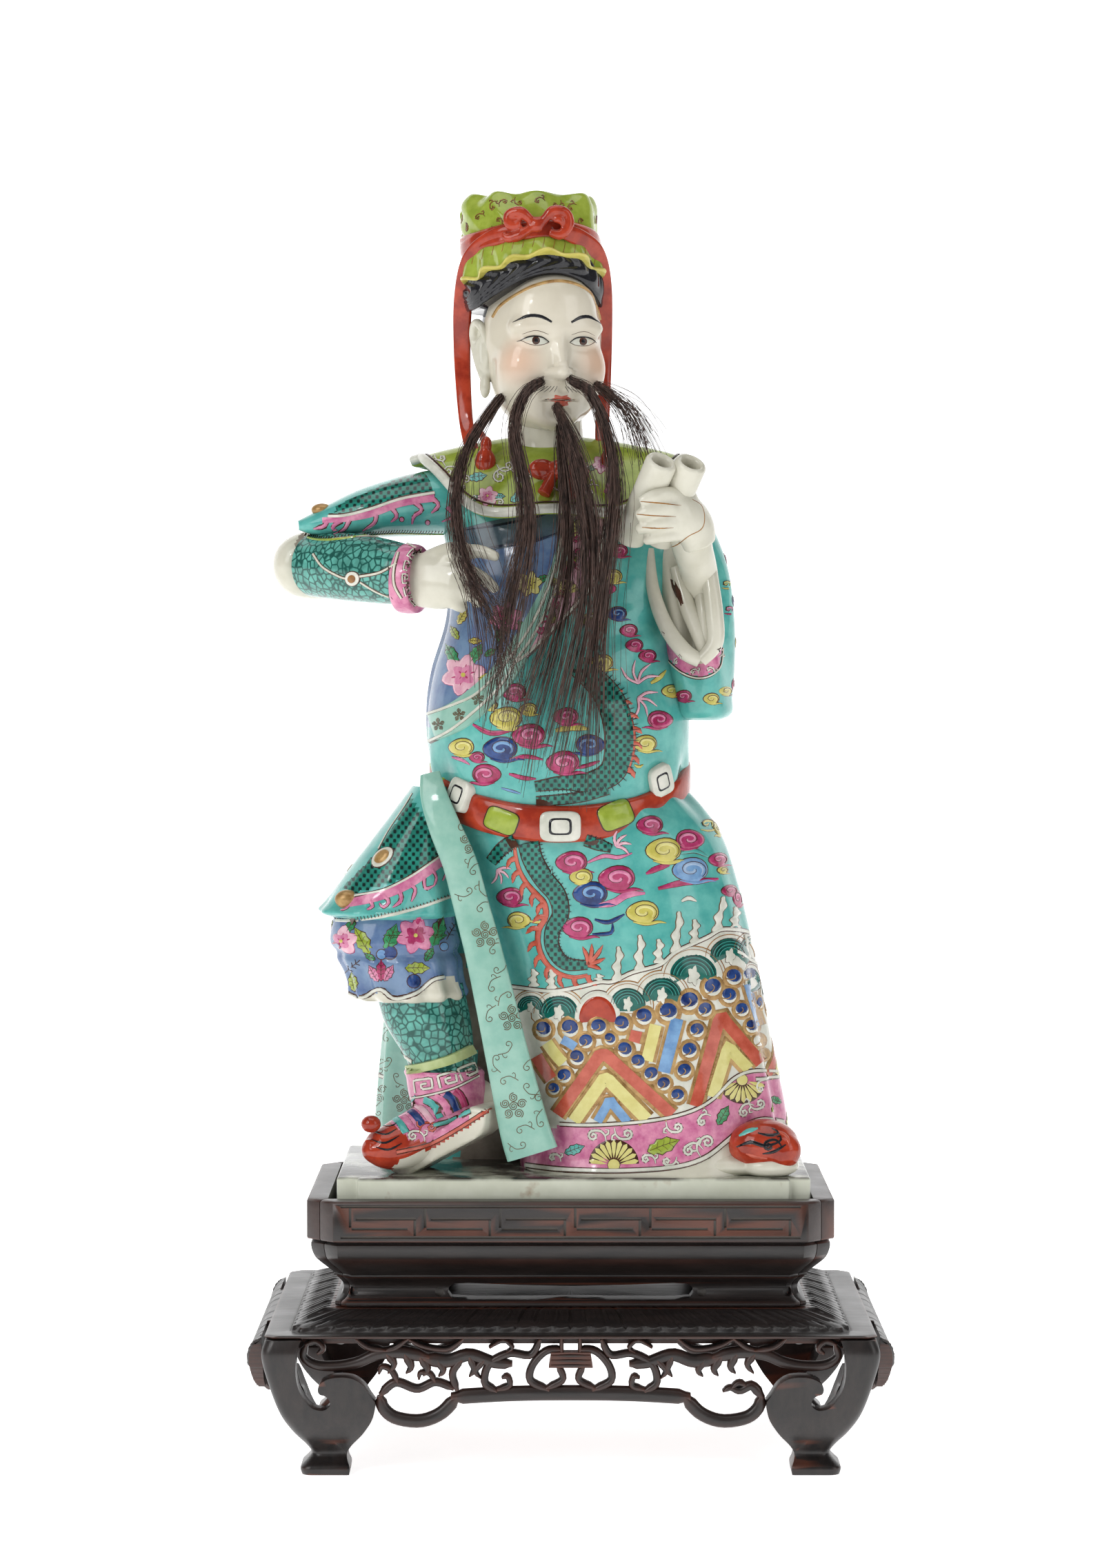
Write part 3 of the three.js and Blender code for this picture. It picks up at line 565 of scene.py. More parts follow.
def lappet_relief(across, inward):
    """Height of the lappets: across in lappet widths, inward from 0 at the field's edge to 1 at the waist."""
    x = 2 * (across % 1) - 1
    tip = 0.05 + 0.2 * (1 - np.sqrt(np.clip(1 - x * x, 0, 1)))
    inside = np.clip((inward - tip) / 0.05, 0, 1)
    rim = np.exp(-(((inward - tip - 0.05) / 0.045) ** 2))
    flute = 0.3 * np.cos(3 * np.pi * x) * np.clip((inward - 0.3) * 6, 0, 1)
    gap = np.exp(-(((np.abs(x) - 1) / 0.16) ** 2))
    return 0.75 * inside + 0.4 * rim - 0.45 * gap * (inward > tip) + flute * (inward < 0.97) - 0.5


board_rows = [(46.5, 99.0, 66.8, 3), (46.6, 99.4, 67.2, 3), (47.0, 99.6, 67.4, 3.2), (47.45, 99.0, 66.9, 3.6)]
board_rows += [(47.5, 98, 66, 3.6), (47.6, 92.3, 60.7, 3)]
field_rows = smooth_rows([
    (47.7, 91.6, 60, 3), (49.2, 89.5, 57.5, 3), (50.4, 86, 52.5, 3), (51.8, 82, 46.5, 3), (52.3, 79.5, 43, 3),
], 30)
COUNT = 720
rings = [[(0, 0, 43.5)] * COUNT]
rings += [
    [(*p, z) for p in cut_corner_line(a, b, cut, COUNT)]
    for z, a, b, cut in [(43.5, 88, 58, 3), (46.45, 88, 58, 3)] + board_rows
]
for step, (z, a, b, cut) in enumerate(field_rows):
    line = cut_corner_line(a, b, cut, COUNT)
    height = lappet_relief(np.arange(COUNT) / COUNT * 98, np.full(COUNT, step / (len(field_rows) - 1)))
    rings.append(np.column_stack([line, z + np.minimum(height * 0.9, 52.4 - z)]))
rings.append([(0, 0, 52.3)] * COUNT)
table = Piece()
table.add(skin(rings, ends=False), wood_across)
table.make("lappet_table", ["table_top"], 60)


# Waist of the stand
# Four hollowed boards, mitred and glued at their cut corners, with long pierced slots and a drilled hole
# at each corner. Light shows through from the slot at the back.
def frame_rails(profile, hollows, half_sizes, cuts, make_name, node_name):
    """Four mitred rails from a moulded profile, whose rows are height, half width, half depth and cut."""
    a, b = half_sizes
    inner, gap, reach = min(a, b) - 8, 0.12, 30

    def wedge(half, other):
        outer, far = half + reach - gap, other + reach + gap
        short, near = half - inner - gap, other - inner + gap
        return [(-outer, -far), (outer, -far), (short, -near), (-short, -near)]

    front, right = wedge(a, b), [(-t, s) for s, t in wedge(b, a)]
    wedges = {"front": front, "back": np.negative(front), "right": right, "left": np.negative(right)}
    for side, outline in wedges.items():
        rings = [[(x, y, z) for x, y in cut_rectangle(p, q, cut)] for z, p, q, cut in profile]
        rail = plain_object([skin(rings)], wood_of[side])
        for hollow in hollows:
            work(rail, "DIFFERENCE", [box_part(*hollow)])
        work(rail, "INTERSECT", [prism(outline, 0, 200)])
        for cut_parts in cuts.get(side, []):
            work(rail, "DIFFERENCE", cut_parts)
        rail.name = f"{make_name}_{side}"
        ease_edges(rail, 0.25, 2, 40)
        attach(rail, "root")
        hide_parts(f"{node_name}_{side}")


def box_part(x0, x1, y0, y1, z0, z1):
    return prism([(x0, y0), (x1, y0), (x1, y1), (x0, y1)], z0, z1)


def round_bar(x, y, z, radius, direction, length):
    d = np.array(direction, float) / np.linalg.norm(direction)
    end = np.array([x, y, z]) + d * length
    return tube([(x, y, z, radius), (*end, radius)], 2, 14, across=(0, 0, 1))


SLOT = [
    (-39.5, 55.4), (-40.6, 57), (-40.3, 58.8), (-38.5, 60.1), (-34, 60.3), (-20, 59.7), (0, 59.2), (20, 59.7),
    (34, 60.3), (38.5, 60.1), (40.3, 58.8), (40.6, 57), (39.5, 55.4), (34, 54.9), (12, 54.9), (0, 55.2),
    (-12, 54.9), (-34, 54.9),
]
SLOT_END = [
    (-18.6, 55.6), (-19.4, 57.3), (-18.6, 59.2), (-14, 59.8), (0, 59.2), (14, 59.8), (18.6, 59.2),
    (19.4, 57.3), (18.6, 55.6), (0, 55.1),
]
waist_profile = smooth_rows([
    (52.8, 78, 41.5, 4), (54, 78, 41.5, 4), (55.4, 76.4, 39.9, 4), (57.6, 75.4, 38.9, 4), (60, 75.6, 39.1, 4),
    (62.5, 77.6, 41.1, 4),
], 26)
slot_front = prism(SLOT, -50, 50, on_front)
slot_side = prism(SLOT_END, -90, 90, lambda u, v, w: (w, u, v))
eyes = []
for s in (-1, 1):
    circle = [(s * 43.4 + 1.5 * math.cos(t), 57.3 + 1.5 * math.sin(t)) for t in np.linspace(0, 6.28, 13)[:-1]]
    eyes.append(prism(circle, -50, -37.6, on_front))
corner_holes = [round_bar(s * 73.2, -44, 57.4, 1.6, (-0.25 * s, 1, 0), 8) for s in (-1, 1)]
wood_of = {"front": wood_across, "back": wood_across, "left": wood_deep, "right": wood_deep}
waist_cuts = {
    "front": [[slot_front], eyes, corner_holes],
    "back": [[slot_front]],
    "left": [[slot_side]],
    "right": [[slot_side]],
}
frame_rails(waist_profile, [(-68, 68, -32, 32, 40, 70)], (78, 41.5), waist_cuts, "hollowed_waist", "waist")


# Tray of the stand
# Four moulded rails, mitred at their cut corners, with a key fret cut into the upright band.
# They hold a plain floor board, on which the porcelain plinth stands.
def fret_grooves(half, face, place):
    """The sawn grooves of the key fret along one rail, as thin bars sunk into its face."""
    pitch = 24.6
    count = int(2 * half / pitch + 0.5)

    def groove(u0, u1, v0, v1, grow=0.42):
        outline = [
            (u0 - grow, v0 - grow), (u1 + grow, v0 - grow), (u1 + grow, v1 + grow), (u0 - grow, v1 + grow),
        ]
        return prism(outline, -face - 2, -face + 0.75, place)

    bars = []
    for n in range(count):
        u = (n - count / 2) * pitch + 1.5
        bars += [groove(u, u, 80.9, 86.4), groove(u + 2.3, u + 21.2, 83.3, 83.3)]
        bars += [groove(u + 0.9, u + 18.4, 80.0, 80.0), groove(u + 21.2, u + 21.2, 78.2, 82.4)]
    return bars + [groove(-half, half, 87.3, 87.3), groove(-half, half, 77.2, 77.2)]


A, B = 87, 51
tray_profile = smooth_rows([
    (62.8, A - 8.5, B - 8.5, 6), (63.6, A - 8.5, B - 8.5, 6), (65.5, A - 6.4, B - 6.4, 7),
    (69, A - 2.8, B - 2.8, 8), (72.2, A - 1.4, B - 1.4, 9), (74.2, A - 1.3, B - 1.3, 9),
], 22).tolist()
tray_profile += [
    (z, A - narrower, B - narrower, 9)
    for z, narrower in ((74.8, 2.1), (75.2, 1.8), (75.6, 0.2), (76.2, 0), (88.2, 0), (88.8, 0.4), (89, 1))
]
tray_cuts = {
    "front": [fret_grooves(75, B, on_front)],
    "back": [fret_grooves(75, B, lambda u, v, w: (-u, -w, v))],
    "left": [fret_grooves(38, A, lambda u, v, w: (w, -u, v))],
    "right": [fret_grooves(38, A, lambda u, v, w: (-w, u, v))],
}
inner_well = (-(A - 7), A - 7, -(B - 7), B - 7, 74, 95)
inner_under = (-(A - 18), A - 18, -(B - 18), B - 18, 40, 75)
frame_rails(tray_profile, [inner_well, inner_under], (A, B), tray_cuts, "fretted_rail", "tray_rail")
floor_board = Piece()
floor_board.add(box_part(-79.7, 79.7, -43.7, 43.7, 74.3, 79.7), wood_across)
ease_edges(floor_board.make("tray_floor_board", ["tray_floor"]), 0.5)


# Porcelain figure: clay, glaze and enamels
# One hollow body of white porcelain with its own plinth, glazed, fired, then painted with raised enamels.
# All the figure's parts below are modelled in one clay, so together they stand for one piece.
def enamel(name, colour, deep, mottle=220, shine=0.09, metal=0.0):
    """Glossy fired enamel, brushed on a little unevenly and deeper where it pools."""
    finish = new_finish(name)
    surface(finish, {"Metallic": metal, "Specular IOR Level": 0.42})
    where = on_object(finish)
    brushed = noise(finish, where, mottle, 5, 0.6)
    tone = ramp(finish, brushed, 0.36, deep, 0.62, colour)
    roughness = span(finish, brushed, 0, 1, shine * 0.7, shine * 1.8)
    ripples = raised(finish, noise(finish, where, 130), 0.3, 0.0006)
    surface(finish, {"Base Color": tone, "Roughness": roughness, "Normal": ripples})
    return finish


turquoise = enamel("turquoise_enamel", (0.13, 0.46, 0.41), (0.07, 0.35, 0.32), 130)
pale_turquoise = enamel("pale_turquoise_enamel", (0.3, 0.52, 0.43), (0.22, 0.44, 0.36), 110)
blue_grey = enamel("blue_grey_enamel", (0.17, 0.26, 0.4), (0.09, 0.15, 0.3), 100)
# night blue, used only for painted shadow lines under the cape's rim
night_blue_shadow = enamel("night_blue_painted_shadow", (0.03, 0.04, 0.07), (0.012, 0.016, 0.03))
dark_green = enamel("dark_green_enamel", (0.006, 0.13, 0.1), (0.003, 0.07, 0.055))
leaf_green = enamel("leaf_green_enamel", (0.06, 0.32, 0.13), (0.03, 0.2, 0.08))
yellow_green = enamel("yellow_green_enamel", (0.34, 0.42, 0.06), (0.25, 0.33, 0.035))
pale_green = enamel("pale_green_enamel", (0.45, 0.52, 0.25), (0.36, 0.44, 0.18))
yellow = enamel("yellow_enamel", (0.6, 0.53, 0.13), (0.46, 0.41, 0.08))
pink = enamel("pink_enamel", (0.68, 0.27, 0.4), (0.5, 0.12, 0.26), 260)
magenta = enamel("magenta_enamel", (0.46, 0.05, 0.16), (0.28, 0.016, 0.07), 260)
pale_pink = enamel("pale_pink_enamel", (0.78, 0.5, 0.56), (0.66, 0.32, 0.42), 260)
cobalt = enamel("cobalt_enamel", (0.025, 0.07, 0.24), (0.008, 0.02, 0.1))
sky_blue = enamel("sky_blue_enamel", (0.2, 0.37, 0.6), (0.11, 0.23, 0.44))
iron_red = enamel("iron_red_enamel", (0.44, 0.052, 0.022), (0.28, 0.026, 0.012), 160)
coral_red = enamel("coral_red_enamel", (0.57, 0.13, 0.085), (0.42, 0.07, 0.04), 200)
gold = enamel("gilding", (0.46, 0.29, 0.11), (0.28, 0.15, 0.05), 300, 0.24, 0.25)
white = enamel("white_enamel", (0.7, 0.69, 0.61), (0.54, 0.55, 0.47), 160)
cream = enamel("cream_glaze", (0.66, 0.64, 0.54), (0.56, 0.54, 0.44), 60)
black = enamel("black_enamel", (0.02, 0.02, 0.024), (0.008, 0.008, 0.01))
brown_line = enamel("brown_line", (0.08, 0.03, 0.018), (0.045, 0.017, 0.01), 200, 0.2)
# slate: painted shadow under the cape's rim on the chest, and fine hair lines at the back of the head
slate_shadow_and_hair = enamel("slate_painted_shadow_and_hair_lines", (0.1, 0.15, 0.19), (0.02, 0.035, 0.05), 70)
ochre = enamel("ochre_line", (0.36, 0.17, 0.04), (0.2, 0.08, 0.02), 200, 0.2)
thin_brown = enamel("thin_brown_line", (0.16, 0.12, 0.07), (0.09, 0.06, 0.035), 200, 0.2)
pale_blue = enamel("pale_blue_enamel", (0.36, 0.48, 0.64), (0.26, 0.38, 0.56))
pale_yellow = enamel("pale_yellow_enamel", (0.68, 0.63, 0.25), (0.6, 0.54, 0.18))
# dark brown painted shade, laid in the hollow of the elbow's lining and in the gap between leg and skirt
hollow_shade_brown = enamel("painted_hollow_shade", (0.36, 0.31, 0.25), (0.16, 0.13, 0.1), 60, 0.5)


def scale_armour(finish):
    """Where the drawn lines between the scales run."""
    cells = {"Vector": on_object(finish), "Scale": 390, "Randomness": 0.8}
    distance = add_node(finish, "TexVoronoi", "Distance", cells, feature="DISTANCE_TO_EDGE")
    return span(finish, distance, 0.04, 0.15, 1, 0)


def mail_armour(finish):
    """Where the drawn lines of the net cross."""
    waves = []
    for slant in (0.72, -0.72):
        turned = {"Vector": on_object(finish), "Rotation": (0, slant, 0)}
        tilt = add_node(finish, "Mapping", "Vector", turned)
        wave = {"Vector": tilt, "Scale": 165, "Distortion": 0.6, "Detail": 1}
        waves.append(add_node(finish, "TexWave", "Fac", wave))
    return span(finish, combined(finish, *waves, "ADD"), 0.9, 1.5)


scales = enamel("scale_armour", (0.12, 0.42, 0.35), (0.072, 0.252, 0.21))
overlay(scales, scale_armour(scales), (0.012, 0.08, 0.065))
mail = enamel("mail_armour", (0.025, 0.25, 0.19), (0.015, 0.15, 0.114))
overlay(mail, mail_armour(mail), (0.006, 0.02, 0.018))


def rings_at(rows, levels, sides, relief=None):
    """Level rings up a table of z, x, y, half width, half depth and squareness; relief swells them."""
    table = smooth_rows(rows, levels)
    turn = full_turn(sides, -np.pi)
    z, x, y, a, b, squareness = (table[:, k : k + 1] for k in range(6))
    c, s = bent(np.cos(turn)[None], 2 / squareness), bent(np.sin(turn)[None], 2 / squareness)
    swell = relief(np.degrees(turn)[None] + 90, z) if relief else 0
    return np.stack([x + (a + swell) * c, y + (b + swell) * s, z + 0 * c], -1)


def ridge(value, middle, width):
    """A soft ridge one high."""
    return np.exp(-(((value - middle) / width) ** 2))


def ball(x, y, z, a, b, c, sides=24):
    """An egg shape with three half widths."""
    tilt = np.linspace(0.02, np.pi - 0.02, sides // 2 + 1)[:, None]
    out, turn = np.sin(tilt), full_turn(sides)[None]
    return skin(np.stack([
        x + a * out * np.cos(turn), y + b * out * np.sin(turn), z + c * np.cos(tilt) + 0 * turn
    ], -1))


def fused(parts, voxel, passes=4):
    """Presses several shapes of clay together and smooths the joins."""
    lump = plain_object(parts)
    mend = lump.modifiers.new("fused", "REMESH")
    mend.mode = "VOXEL"
    mend.voxel_size = voxel * MILLIMETRE
    soft = lump.modifiers.new("smoothed", "SMOOTH")
    soft.factor = 0.5
    soft.iterations = passes
    apply_modifiers(lump)
    points = np.array([corner.co[:] for corner in lump.data.vertices]) * 1000
    faces = [tuple(face.vertices) for face in lump.data.polygons]
    bpy.data.objects.remove(lump)
    return outwards(points, faces)


class Brush:
    """Enamel laid on the clay. Places on a drawing sheet are found where the sheet's rays meet the clay."""

    def __init__(self, piece, parts, rays, unit=1, down=1):
        clay = Piece()
        for part in parts:
            clay.add(part)
        self.clay = BVHTree.FromPolygons(np.vstack(clay.points).tolist(), clay.faces)
        self.piece, self.rays, self.unit, self.down = piece, rays, unit, down

    def touch(self, places):
        """Where the sheet's places meet the clay, and which way it faces there."""
        found, normals = [], []
        for u, v in places:
            start, heading = self.rays(u, v)
            place, normal, _, _ = self.clay.ray_cast(start, heading)
            if place is None:
                place = normal = (np.nan,) * 3
            elif normal.dot(heading) > 0:
                normal = -normal
            found.append(place[:])
            normals.append(normal[:])
        return np.array(found), np.array(normals)

    def path(self, places, step, sharp=False):
        """A line through places, in even steps on the clay."""
        places = np.asarray(places, float)
        rough = smooth_rows(places, 6 * len(places))
        if sharp:
            fine = np.linspace(0, len(places) - 1, 6 * len(places))
            rough = np.stack([np.interp(fine, np.arange(len(places)), places[:, k]) for k in (0, 1)], 1)
        length = np.concatenate([[0], np.cumsum(np.linalg.norm(np.diff(rough, axis=0), axis=1))])
        even = np.linspace(0, length[-1], max(4, int(length[-1] * self.unit / step) + 1))
        return np.stack([np.interp(even, length, rough[:, k]) for k in (0, 1)], 1)

    def line(self, places, width, finish, height=0.14, tips=(1, 1), step=0.95, sharp=False):
        """A raised line of enamel, width in millimetres; tips are its widths at the ends, as shares."""
        spots, normals = self.touch(self.path(places, step, sharp))
        share = np.interp(np.linspace(0, 1, len(spots)), [0, 0.3, 0.7, 1], [tips[0], 1, 1, tips[1]])
        missed = np.isnan(spots[:, 0])
        leaps = np.linalg.norm(np.diff(spots, axis=0), axis=1) > step * 4.5
        breaks = [0, *(np.flatnonzero(leaps | missed[:-1] | missed[1:]) + 1), len(spots)]
        for first, last in zip(breaks[:-1], breaks[1:]):
            if last - first < 3:
                continue
            centre, normal = spots[first:last], normals[first:last]
            side = directions(np.cross(
                normal, np.gradient(centre, axis=0)
            )) * share[first:last, None] * width / 2
            low, high = centre - 0.12 * normal, centre + height * normal
            rings = [low - side, high - side * 0.55, high + side * 0.55, low + side]
            self.piece.add(skin(np.stack(rings, 1)), finish)

    def outlined(self, places, width, finish, height=0.16, tips=(1, 1), sharp=False, edge=0.55):
        self.line(places, width + edge, brown_line, height * 0.45, tips, 1.1, sharp)
        self.line(places, width, finish, height, tips, 1.0, sharp)

    def rimmed(self, places, under, over):
        """A white line over a broader brown one, each with its width and height."""
        self.line(places, under[0], brown_line, under[1])
        self.line(places, over[0], white, over[1])

    def spread(self, places, widths):
        """A line of places, the direction across it and half its width there, in sheet units."""
        along = np.gradient(places, axis=0)
        side = directions(np.stack([-along[:, 1], along[:, 0]], 1))
        half = np.interp(np.linspace(0, 1, len(places)), np.linspace(0, 1, len(widths)), widths) / 2 / self.unit
        return along, side, half

    def band(self, places, widths, finish, height=0.2, across=7, step=1.0, sharp=False):
        """A broad band that follows the clay across its width as well."""
        line = self.path(places, step, sharp)
        along, side, half = self.spread(line, widths)
        if sharp:
            length = np.linalg.norm(along, axis=1)[:, None]
            side = side * np.clip(np.median(length) / length, 1, 2.6)
        shares = [-1.0, *(0.94 * np.linspace(-1, 1, across)), 1.0]
        lift = np.array([-0.15] + [height] * across + [-0.15])[:, None]
        rings = []
        for centre, out, reach in zip(line, side, half):
            spots, normals = self.touch([centre + out * reach * k for k in shares])
            if not np.isnan(spots).any():
                rings.append(spots + normals * lift)
        if len(rings) > 2:
            self.piece.add(skin(rings), finish)

    def patch(self, outline, finish, height=0.16, grow=0.0):
        """A raised field of enamel inside an outline round its own middle."""
        outline = np.asarray(outline, float)
        middle = outline.mean(0)
        away = outline - middle
        reach = np.linalg.norm(away, axis=1)[:, None] + 1e-9
        away = away * (1 + grow / self.unit / reach)
        reach = np.max(reach) * self.unit
        steps = ((1, -0.15), (0.94, height * 0.75), (0.7, height), (0.35, height))
        if reach < 1.8:
            steps = ((1, -0.15), (0.9, height * 0.85), (0.45, height))
        rings = []
        for share, lift in steps:
            spots, normals = self.touch(middle + away * share)
            if np.isnan(spots).any() or np.linalg.norm(spots - spots.mean(0), axis=1).max() > 4 * reach:
                return
            rings.append(spots + normals * lift)
        (spot,), (normal,) = self.touch([middle])
        if not np.isnan(spot).any():
            self.piece.add(skin(rings, (spot - normal * 0.4, spot + normal * height)), finish)

    def edged(self, outline, finish, height=0.18, edge=0.3, rim=None):
        self.patch(outline, rim or brown_line, height * 0.5, edge)
        self.patch(outline, finish, height)

    def at(self, u, v, size, turn=0, flip=1):
        """Sets shapes drawn one unit high on the sheet at a place, with a size in sheet units."""
        a = math.radians(turn)

        def placed(drawn):
            drawn = np.asarray(drawn, float) * (flip * size, size)
            x = drawn[:, 0] * math.cos(a) - drawn[:, 1] * math.sin(a)
            y = drawn[:, 0] * math.sin(a) + drawn[:, 1] * math.cos(a)
            return np.stack([u + x, v + self.down * y], 1)

        return placed


CAMERA_AT = np.array(CAMERA_PLACE) * 1000
MILLIMETRES_A_PIXEL = 0.2325


def camera_rays(corner_x, corner_y, scale):
    """Rays through a drawing sheet laid over the picture, from its corner and its scale there."""
    ahead = np.array([0, math.cos(PITCH), -math.sin(PITCH)])
    above = np.array([0, math.sin(PITCH), math.cos(PITCH)])
    eye = Vector(CAMERA_PLACE * 1000)

    def rays(u, v):
        heading = ahead * FOCAL_PIXELS + above * (FRAME_HEIGHT / 2 - corner_y - v / scale)
        heading[0] += corner_x + u / scale - FRAME_WIDTH / 2
        return eye, Vector(heading).normalized()

    return rays


def sheet(piece, parts, place):
    """A brush that paints what the camera sees; place is the sheet's corner on the picture and its scale."""
    return Brush(piece, parts, camera_rays(*place), MILLIMETRES_A_PIXEL / place[2], -1)


def round_rays(x, y, radius):
    """Rays from all round towards an upright axis: u is millimetres round from the front, v is the height."""

    def rays(u, v):
        a = u / radius
        heading = Vector((-math.sin(a), math.cos(a), 0))
        return Vector((x, y, v)) - heading * 400, heading

    return rays


def on_picture(points):
    """Where points in millimetres fall on the picture, in its pixels."""
    away = points - CAMERA_AT
    depth = away[:, 1] * math.cos(PITCH) - away[:, 2] * math.sin(PITCH)
    up = away[:, 1] * math.sin(PITCH) + away[:, 2] * math.cos(PITCH)
    across = FRAME_WIDTH / 2 + FOCAL_PIXELS * away[:, 0] / depth
    return np.stack([across, FRAME_HEIGHT / 2 - FOCAL_PIXELS * up / depth], 1)


def inside(outline, places):
    """Which places lie inside an outline."""
    outline = np.asarray(outline, float)
    hit = np.zeros(len(places), bool)
    for (x0, y0), (x1, y1) in zip(outline, np.roll(outline, -1, 0)):
        crosses = (y0 > places[:, 1]) != (y1 > places[:, 1])
        hit ^= crosses & (places[:, 0] < (x1 - x0) * (places[:, 1] - y0) / (y1 - y0 + 1e-9) + x0)
    return hit


def dipped(part, ground, areas, place):
    """The ground colour of each face, with other colours in areas drawn on the front as seen on a sheet."""
    points, faces = part
    middles = np.array([points[list(face)].mean(0) for face in faces])
    a, b, c = (points[[face[k] for face in faces]] for k in range(3))
    front = np.einsum("ij,ij->i", np.cross(b - a, c - b), middles - CAMERA_AT) < 0
    places = (on_picture(middles) - place[:2]) * place[2]
    colours = [ground] * len(faces)
    for outline, finish in areas:
        for n in np.flatnonzero(inside(outline, places) & front):
            colours[n] = finish
    return colours


def ring_points(count, wide=1.0, high=1.0, lobes=0, depth=0.0, start=0.0, end=360.0):
    turn = np.radians(np.linspace(start, end, count, endpoint=end - start < 360))
    reach = 1 + depth * np.cos(lobes * turn)
    return np.stack([wide * reach * np.cos(turn), high * reach * np.sin(turn)], 1)


def arc_points(count, wide, high, start, end):
    return ring_points(count, wide, high, start=start, end=end)


def curl_points(turns, outer, inner, start=0, count=18):
    share = np.linspace(0, 1, count)
    turn = np.radians(start) + share * turns * 2 * np.pi
    reach = outer + (inner - outer) * share
    return np.stack([reach * np.cos(turn), reach * np.sin(turn)], 1)


INNER_TONE = {magenta: pink, cobalt: sky_blue, pink: pale_pink, sky_blue: pale_blue, yellow: pale_yellow}


def cloud(brush, u, v, size, finish, flip=1, flat=0.66):
    """A flat cloud curled round itself, pale inside, with a brown spiral and a trailing foot."""
    at = brush.at(u, v, size, 0, flip)
    foot = [(-0.7, -0.66), (0.2, -0.8), (1.0, -0.66), (1.5, -0.74)]
    brush.outlined(at(foot), 0.28 * size * brush.unit, finish, 0.18, (0.3, 0.2), edge=0.5)
    around = full_turn(20)
    reach = 1.02 + 0.2 * around / (2 * np.pi) + 0.05 * np.cos(3 * around)
    shell = np.stack([reach * np.cos(around - 0.9), flat * reach * np.sin(around - 0.9)], 1)
    brush.edged(at(shell), finish, 0.24, 0.34)
    pale, tone = curl_points(1.1, 0.74, 0.2, -40, 14) * (1, flat), INNER_TONE.get(finish, white)
    brush.line(at(pale), 0.36 * size * brush.unit, tone, 0.28, (0.4, 0.8))
    spiral = curl_points(1.15, 0.94, 0.26, -46, 16) * (1, flat)
    brush.line(at(spiral), 0.34, brown_line, 0.34, (1, 0.6))


def clouds(brush, rows, grow=1.0):
    for u, v, size, finish, *flip in rows:
        cloud(brush, u, v, grow * size, finish, *flip)


def wisps(brush, rows):
    """The clouds' trailing tails."""
    for places, width, finish in rows:
        brush.outlined(places, width, finish, 0.17, (0.5, 0.35))


def leaf(brush, u, v, size, finish, turn=0):
    at = brush.at(u, v, size, turn)
    sides = [(-1, 0), (-0.7, 0.34), (-0.45, 0.3), (-0.2, 0.5), (0.1, 0.4), (0.4, 0.45), (0.65, 0.25), (1.1, 0)]
    brush.edged(at(sides + [(x, -y) for x, y in sides[::-1][1:-1]]), finish, 0.18)
    brush.line(at([(-0.8, 0), (0, 0.03), (0.9, 0)]), 0.3, brown_line, 0.24)
    for x in (-0.4, 0, 0.4):
        for side in (1, -1):
            vein = [(x, 0), (x + 0.14, 0.16 * side), (x + 0.2, 0.32 * side)]
            brush.line(at(vein), 0.22, brown_line, 0.23)


def leaves(brush, rows):
    for u, v, size, finish, turn in rows:
        leaf(brush, u, v, size, finish, turn)


def peony(brush, u, v, size, finish, leaves_round):
    """Two rows of notched petals, pale outside and deep within, round a yellow eye."""
    for turn, green in leaves_round:
        a = math.radians(turn)
        leaf(
            brush, u + size * 1.2 * math.cos(a), v + brush.down * size * 1.2 * math.sin(a), size * 0.58,
            green, turn,
        )
    rim = brown_line if finish is yellow else magenta
    rows = ((0.62, 0.48, 6, 15, INNER_TONE.get(finish, pale_pink)), (0.3, 0.34, 4, 50, finish))
    for reach, wide, count, start, tone in rows:
        lift = 0.34 - 0.16 * reach
        for n in range(count):
            a = math.radians(start + 360 * n / count)
            x, y = u + reach * size * math.cos(a), v + brush.down * 0.9 * reach * size * math.sin(a)
            petal = ring_points(12, wide, 0.86 * wide, 3, 0.1, 180, 540)
            brush.edged(brush.at(x, y, size, math.degrees(a))(petal), tone, lift - 0.02, 0.2, rim)
            brush.line([(x, y), ((x + u) / 2, (y + v) / 2)], 0.16 * size * brush.unit, rim, lift, (0.2, 1), 0.5)
    brush.patch(brush.at(u, v, size)(ring_points(8, 0.13, 0.13)), yellow, 0.38)


def chrysanthemum(brush, u, v, size, start, end, petals=9):
    fan = np.vstack([[(0, 0)], arc_points(22, 1, 1, start, end)])
    brush.patch(brush.at(u, v, size)(fan), brown_line, 0.12)
    petal = np.array([(0.24, 0), (0.5, 0.085), (0.85, 0.13), (0.98, 0), (0.85, -0.13), (0.5, -0.085)])
    petal[:, 1] *= 0.92 * 9 / petals * abs(end - start) / 180
    for n in range(petals):
        turn = start + (n + 0.5) * (end - start) / petals
        brush.patch(brush.at(u, v, size, turn)(petal), pale_yellow, 0.22)
    brush.edged(brush.at(u, v, size)(ring_points(12, 0.24, 0.24)), pale_yellow, 0.24, 0.2)


def scroll(brush, u, v, size, finish=white, turn=0, flip=1, width=0.75):
    """A crook-shaped tendril with a side shoot."""
    at = brush.at(u, v, size, turn, flip)
    line = np.vstack([[(1.5, -0.7), (1.35, 0.05), (0.85, 0.55)], curl_points(1.3, 0.62, 0.16, 78, 16)])
    brush.outlined(at(line), width, finish, 0.22, (0.4, 1), edge=0.4)
    shoot = [(1.36, 0), (1.8, 0.3), (1.75, 0.75), (1.4, 0.72)]
    brush.outlined(at(shoot), width * 0.8, finish, 0.22, (1, 0.6), edge=0.4)


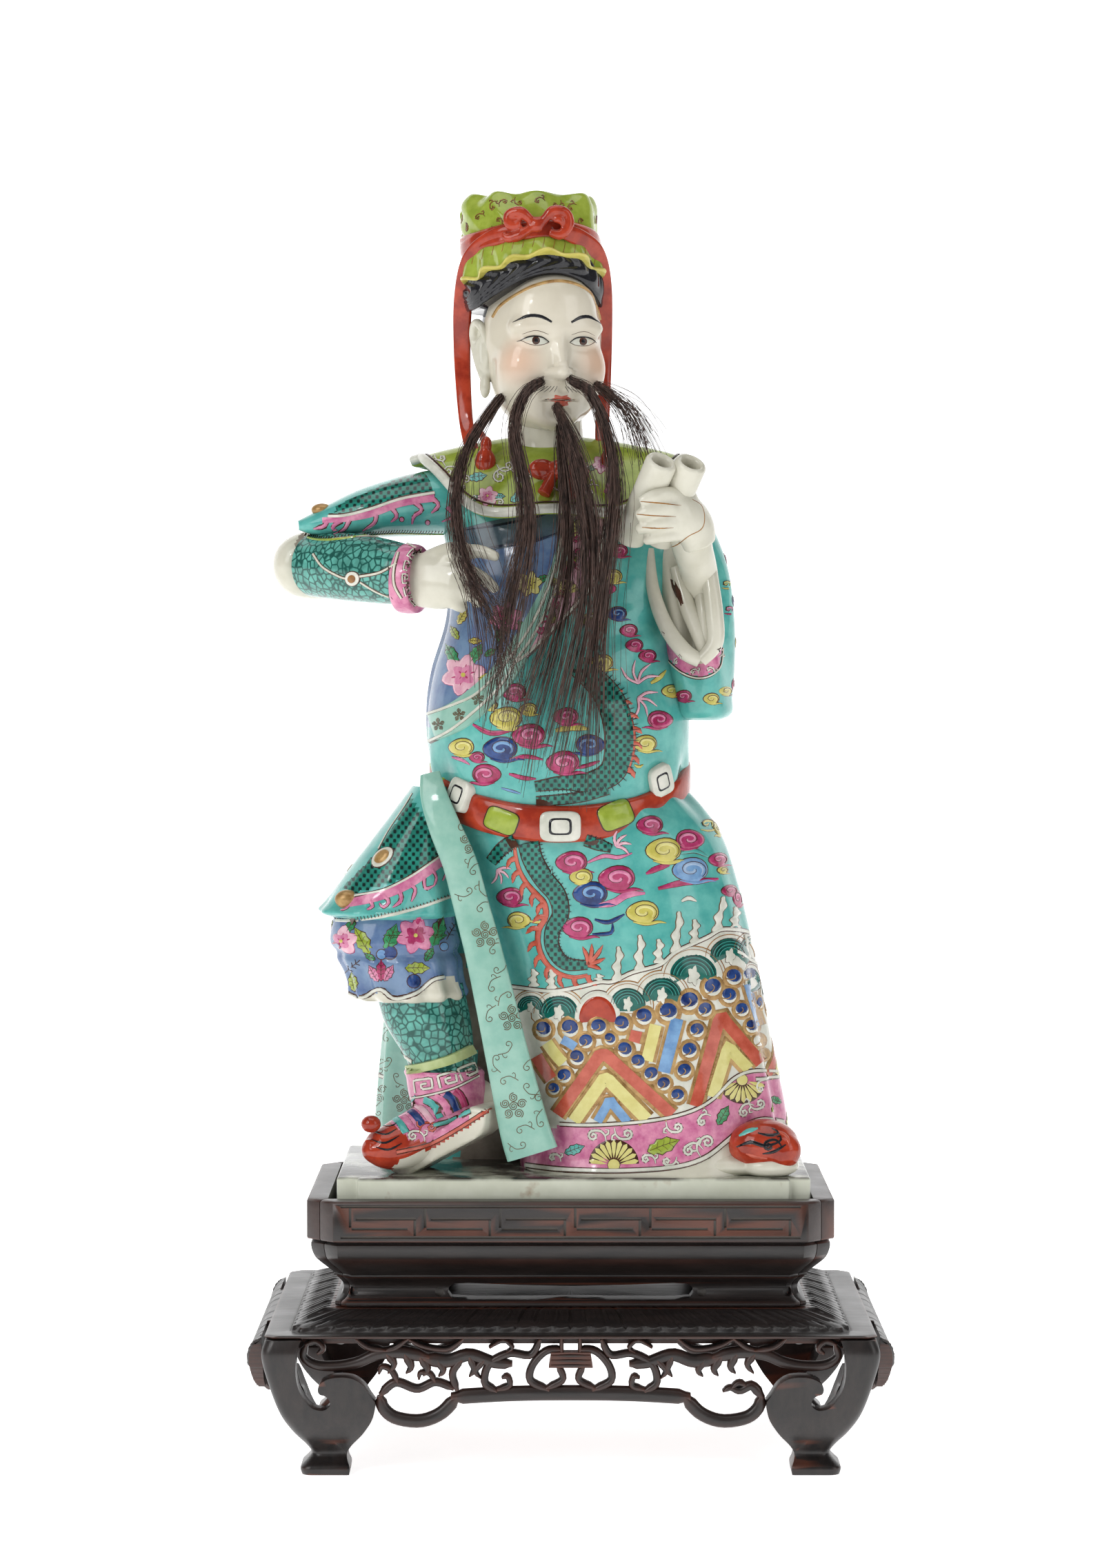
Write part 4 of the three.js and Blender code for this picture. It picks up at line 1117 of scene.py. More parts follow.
def arch(brush, u, v, size):
    """A wave: a white arch over dark green water with fine black lines and a head of foam."""
    at = brush.at(u, v, size)
    over = np.vstack([arc_points(20, 1.32, 1.26, -8, 188), [(-1.1, -0.4), (1.1, -0.4)]])
    brush.edged(at(over), white, 0.16, 0.4, ochre)
    brush.line(at(arc_points(16, 1.16, 1.12, 4, 176)), 0.34, ochre, 0.2)
    water = np.vstack([arc_points(18, 1, 0.96, 0, 180), [(-0.8, -0.3), (0.8, -0.3)]])
    brush.edged(at(water), dark_green, 0.2, 0.22)
    for reach in (0.86, 0.72, 0.58):
        brush.line(at(arc_points(12, reach, reach, 8, 172)), 0.3, black, 0.27)
        brush.line(at(arc_points(12, reach - 0.06, reach - 0.06, 12, 168)), 0.22, turquoise, 0.25)
    foam = ring_points(20, 0.22, 0.36, 5, 0.24, 90, 450)
    brush.edged(brush.at(u, v + brush.down * 0.1 * size, size)(foam), white, 0.3, 0.2)


def foam_finger(brush, u, v, height, lean=0):
    """A crest of foam that rises from the waves in knobbly lobes."""
    share = np.linspace(0, 1, 20)
    half = (1.75 - 0.7 * share) * (1 + 0.32 * np.sin(19 * share)) / brush.unit
    half[-1] = 0.4 * half[-1]
    sway = u + 0.4 / brush.unit * np.sin(11 * share) + height * share * math.sin(math.radians(lean))
    rise = v + brush.down * height * share
    for wide, finish, lift in ((0.44 / brush.unit, thin_brown, 0.12), (0, white, 0.3)):
        rings = []
        for x, y, reach in zip(sway, rise, half + wide):
            spots, normals = brush.touch([(x + reach * k, y) for k in (-1, -0.6, 0.6, 1)])
            if not np.isnan(spots).any():
                rings.append(spots + normals * np.array([-0.15, lift, lift, -0.15])[:, None])
        if len(rings) > 2:
            brush.piece.add(skin(rings), finish)


def spume(brush, u, v, size, turn=0):
    """A gold ring of spray with a cobalt drop and a white lip."""
    at = brush.at(u, v, 1.26 * size)
    brush.patch(at(ring_points(14)), gold, 0.2)
    brush.patch(brush.at(u, v, 0.9 * size)(ring_points(14)), white, 0.24)
    brush.patch(brush.at(u, v + brush.down * 0.16 * size, size, turn)(ring_points(14, 0.8, 0.7)), cobalt, 0.3)
    tongue = [(-0.7, -0.4), (-0.2, -0.34), (0.14, -0.04), (0, 0.3)]
    brush.line(brush.at(u, v, size, turn)(tongue), 0.6, gold, 0.36, (1, 0.7), 0.4)


def stripe(brush, places, thick, finish, sharp=False):
    """A stripe of colour between gold lines."""
    brush.band(places, [thick + (2.4 if sharp else 2.2)], gold, 0.14, 5, 1.2, sharp)
    brush.band(places, [thick], finish, 0.22, 5, 1.2, sharp)


def floret(brush, u, v, size):
    """Five thin brown spirals round a sixth."""
    for turn, reach in ((0, 0), (90, 1), (162, 1), (234, 1), (306, 1), (378, 1)):
        a, reach = math.radians(turn), 0.68 * size * reach
        at = brush.at(u + reach * math.cos(a), v + brush.down * reach * math.sin(a), size)
        brush.line(at(curl_points(2.2, 0.36, 0.06, turn, 26)), 0.4, thin_brown, 0.12, (1, 1), 0.5)


def tendril(brush, u, v, size, turn=0, flip=1):
    """A fine brown crook with a hook on its other side."""
    at = brush.at(u, v, size, turn, flip)
    line = np.vstack([[(1.9, -0.9), (1.55, -0.3), (1.05, 0.3)], curl_points(1.0, 0.55, 0.18, 70, 14)])
    brush.line(at(line), 0.34, thin_brown, 0.12, (1, 1), 0.5)
    brush.line(at([(1.6, -0.4), (1.95, 0), (1.9, 0.4), (1.6, 0.36)]), 0.3, thin_brown, 0.12, (1, 1), 0.5)


def scaly(brush, places, widths):
    """A dragon's body in dark netted scales, with a brown outline and black hackles along one edge."""
    brush.band(places, [w + 0.8 for w in widths], brown_line, 0.12)
    brush.band(places, widths, mail, 0.3)
    line = brush.path(places, 1.5)
    _, side, half = brush.spread(line, widths)
    for place, out, reach in zip(line[1:-1], side[1:-1], half[1:-1]):
        hackle = [place - out * reach * k for k in (0.7, 1.1, 1.34)]
        brush.line(hackle, 0.4, black, 0.36, (1, 0.3), 0.4)


def fins(brush, places, size, gap, side=1):
    """A row of red flames along a dragon's back."""
    line = brush.path(places, gap)
    along, out, _ = brush.spread(line, [1])
    brush.outlined(line, 2.4, coral_red, 0.24, (0.6, 0.6))
    reach = size / brush.unit
    for place, out, along in zip(line, reach * side * out, reach * directions(along)):
        flame = [place, place + 0.6 * out + 0.1 * along, place + out + 0.7 * along]
        brush.outlined(flame, 1.9, coral_red, 0.28, (1.3, 0.15), edge=0.4)


def claws(brush, u, v, size, turn):
    for spread in (-40, 0, 40, 80):
        claw = brush.at(u, v, size, turn + spread)([(0, 0), (0.5, 0.12), (1, -0.05)])
        brush.outlined(claw, 1.2, pale_pink, 0.26, (1, 0.25), edge=0.4)


# Porcelain figure: plinth
# A thick slab with notched front corners, glazed pale celadon on its sides. Brown stains have crept into
# its edge, and the top is left dull and sooty.
def plinth_glaze():
    finish = enamel("plinth_glaze", (0.7, 0.72, 0.6), (0.6, 0.62, 0.5), 45, 0.12)
    where = on_object(finish)
    spots = noise(finish, where, 70, 6)
    overlay(finish, ramp(finish, spots, 0.62, DARK, 0.74, LIGHT), (0.3, 0.16, 0.07))
    height = add_node(finish, "SeparateXYZ", "Z", {"Vector": where})
    soot = combined(finish, span(finish, height, 0.0944, 0.0953), span(finish, spots, 0.3, 0.55))
    overlay(finish, soot, (0.035, 0.03, 0.026))
    return finish


slab = Piece()
left, right, front, back = -77.3, 79.3, -42.6, 42.6
slab_outline = [(left, back), (left, front + 3), (left + 7, front + 3), (left + 7, front)]
slab_outline += [(right - 7, front), (right - 7, front + 3), (right, front + 3), (right, back)]
slab.add(prism(slab_outline, 80, 95.4), plinth_glaze())
ease_edges(slab.make("figure_plinth", ["porcelain_figure"]), 0.9, 3)


# Porcelain figure: robe and belt
# The robe is belted below the belly and falls over one knee to the plinth. Its front edge hangs as a flat band.
def skirt_folds(angle, z):
    low = np.clip((224 - z) / 130, 0, 1)
    folds = 2.2 * ridge(angle, 58, 9) - 2.4 * ridge(angle, 74, 8) + 2.0 * ridge(angle, 92, 12)
    folds += 1.2 * ridge(angle, 18, 11) - 1.5 * ridge(angle, -4, 12)
    folds += 1.6 * np.sin(np.radians(angle) * 9) * (np.abs(angle) > 105)
    gathers = 0.8 * np.sin(np.radians(angle) * 15) * ridge(z, 222, 9)
    hem = 1.6 * ridge(z, 95.5, 3.5) * ridge(angle, 10, 70)
    return folds * low**1.2 + gathers + hem


def back_folds(angle, z):
    low = np.clip((222 - z) / 120, 0, 1)
    return 1.8 * np.sin(np.radians(angle) * 11 + z / 60) * low * (np.abs(angle) > 60)


def body_folds(angle, z):
    creases = 1.0 * ridge(z, 262 + 0.16 * (angle + 20), 3.5) * ridge(angle, 40, 22)
    creases += 0.8 * ridge(z, 283 + 0.2 * (angle - 40), 3) * ridge(angle, 30, 25)
    creases += 0.9 * np.sin(np.radians(angle) * 13) * ridge(z, 228, 7)
    creases += 1.2 * np.sin(np.radians(angle) * 7 + 0.4) * (np.abs(angle) > 100) * ridge(z, 270, 30)
    return creases


skirt_rows = [
    (94.8, 27.6, -2, 44.5, 38, 2.3), (112, 26.6, -2, 45.2, 36.5, 2.3), (140, 23, -2.5, 43.5, 35.5, 2.2),
    (165, 18, -3, 44, 35, 2.2), (190, 11, -3, 45.5, 35, 2.2), (210, 4, -3, 45.5, 35.5, 2.2),
    (224, -3.5, -2, 41, 34, 2.1),
]
back_rows = [
    (94.8, 3, 22, 70, 17, 3), (130, 1, 21, 66, 18, 2.6), (170, -3, 17, 58, 20, 2.4),
    (205, -5, 12, 48, 21, 2.2), (222, -5, 8, 40, 20, 2),
]
trunk_rows = [
    (208, -3.5, -3, 40, 34, 2), (220, -3.5, -4, 41, 36, 2), (233, -4, -5, 43.5, 39, 2),
    (248, -4, -5.5, 44, 39.5, 2), (262, -4, -3.5, 42, 36, 2), (280, -2, 0, 39, 31, 2.2),
    (300, 0, 2, 41, 26, 2.4), (315, -1, 3, 43, 23, 2.4), (325, -3, 3, 33, 17, 2.2), (331, -6, 3, 18, 13, 2),
    (336, -8, 2, 10, 9, 2),
]
skirt = skin(rings_at(skirt_rows, 110, 190, skirt_folds))
back_panel = skin(rings_at(back_rows, 64, 130, back_folds))
trunk = skin(rings_at(trunk_rows, 90, 150, body_folds))
edge_places = [
    (-46.6, -27.6, 228.5, 3.4), (-45.2, -31, 221, 4.6), (-41.6, -33.4, 211, 5.4), (-36.6, -34.6, 199, 5.8),
    (-32.8, -35, 185, 6), (-28.8, -36, 170, 6.3), (-24.6, -36.8, 152, 6.8), (-20.6, -37.2, 134, 7.4),
    (-15.4, -37.7, 112, 8.4), (-12.6, -37.8, 103, 8.8),
]
edge_band = tube(edge_places, 90, 40, 0.26, (0.15, 1, 0), 2.8)


def belt_part():
    rings = []
    turn = full_turn(160, -np.pi)
    for lift, a, b in smooth_rows([
        (-3, 40.5, 34.5), (-1.8, 43.6, 38.4), (3.5, 44.2, 39.1), (8.6, 43.8, 38.5), (9.6, 41, 35),
    ], 18):
        y = -3 + b * np.sin(turn)
        front = (1 - (y + 3) / b) / 2
        rings.append(np.stack([-3.5 + a * np.cos(turn), y, 231 + lift - 22 * front**1.4], 1))
    return skin(rings)


belt = belt_part()


# Porcelain figure: painting of the robe
# Raised enamels on turquoise: curled clouds and a dragon above, then waves, peaks and a flowered hem.
# The grounds are dipped first, and the borders are carried round the sides and back, where they are plainer.
# A sheet's numbers are its left and upper edge on the picture, and how many of its units are one pixel.
SKIRT_SHEET, TORSO_SHEET = (700, 1190, 2.958), (600, 640, 2.708)
LEG_SHEET, WHOLE_PICTURE = (460, 1120, 2.613), (0, 0, 1)
foam_line = [
    (120, 712), (170, 718), (300, 732), (420, 712), (500, 692), (560, 690), (640, 652), (760, 618),
    (830, 562), (960, 502), (1020, 468), (1090, 468), (1150, 482), (1230, 520),
]
hem_line = [
    (330, 1302), (470, 1306), (700, 1290), (870, 1255), (980, 1200), (1070, 1112), (1150, 1075), (1260, 1075),
]
hem_foot = [
    (185, 1478), (350, 1497), (600, 1502), (820, 1487), (950, 1447), (1050, 1372), (1120, 1312), (1200, 1282),
    (1290, 1292),
]
skirt_areas = [
    (foam_line + [(1400, 560), (1400, 1700), (100, 1700)], white),
    (hem_line + [(1400, 1080), (1400, 1700), (100, 1700), (100, 1480)], pink),
    (hem_foot + [(1400, 1300), (1400, 1900), (100, 1900)], cream),
]
torso_areas = [([
    (90, 450), (205, 380), (590, 330), (604, 290), (545, 540), (480, 700), (385, 850), (262, 1010),
    (40, 1130), (-60, 1100), (60, 860), (90, 640),
], blue_grey)]
back_areas = [
    ([(490, 1420), (640, 1560), (640, 1640), (490, 1640)], pale_turquoise),
    # painted shade in the gap between the leg and the skirt
    ([(628, 1365), (674, 1388), (780, 1720), (640, 1720), (705, 1598), (690, 1541), (674, 1464)], hollow_shade_brown),
]


def borders_at(turn):
    """Heights of the foam line, hem line and hem foot, by degrees round from the front."""
    share = np.clip((np.abs(turn) - 60) / 60, 0, 1)
    return 171 - 20 * share, 127 - 5 * share, 110 - 9 * share


def carried_round(part, colours):
    """Colours the borders on the faces that the front painting leaves plain."""
    points, faces = part
    for n, face in enumerate(faces):
        x, y, z = points[list(face)].mean(0)
        turn = math.degrees(math.atan2(x + 3.5, -(y - 3)))
        foam, hem, foot = borders_at(turn)
        if colours[n] is turquoise and z < foam and (turn > 64 or turn < -110 or y > 12):
            colours[n] = cream if z < foot else pink if z < hem else white
    return colours


robe = Piece()
robe.add(skirt, carried_round(skirt, dipped(skirt, turquoise, skirt_areas, SKIRT_SHEET)))
robe.add(back_panel, carried_round(back_panel, dipped(back_panel, turquoise, back_areas, WHOLE_PICTURE)))
robe.add(trunk, dipped(trunk, turquoise, torso_areas, TORSO_SHEET))
robe.add(edge_band, pale_turquoise)
robe.add(belt, iron_red)
robe.make("figure_robe", ["porcelain_figure"], 50)

# the skirt's dragon among clouds
robe_painting = Piece()
on_skirt = sheet(robe_painting, [skirt, belt], SKIRT_SHEET)
skirt_clouds = [
    (385, 177, 60, magenta, 1), (720, 18, 50, magenta, 1), (885, 80, 54, magenta, -1),
    (780, 126, 68, yellow, 1), (425, 240, 44, yellow, 1), (580, 246, 70, magenta, 1),
    (466, 312, 66, cobalt, 1), (895, 210, 68, sky_blue, 1), (690, 392, 62, yellow, 1),
    (412, 458, 58, magenta, 1), (120, 326, 50, magenta, 1), (152, 426, 44, yellow, -1),
    (1012, 166, 36, magenta, 1), (1030, 212, 20, yellow, 1), (960, 14, 36, yellow, 1),
    (1095, 130, 40, magenta, 1), (1060, 300, 30, magenta, 1),
]
clouds(on_skirt, skirt_clouds, 1.04)
skirt_wisps = [
    ([(450, 180), (520, 152), (580, 158), (640, 140)], 1.7, pink),
    ([(800, 190), (750, 205), (700, 228)], 2.4, magenta),
    ([(480, 366), (560, 352), (620, 318), (696, 312)], 3.0, pink),
    ([(752, 292), (850, 268), (940, 258), (1010, 250)], 2.6, magenta),
    ([(850, 140), (910, 130), (966, 156)], 1.8, turquoise),
    ([(480, 424), (540, 436), (608, 402)], 1.6, cobalt),
    ([(470, 488), (550, 482), (556, 440)], 1.4, cobalt),
    ([(196, 430), (236, 436), (262, 430)], 1.2, yellow),
    ([(852, 346), (884, 332), (916, 346)], 1.8, white),
    ([(300, 196), (290, 260), (300, 300)], 0.6, turquoise),
]
wisps(on_skirt, skirt_wisps)
scaly(on_skirt, [
    (196, 96), (216, 170), (262, 250), (318, 320), (334, 400), (300, 470), (300, 545), (352, 612), (450, 620),
], [7, 6.6, 6.4, 6, 5.4, 4.8, 4.4, 4, 2.6])
fins(on_skirt, [
    (136, 104), (152, 200), (200, 286), (262, 352), (268, 420), (240, 470), (244, 560), (300, 640),
    (380, 672), (450, 664),
], 3.8, 4.6, 1)
for tip in ((428, 540), (468, 528), (516, 534), (526, 590), (508, 640)):
    on_skirt.outlined([(452, 618), (
        (452 + tip[0]) / 2 + 6, (618 + tip[1]) / 2,
    ), tip], 1.6, coral_red, 0.3, (1.2, 0.1))
scaly(on_skirt, [(140, 84), (84, 120), (36, 176)], [4.5, 4.2, 3.6])
claws(on_skirt, 62, 214, 60, -70)
scaly(on_skirt, [(440, 84), (500, 104), (552, 120)], [3.6, 3.8, 2.4])
claws(on_skirt, 572, 110, 66, 10)

# the sea, the sun and the mountains
on_skirt.rimmed(foam_line, (2.3, 0.14), (1.5, 0.3))
for u, v, height, lean in (
    (216, 712, 76, 4), (292, 722, 84, 4), (572, 688, 148, 6), (668, 648, 158, 4), (752, 612, 104, 4),
    (822, 566, 176, 8), (906, 524, 100, 4), (1000, 476, 150, 14), (1078, 466, 96, 6), (500, 694, 36, 0),
):
    foam_finger(on_skirt, u, v, height, lean)
for u, v, size in (
    (1166, 560, 78), (206, 806, 62), (326, 834, 92), (1060, 592, 92), (903, 676, 110), (768, 760, 94),
    (622, 796, 86),
):
    arch(on_skirt, u, v, size)
sun = np.vstack([ring_points(22, 1, 1.2, 0, 0, 0, 180), [(-0.9, -0.2), (0.9, -0.2)]])
on_skirt.edged(on_skirt.at(493, 852, 104)(sun), white, 0.24)
on_skirt.edged(on_skirt.at(493, 852, 84)(sun), iron_red, 0.32)
for left, apex, right, thick, finish in (
    ((322, 1262), (513, 990), (812, 1262), 4.2, coral_red),
    ((392, 1290), (526, 1100), (704, 1282), 4.4, pale_yellow),
    ((492, 1292), (545, 1200), (622, 1294), 3.2, sky_blue),
    ((912, 1225), (1018, 836), (1192, 1040), 4.2, coral_red),
    ((985, 1186), (1052, 972), (1140, 1066), 4.0, pale_yellow),
):
    stripe(on_skirt, [left, apex, right], thick, finish, True)
for places, thick, finish in (
    ([(232, 1010), (262, 1060), (296, 1108)], 4.2, coral_red),
    ([(276, 952), (310, 1000), (346, 1040)], 4.0, pale_yellow),
    ([(342, 938), (368, 952), (398, 972)], 3.2, sky_blue),
    ([(660, 902), (655, 926), (648, 950)], 4.0, coral_red),
    ([(742, 876), (724, 950), (704, 1030)], 4.2, pale_yellow),
    ([(834, 850), (806, 960), (776, 1080)], 4.4, sky_blue),
    ([(1134, 702), (1160, 790), (1188, 880)], 2.6, sky_blue),
):
    stripe(on_skirt, places, thick, finish)
for u, v, size in (
    (262, 897, 40), (375, 892, 44), (497, 886, 40), (596, 872, 40), (692, 842, 42), (796, 822, 46),
    (885, 776, 46), (985, 716, 44), (1076, 672, 40), (1144, 662, 34), (442, 948, 36), (405, 1018, 38),
    (350, 1096, 36), (306, 1152, 30), (546, 938, 30), (610, 984, 38), (666, 1034, 36), (722, 1088, 36),
    (776, 1130, 34), (836, 1180, 34), (952, 812, 36), (918, 900, 36), (886, 986, 38), (864, 1074, 36),
    (1056, 752, 38), (1110, 812, 34), (1154, 884, 32), (1184, 944, 28), (1206, 1004, 24),
):
    spume(on_skirt, u, v, 1.06 * size, (u * 7 + v) % 70 - 35)

# the hem and the hanging front edge
on_skirt.rimmed(hem_line, (2.0, 0.24), (1.3, 0.5))
on_skirt.rimmed(hem_foot, (2.3, 0.3), (1.7, 0.6))
chrysanthemum(on_skirt, 562, 1478, 112, 2, 178, 11)
chrysanthemum(on_skirt, 1112, 1112, 104, 196, 352, 9)
leaves(on_skirt, [
    (392, 1412, 44, turquoise, 20), (772, 1396, 72, yellow_green, 20), (1030, 1266, 46, leaf_green, 60),
])
for u, v, size, turn, flip in (
    (474, 1352, 40, 0, 1), (620, 1344, 40, 180, 1), (700, 1452, 30, 0, 1), (836, 1316, 36, 180, 1),
    (884, 1416, 40, 30, 1), (964, 1378, 46, 40, -1), (940, 1292, 30, 60, 1), (1120, 1252, 34, 60, 1),
    (1190, 1214, 34, 200, 1), (300, 1446, 26, 0, 1), (790, 1462, 30, 180, -1), (1190, 1150, 26, 90, 1),
):
    scroll(on_skirt, u, v, 0.92 * size, white, turn, flip, 1.15)

on_band = sheet(robe_painting, [edge_band], SKIRT_SHEET)
for u, v in ((126, 848), (132, 1226), (10, 490), (-40, 90)):
    floret(on_band, u, v, 56)
for u, v, turn, flip in (
    (44, 560, 60, 1), (60, 640, 200, -1), (40, 720, 80, 1), (110, 750, 20, -1), (30, 850, 90, 1),
    (110, 960, 250, 1), (60, 1020, 80, -1), (190, 1060, 60, 1), (90, 1120, 30, 1), (190, 1140, 120, -1),
    (240, 1190, 70, 1), (160, 1330, 30, 1), (250, 1300, 110, 1), (170, 1390, 200, 1), (-10, 380, 50, 1),
    (20, 310, 150, 1), (-40, 220, 60, 1), (-90, 30, 60, 1), (-60, -60, 90, 1), (-100, -150, 40, -1),
    (-60, 300, 220, 1), (-20, 160, 20, -1),
):
    tendril(on_band, u, v, 30, turn, flip)
on_back_panel = sheet(robe_painting, [back_panel], LEG_SHEET)
for u, v in ((218, 1210), (330, 1245)):
    floret(on_back_panel, u, v, 44)
for u, v, turn, flip in (
    (262, 1010, 90, 1), (270, 1090, 250, 1), (300, 1150, 100, -1), (240, 1130, 80, 1), (330, 1060, 90, 1),
    (232, 1290, 100, 1),
):
    tendril(on_back_panel, u, v, 22, turn, flip)

# the sides and back: foam, waves and mountains, then scattered clouds above
round_robe = Brush(robe_painting, [skirt, back_panel, trunk, belt], round_rays(-3.5, 3, 45))
MM_A_DEGREE = 45 * math.pi / 180
round_turns = np.linspace(66, 258, 48)
for border, width in zip(range(3), (1.5, 1.3, 1.7)):
    places = [(turn * MM_A_DEGREE, borders_at(turn)[border]) for turn in round_turns]
    round_robe.rimmed(places, (width + 0.8, 0.16), (width, 0.4))
for n in range(13):
    turn = 76 + 13.8 * n
    foam, hem, foot = borders_at(turn)
    u = turn * MM_A_DEGREE
    foam_finger(round_robe, u, foam, 8 + 5 * (n % 2), 4 - 8 * (n % 2))
    arch(round_robe, u, foam - 9, 6.2)
    for side in (-1, 1):
        spume(round_robe, u + 2.7 * side, foam - 14.4 - 0.9 * side, 2.3, 30 * side)
    if n % 2 == 0:
        leaf(round_robe, u - 2.4, 0.5 * (hem + foot), 3, yellow_green, 30)
        leaf(round_robe, u + 2.6, 0.5 * (hem + foot) + 1, 2.4, leaf_green, 150)
    else:
        chrysanthemum(round_robe, u, foot + 1.6, 6, 0, 180, 9)
        for apex, thick, finish in ((16, 2.6, coral_red), (9.5, 2.6, pale_yellow), (4, 1.8, sky_blue)):
            left, right = (u - 0.62 * apex, hem + 1.4), (u + 0.62 * apex, hem + 1.4)
            stripe(round_robe, [left, (u, hem + 1.4 + 0.7 * apex), right], thick, finish, True)
for n in range(22):
    turn = 76 + 16.4 * (n % 11)
    row = n // 11
    height = 186 + 19 * row + 5 * math.sin(2.4 * n)
    cloud(
        round_robe, turn * MM_A_DEGREE, height, 3.7, (magenta, yellow, cobalt, magenta, sky_blue)[n % 5],
        1 - 2 * (n % 2),
    )
for n in range(21):
    turn = 104 + 21 * (n % 7)
    height = 250 + 19 * (n // 7) + 4 * math.sin(1.9 * n)
    cloud(
        round_robe, turn * MM_A_DEGREE, height, 3.5,
        (magenta, yellow, cobalt, yellow, magenta, sky_blue)[n % 6], 1 - 2 * (n % 2),
    )
robe_painting.make("figure_robe_painting", ["porcelain_figure"], 60)

# the torso: a blue-grey inner panel, two lapel borders, the belly's clouds and the dragon
torso_painting = Piece()
on_torso = sheet(torso_painting, [trunk, belt], TORSO_SHEET)
inner_edge = [(604, 280), (572, 430), (540, 545), (476, 700), (384, 848), (262, 985), (150, 1040), (30, 1080)]
outer_edge = [(640, 250), (600, 400), (566, 560), (484, 742), (402, 868), (330, 980), (170, 1120), (56, 1182)]
lapel_edge = [(760, 250), (736, 420), (700, 560), (636, 644), (540, 746), (450, 836), (400, 872)]


def raise_clay(part, height):
    """The same surface, swollen by a little, for painting on raised folds."""
    points, faces = part
    middle = points.mean(0) * (1, 1, 0)
    away = (points - middle) * (1, 1, 0)
    return points + height * away / (np.linalg.norm(away, axis=1)[:, None] + 1e-9), faces


# painted shadow under the cape's rim: a dark slate band, with two night-blue lines in its folds
on_torso.band([(170, 400), (300, 372), (430, 346), (596, 312)], [9, 10, 10, 8], slate_shadow_and_hair, 0.5, 11)
for places in (
    [(190, 350), (330, 330), (480, 300), (590, 262)], [(190, 440), (330, 414), (470, 392), (588, 352)],
):
    on_torso.line(places, 1.3, night_blue_shadow, 0.7, (0.2, 0.2))
fold_middle = [
    (622, 280), (590, 410), (554, 540), (500, 660), (436, 780), (366, 896), (290, 985), (170, 1080),
    (30, 1136),
]
on_torso.band(fold_middle, [3, 4.5, 5.5, 6.5, 7, 8.5, 9.5, 10, 10], pale_turquoise, 0.7, 9)
lapel_middle = [(700, 250), (670, 400), (634, 540), (568, 650), (490, 764), (426, 846)]
on_torso.band(lapel_middle, [9.5, 10, 8.5, 7.5, 6, 3], pale_pink, 0.6, 9)
for places, width in ((inner_edge, 1.2), (outer_edge, 1.3), (lapel_edge, 1.3)):
    on_torso.rimmed(places, (width + 0.7, 0.7), (width, 1.1))
fold_clay = [raise_clay(trunk, 0.7)]
on_fold = sheet(torso_painting, fold_clay, TORSO_SHEET)
for u, v in ((96, 1112), (178, 1074), (252, 1012)):
    floret(on_fold, u, v, 24)
for u, v, turn, flip in (
    (600, 520, 40, 1), (650, 440, 60, -1), (560, 640, 50, 1), (640, 380, 20, 1), (500, 740, 50, 1),
    (690, 330, 90, 1),
):
    scroll(on_fold, u, v, 30, magenta, turn, flip, 1.0)
chrysanthemum(on_fold, 596, 600, 56, 10, 190, 8)
chrysanthemum(on_fold, 664, 350, 50, 40, 220, 8)
leaves(on_fold, [
    (u, v, 30, yellow_green, turn)
    for u, v, turn in ((620, 470, 30), (540, 700, 60), (690, 270, 80), (560, 560, 120))
])
peony(on_torso, 196, 918, 78, pink, ((60, leaf_green), (120, leaf_green), (350, yellow)))
peony(on_torso, 362, 692, 58, magenta, ((250, leaf_green), (330, leaf_green)))
peony(on_torso, 452, 560, 48, yellow, ((200, leaf_green), (20, leaf_green)))
leaves(on_torso, [
    (190, 690, 34, yellow, 60), (240, 784, 26, yellow, 0), (160, 752, 30, yellow_green, 120),
    (300, 830, 26, leaf_green, 30),
])
belly_clouds = [
    (396, 984, 42, magenta, 1), (366, 1086, 56, yellow, 1), (452, 1052, 30, yellow, 1),
    (600, 1080, 44, magenta, 1), (456, 1154, 58, magenta, 1), (344, 1206, 60, cobalt, 1),
    (190, 1200, 44, yellow, 1), (690, 1190, 50, cobalt, -1), (590, 1260, 58, magenta, 1),
    (282, 1306, 50, magenta, -1), (964, 1092, 44, magenta, -1), (910, 1186, 42, yellow, 1),
    (300, 1036, 26, yellow, 1), (920, 842, 30, magenta, 1), (868, 800, 30, magenta, 1),
    (782, 530, 34, yellow, 1), (806, 430, 32, magenta, 1), (762, 578, 26, magenta, -1),
    (740, 868, 40, yellow, 1), (800, 676, 34, cobalt, 1), (846, 742, 30, magenta, 1),
    (700, 700, 36, yellow_green, 1), (250, 1240, 26, magenta, 1), (1010, 980, 30, yellow, 1),
]
clouds(on_torso, belly_clouds, 1.04)
belly_wisps = [
    ([(232, 1112), (300, 1146), (380, 1138)], 2.0, magenta),
    ([(380, 1250), (440, 1238), (506, 1250)], 1.8, magenta),
    ([(556, 1136), (620, 1124), (686, 1130)], 2.6, yellow),
    ([(640, 1284), (690, 1270), (730, 1256)], 1.6, magenta),
    ([(374, 1306), (430, 1322), (480, 1326)], 1.8, magenta),
    ([(930, 950), (970, 924), (990, 900)], 2.0, yellow),
    ([(344, 1362), (380, 1372), (420, 1384)], 1.2, sky_blue),
    ([(150, 1240), (190, 1252), (220, 1270)], 1.4, pink),
    ([(1010, 870), (1030, 900), (1046, 930)], 1.2, magenta),
    ([(866, 1270), (884, 1280), (900, 1270)], 1.2, yellow),
]
wisps(on_torso, belly_wisps)
scaly(on_torso, [
    (640, 880), (700, 930), (762, 1000), (800, 1100), (806, 1210), (776, 1300), (690, 1338), (590, 1340),
    (476, 1356),
], [7, 8, 9.5, 10, 9.5, 8.4, 6, 4.4, 3])
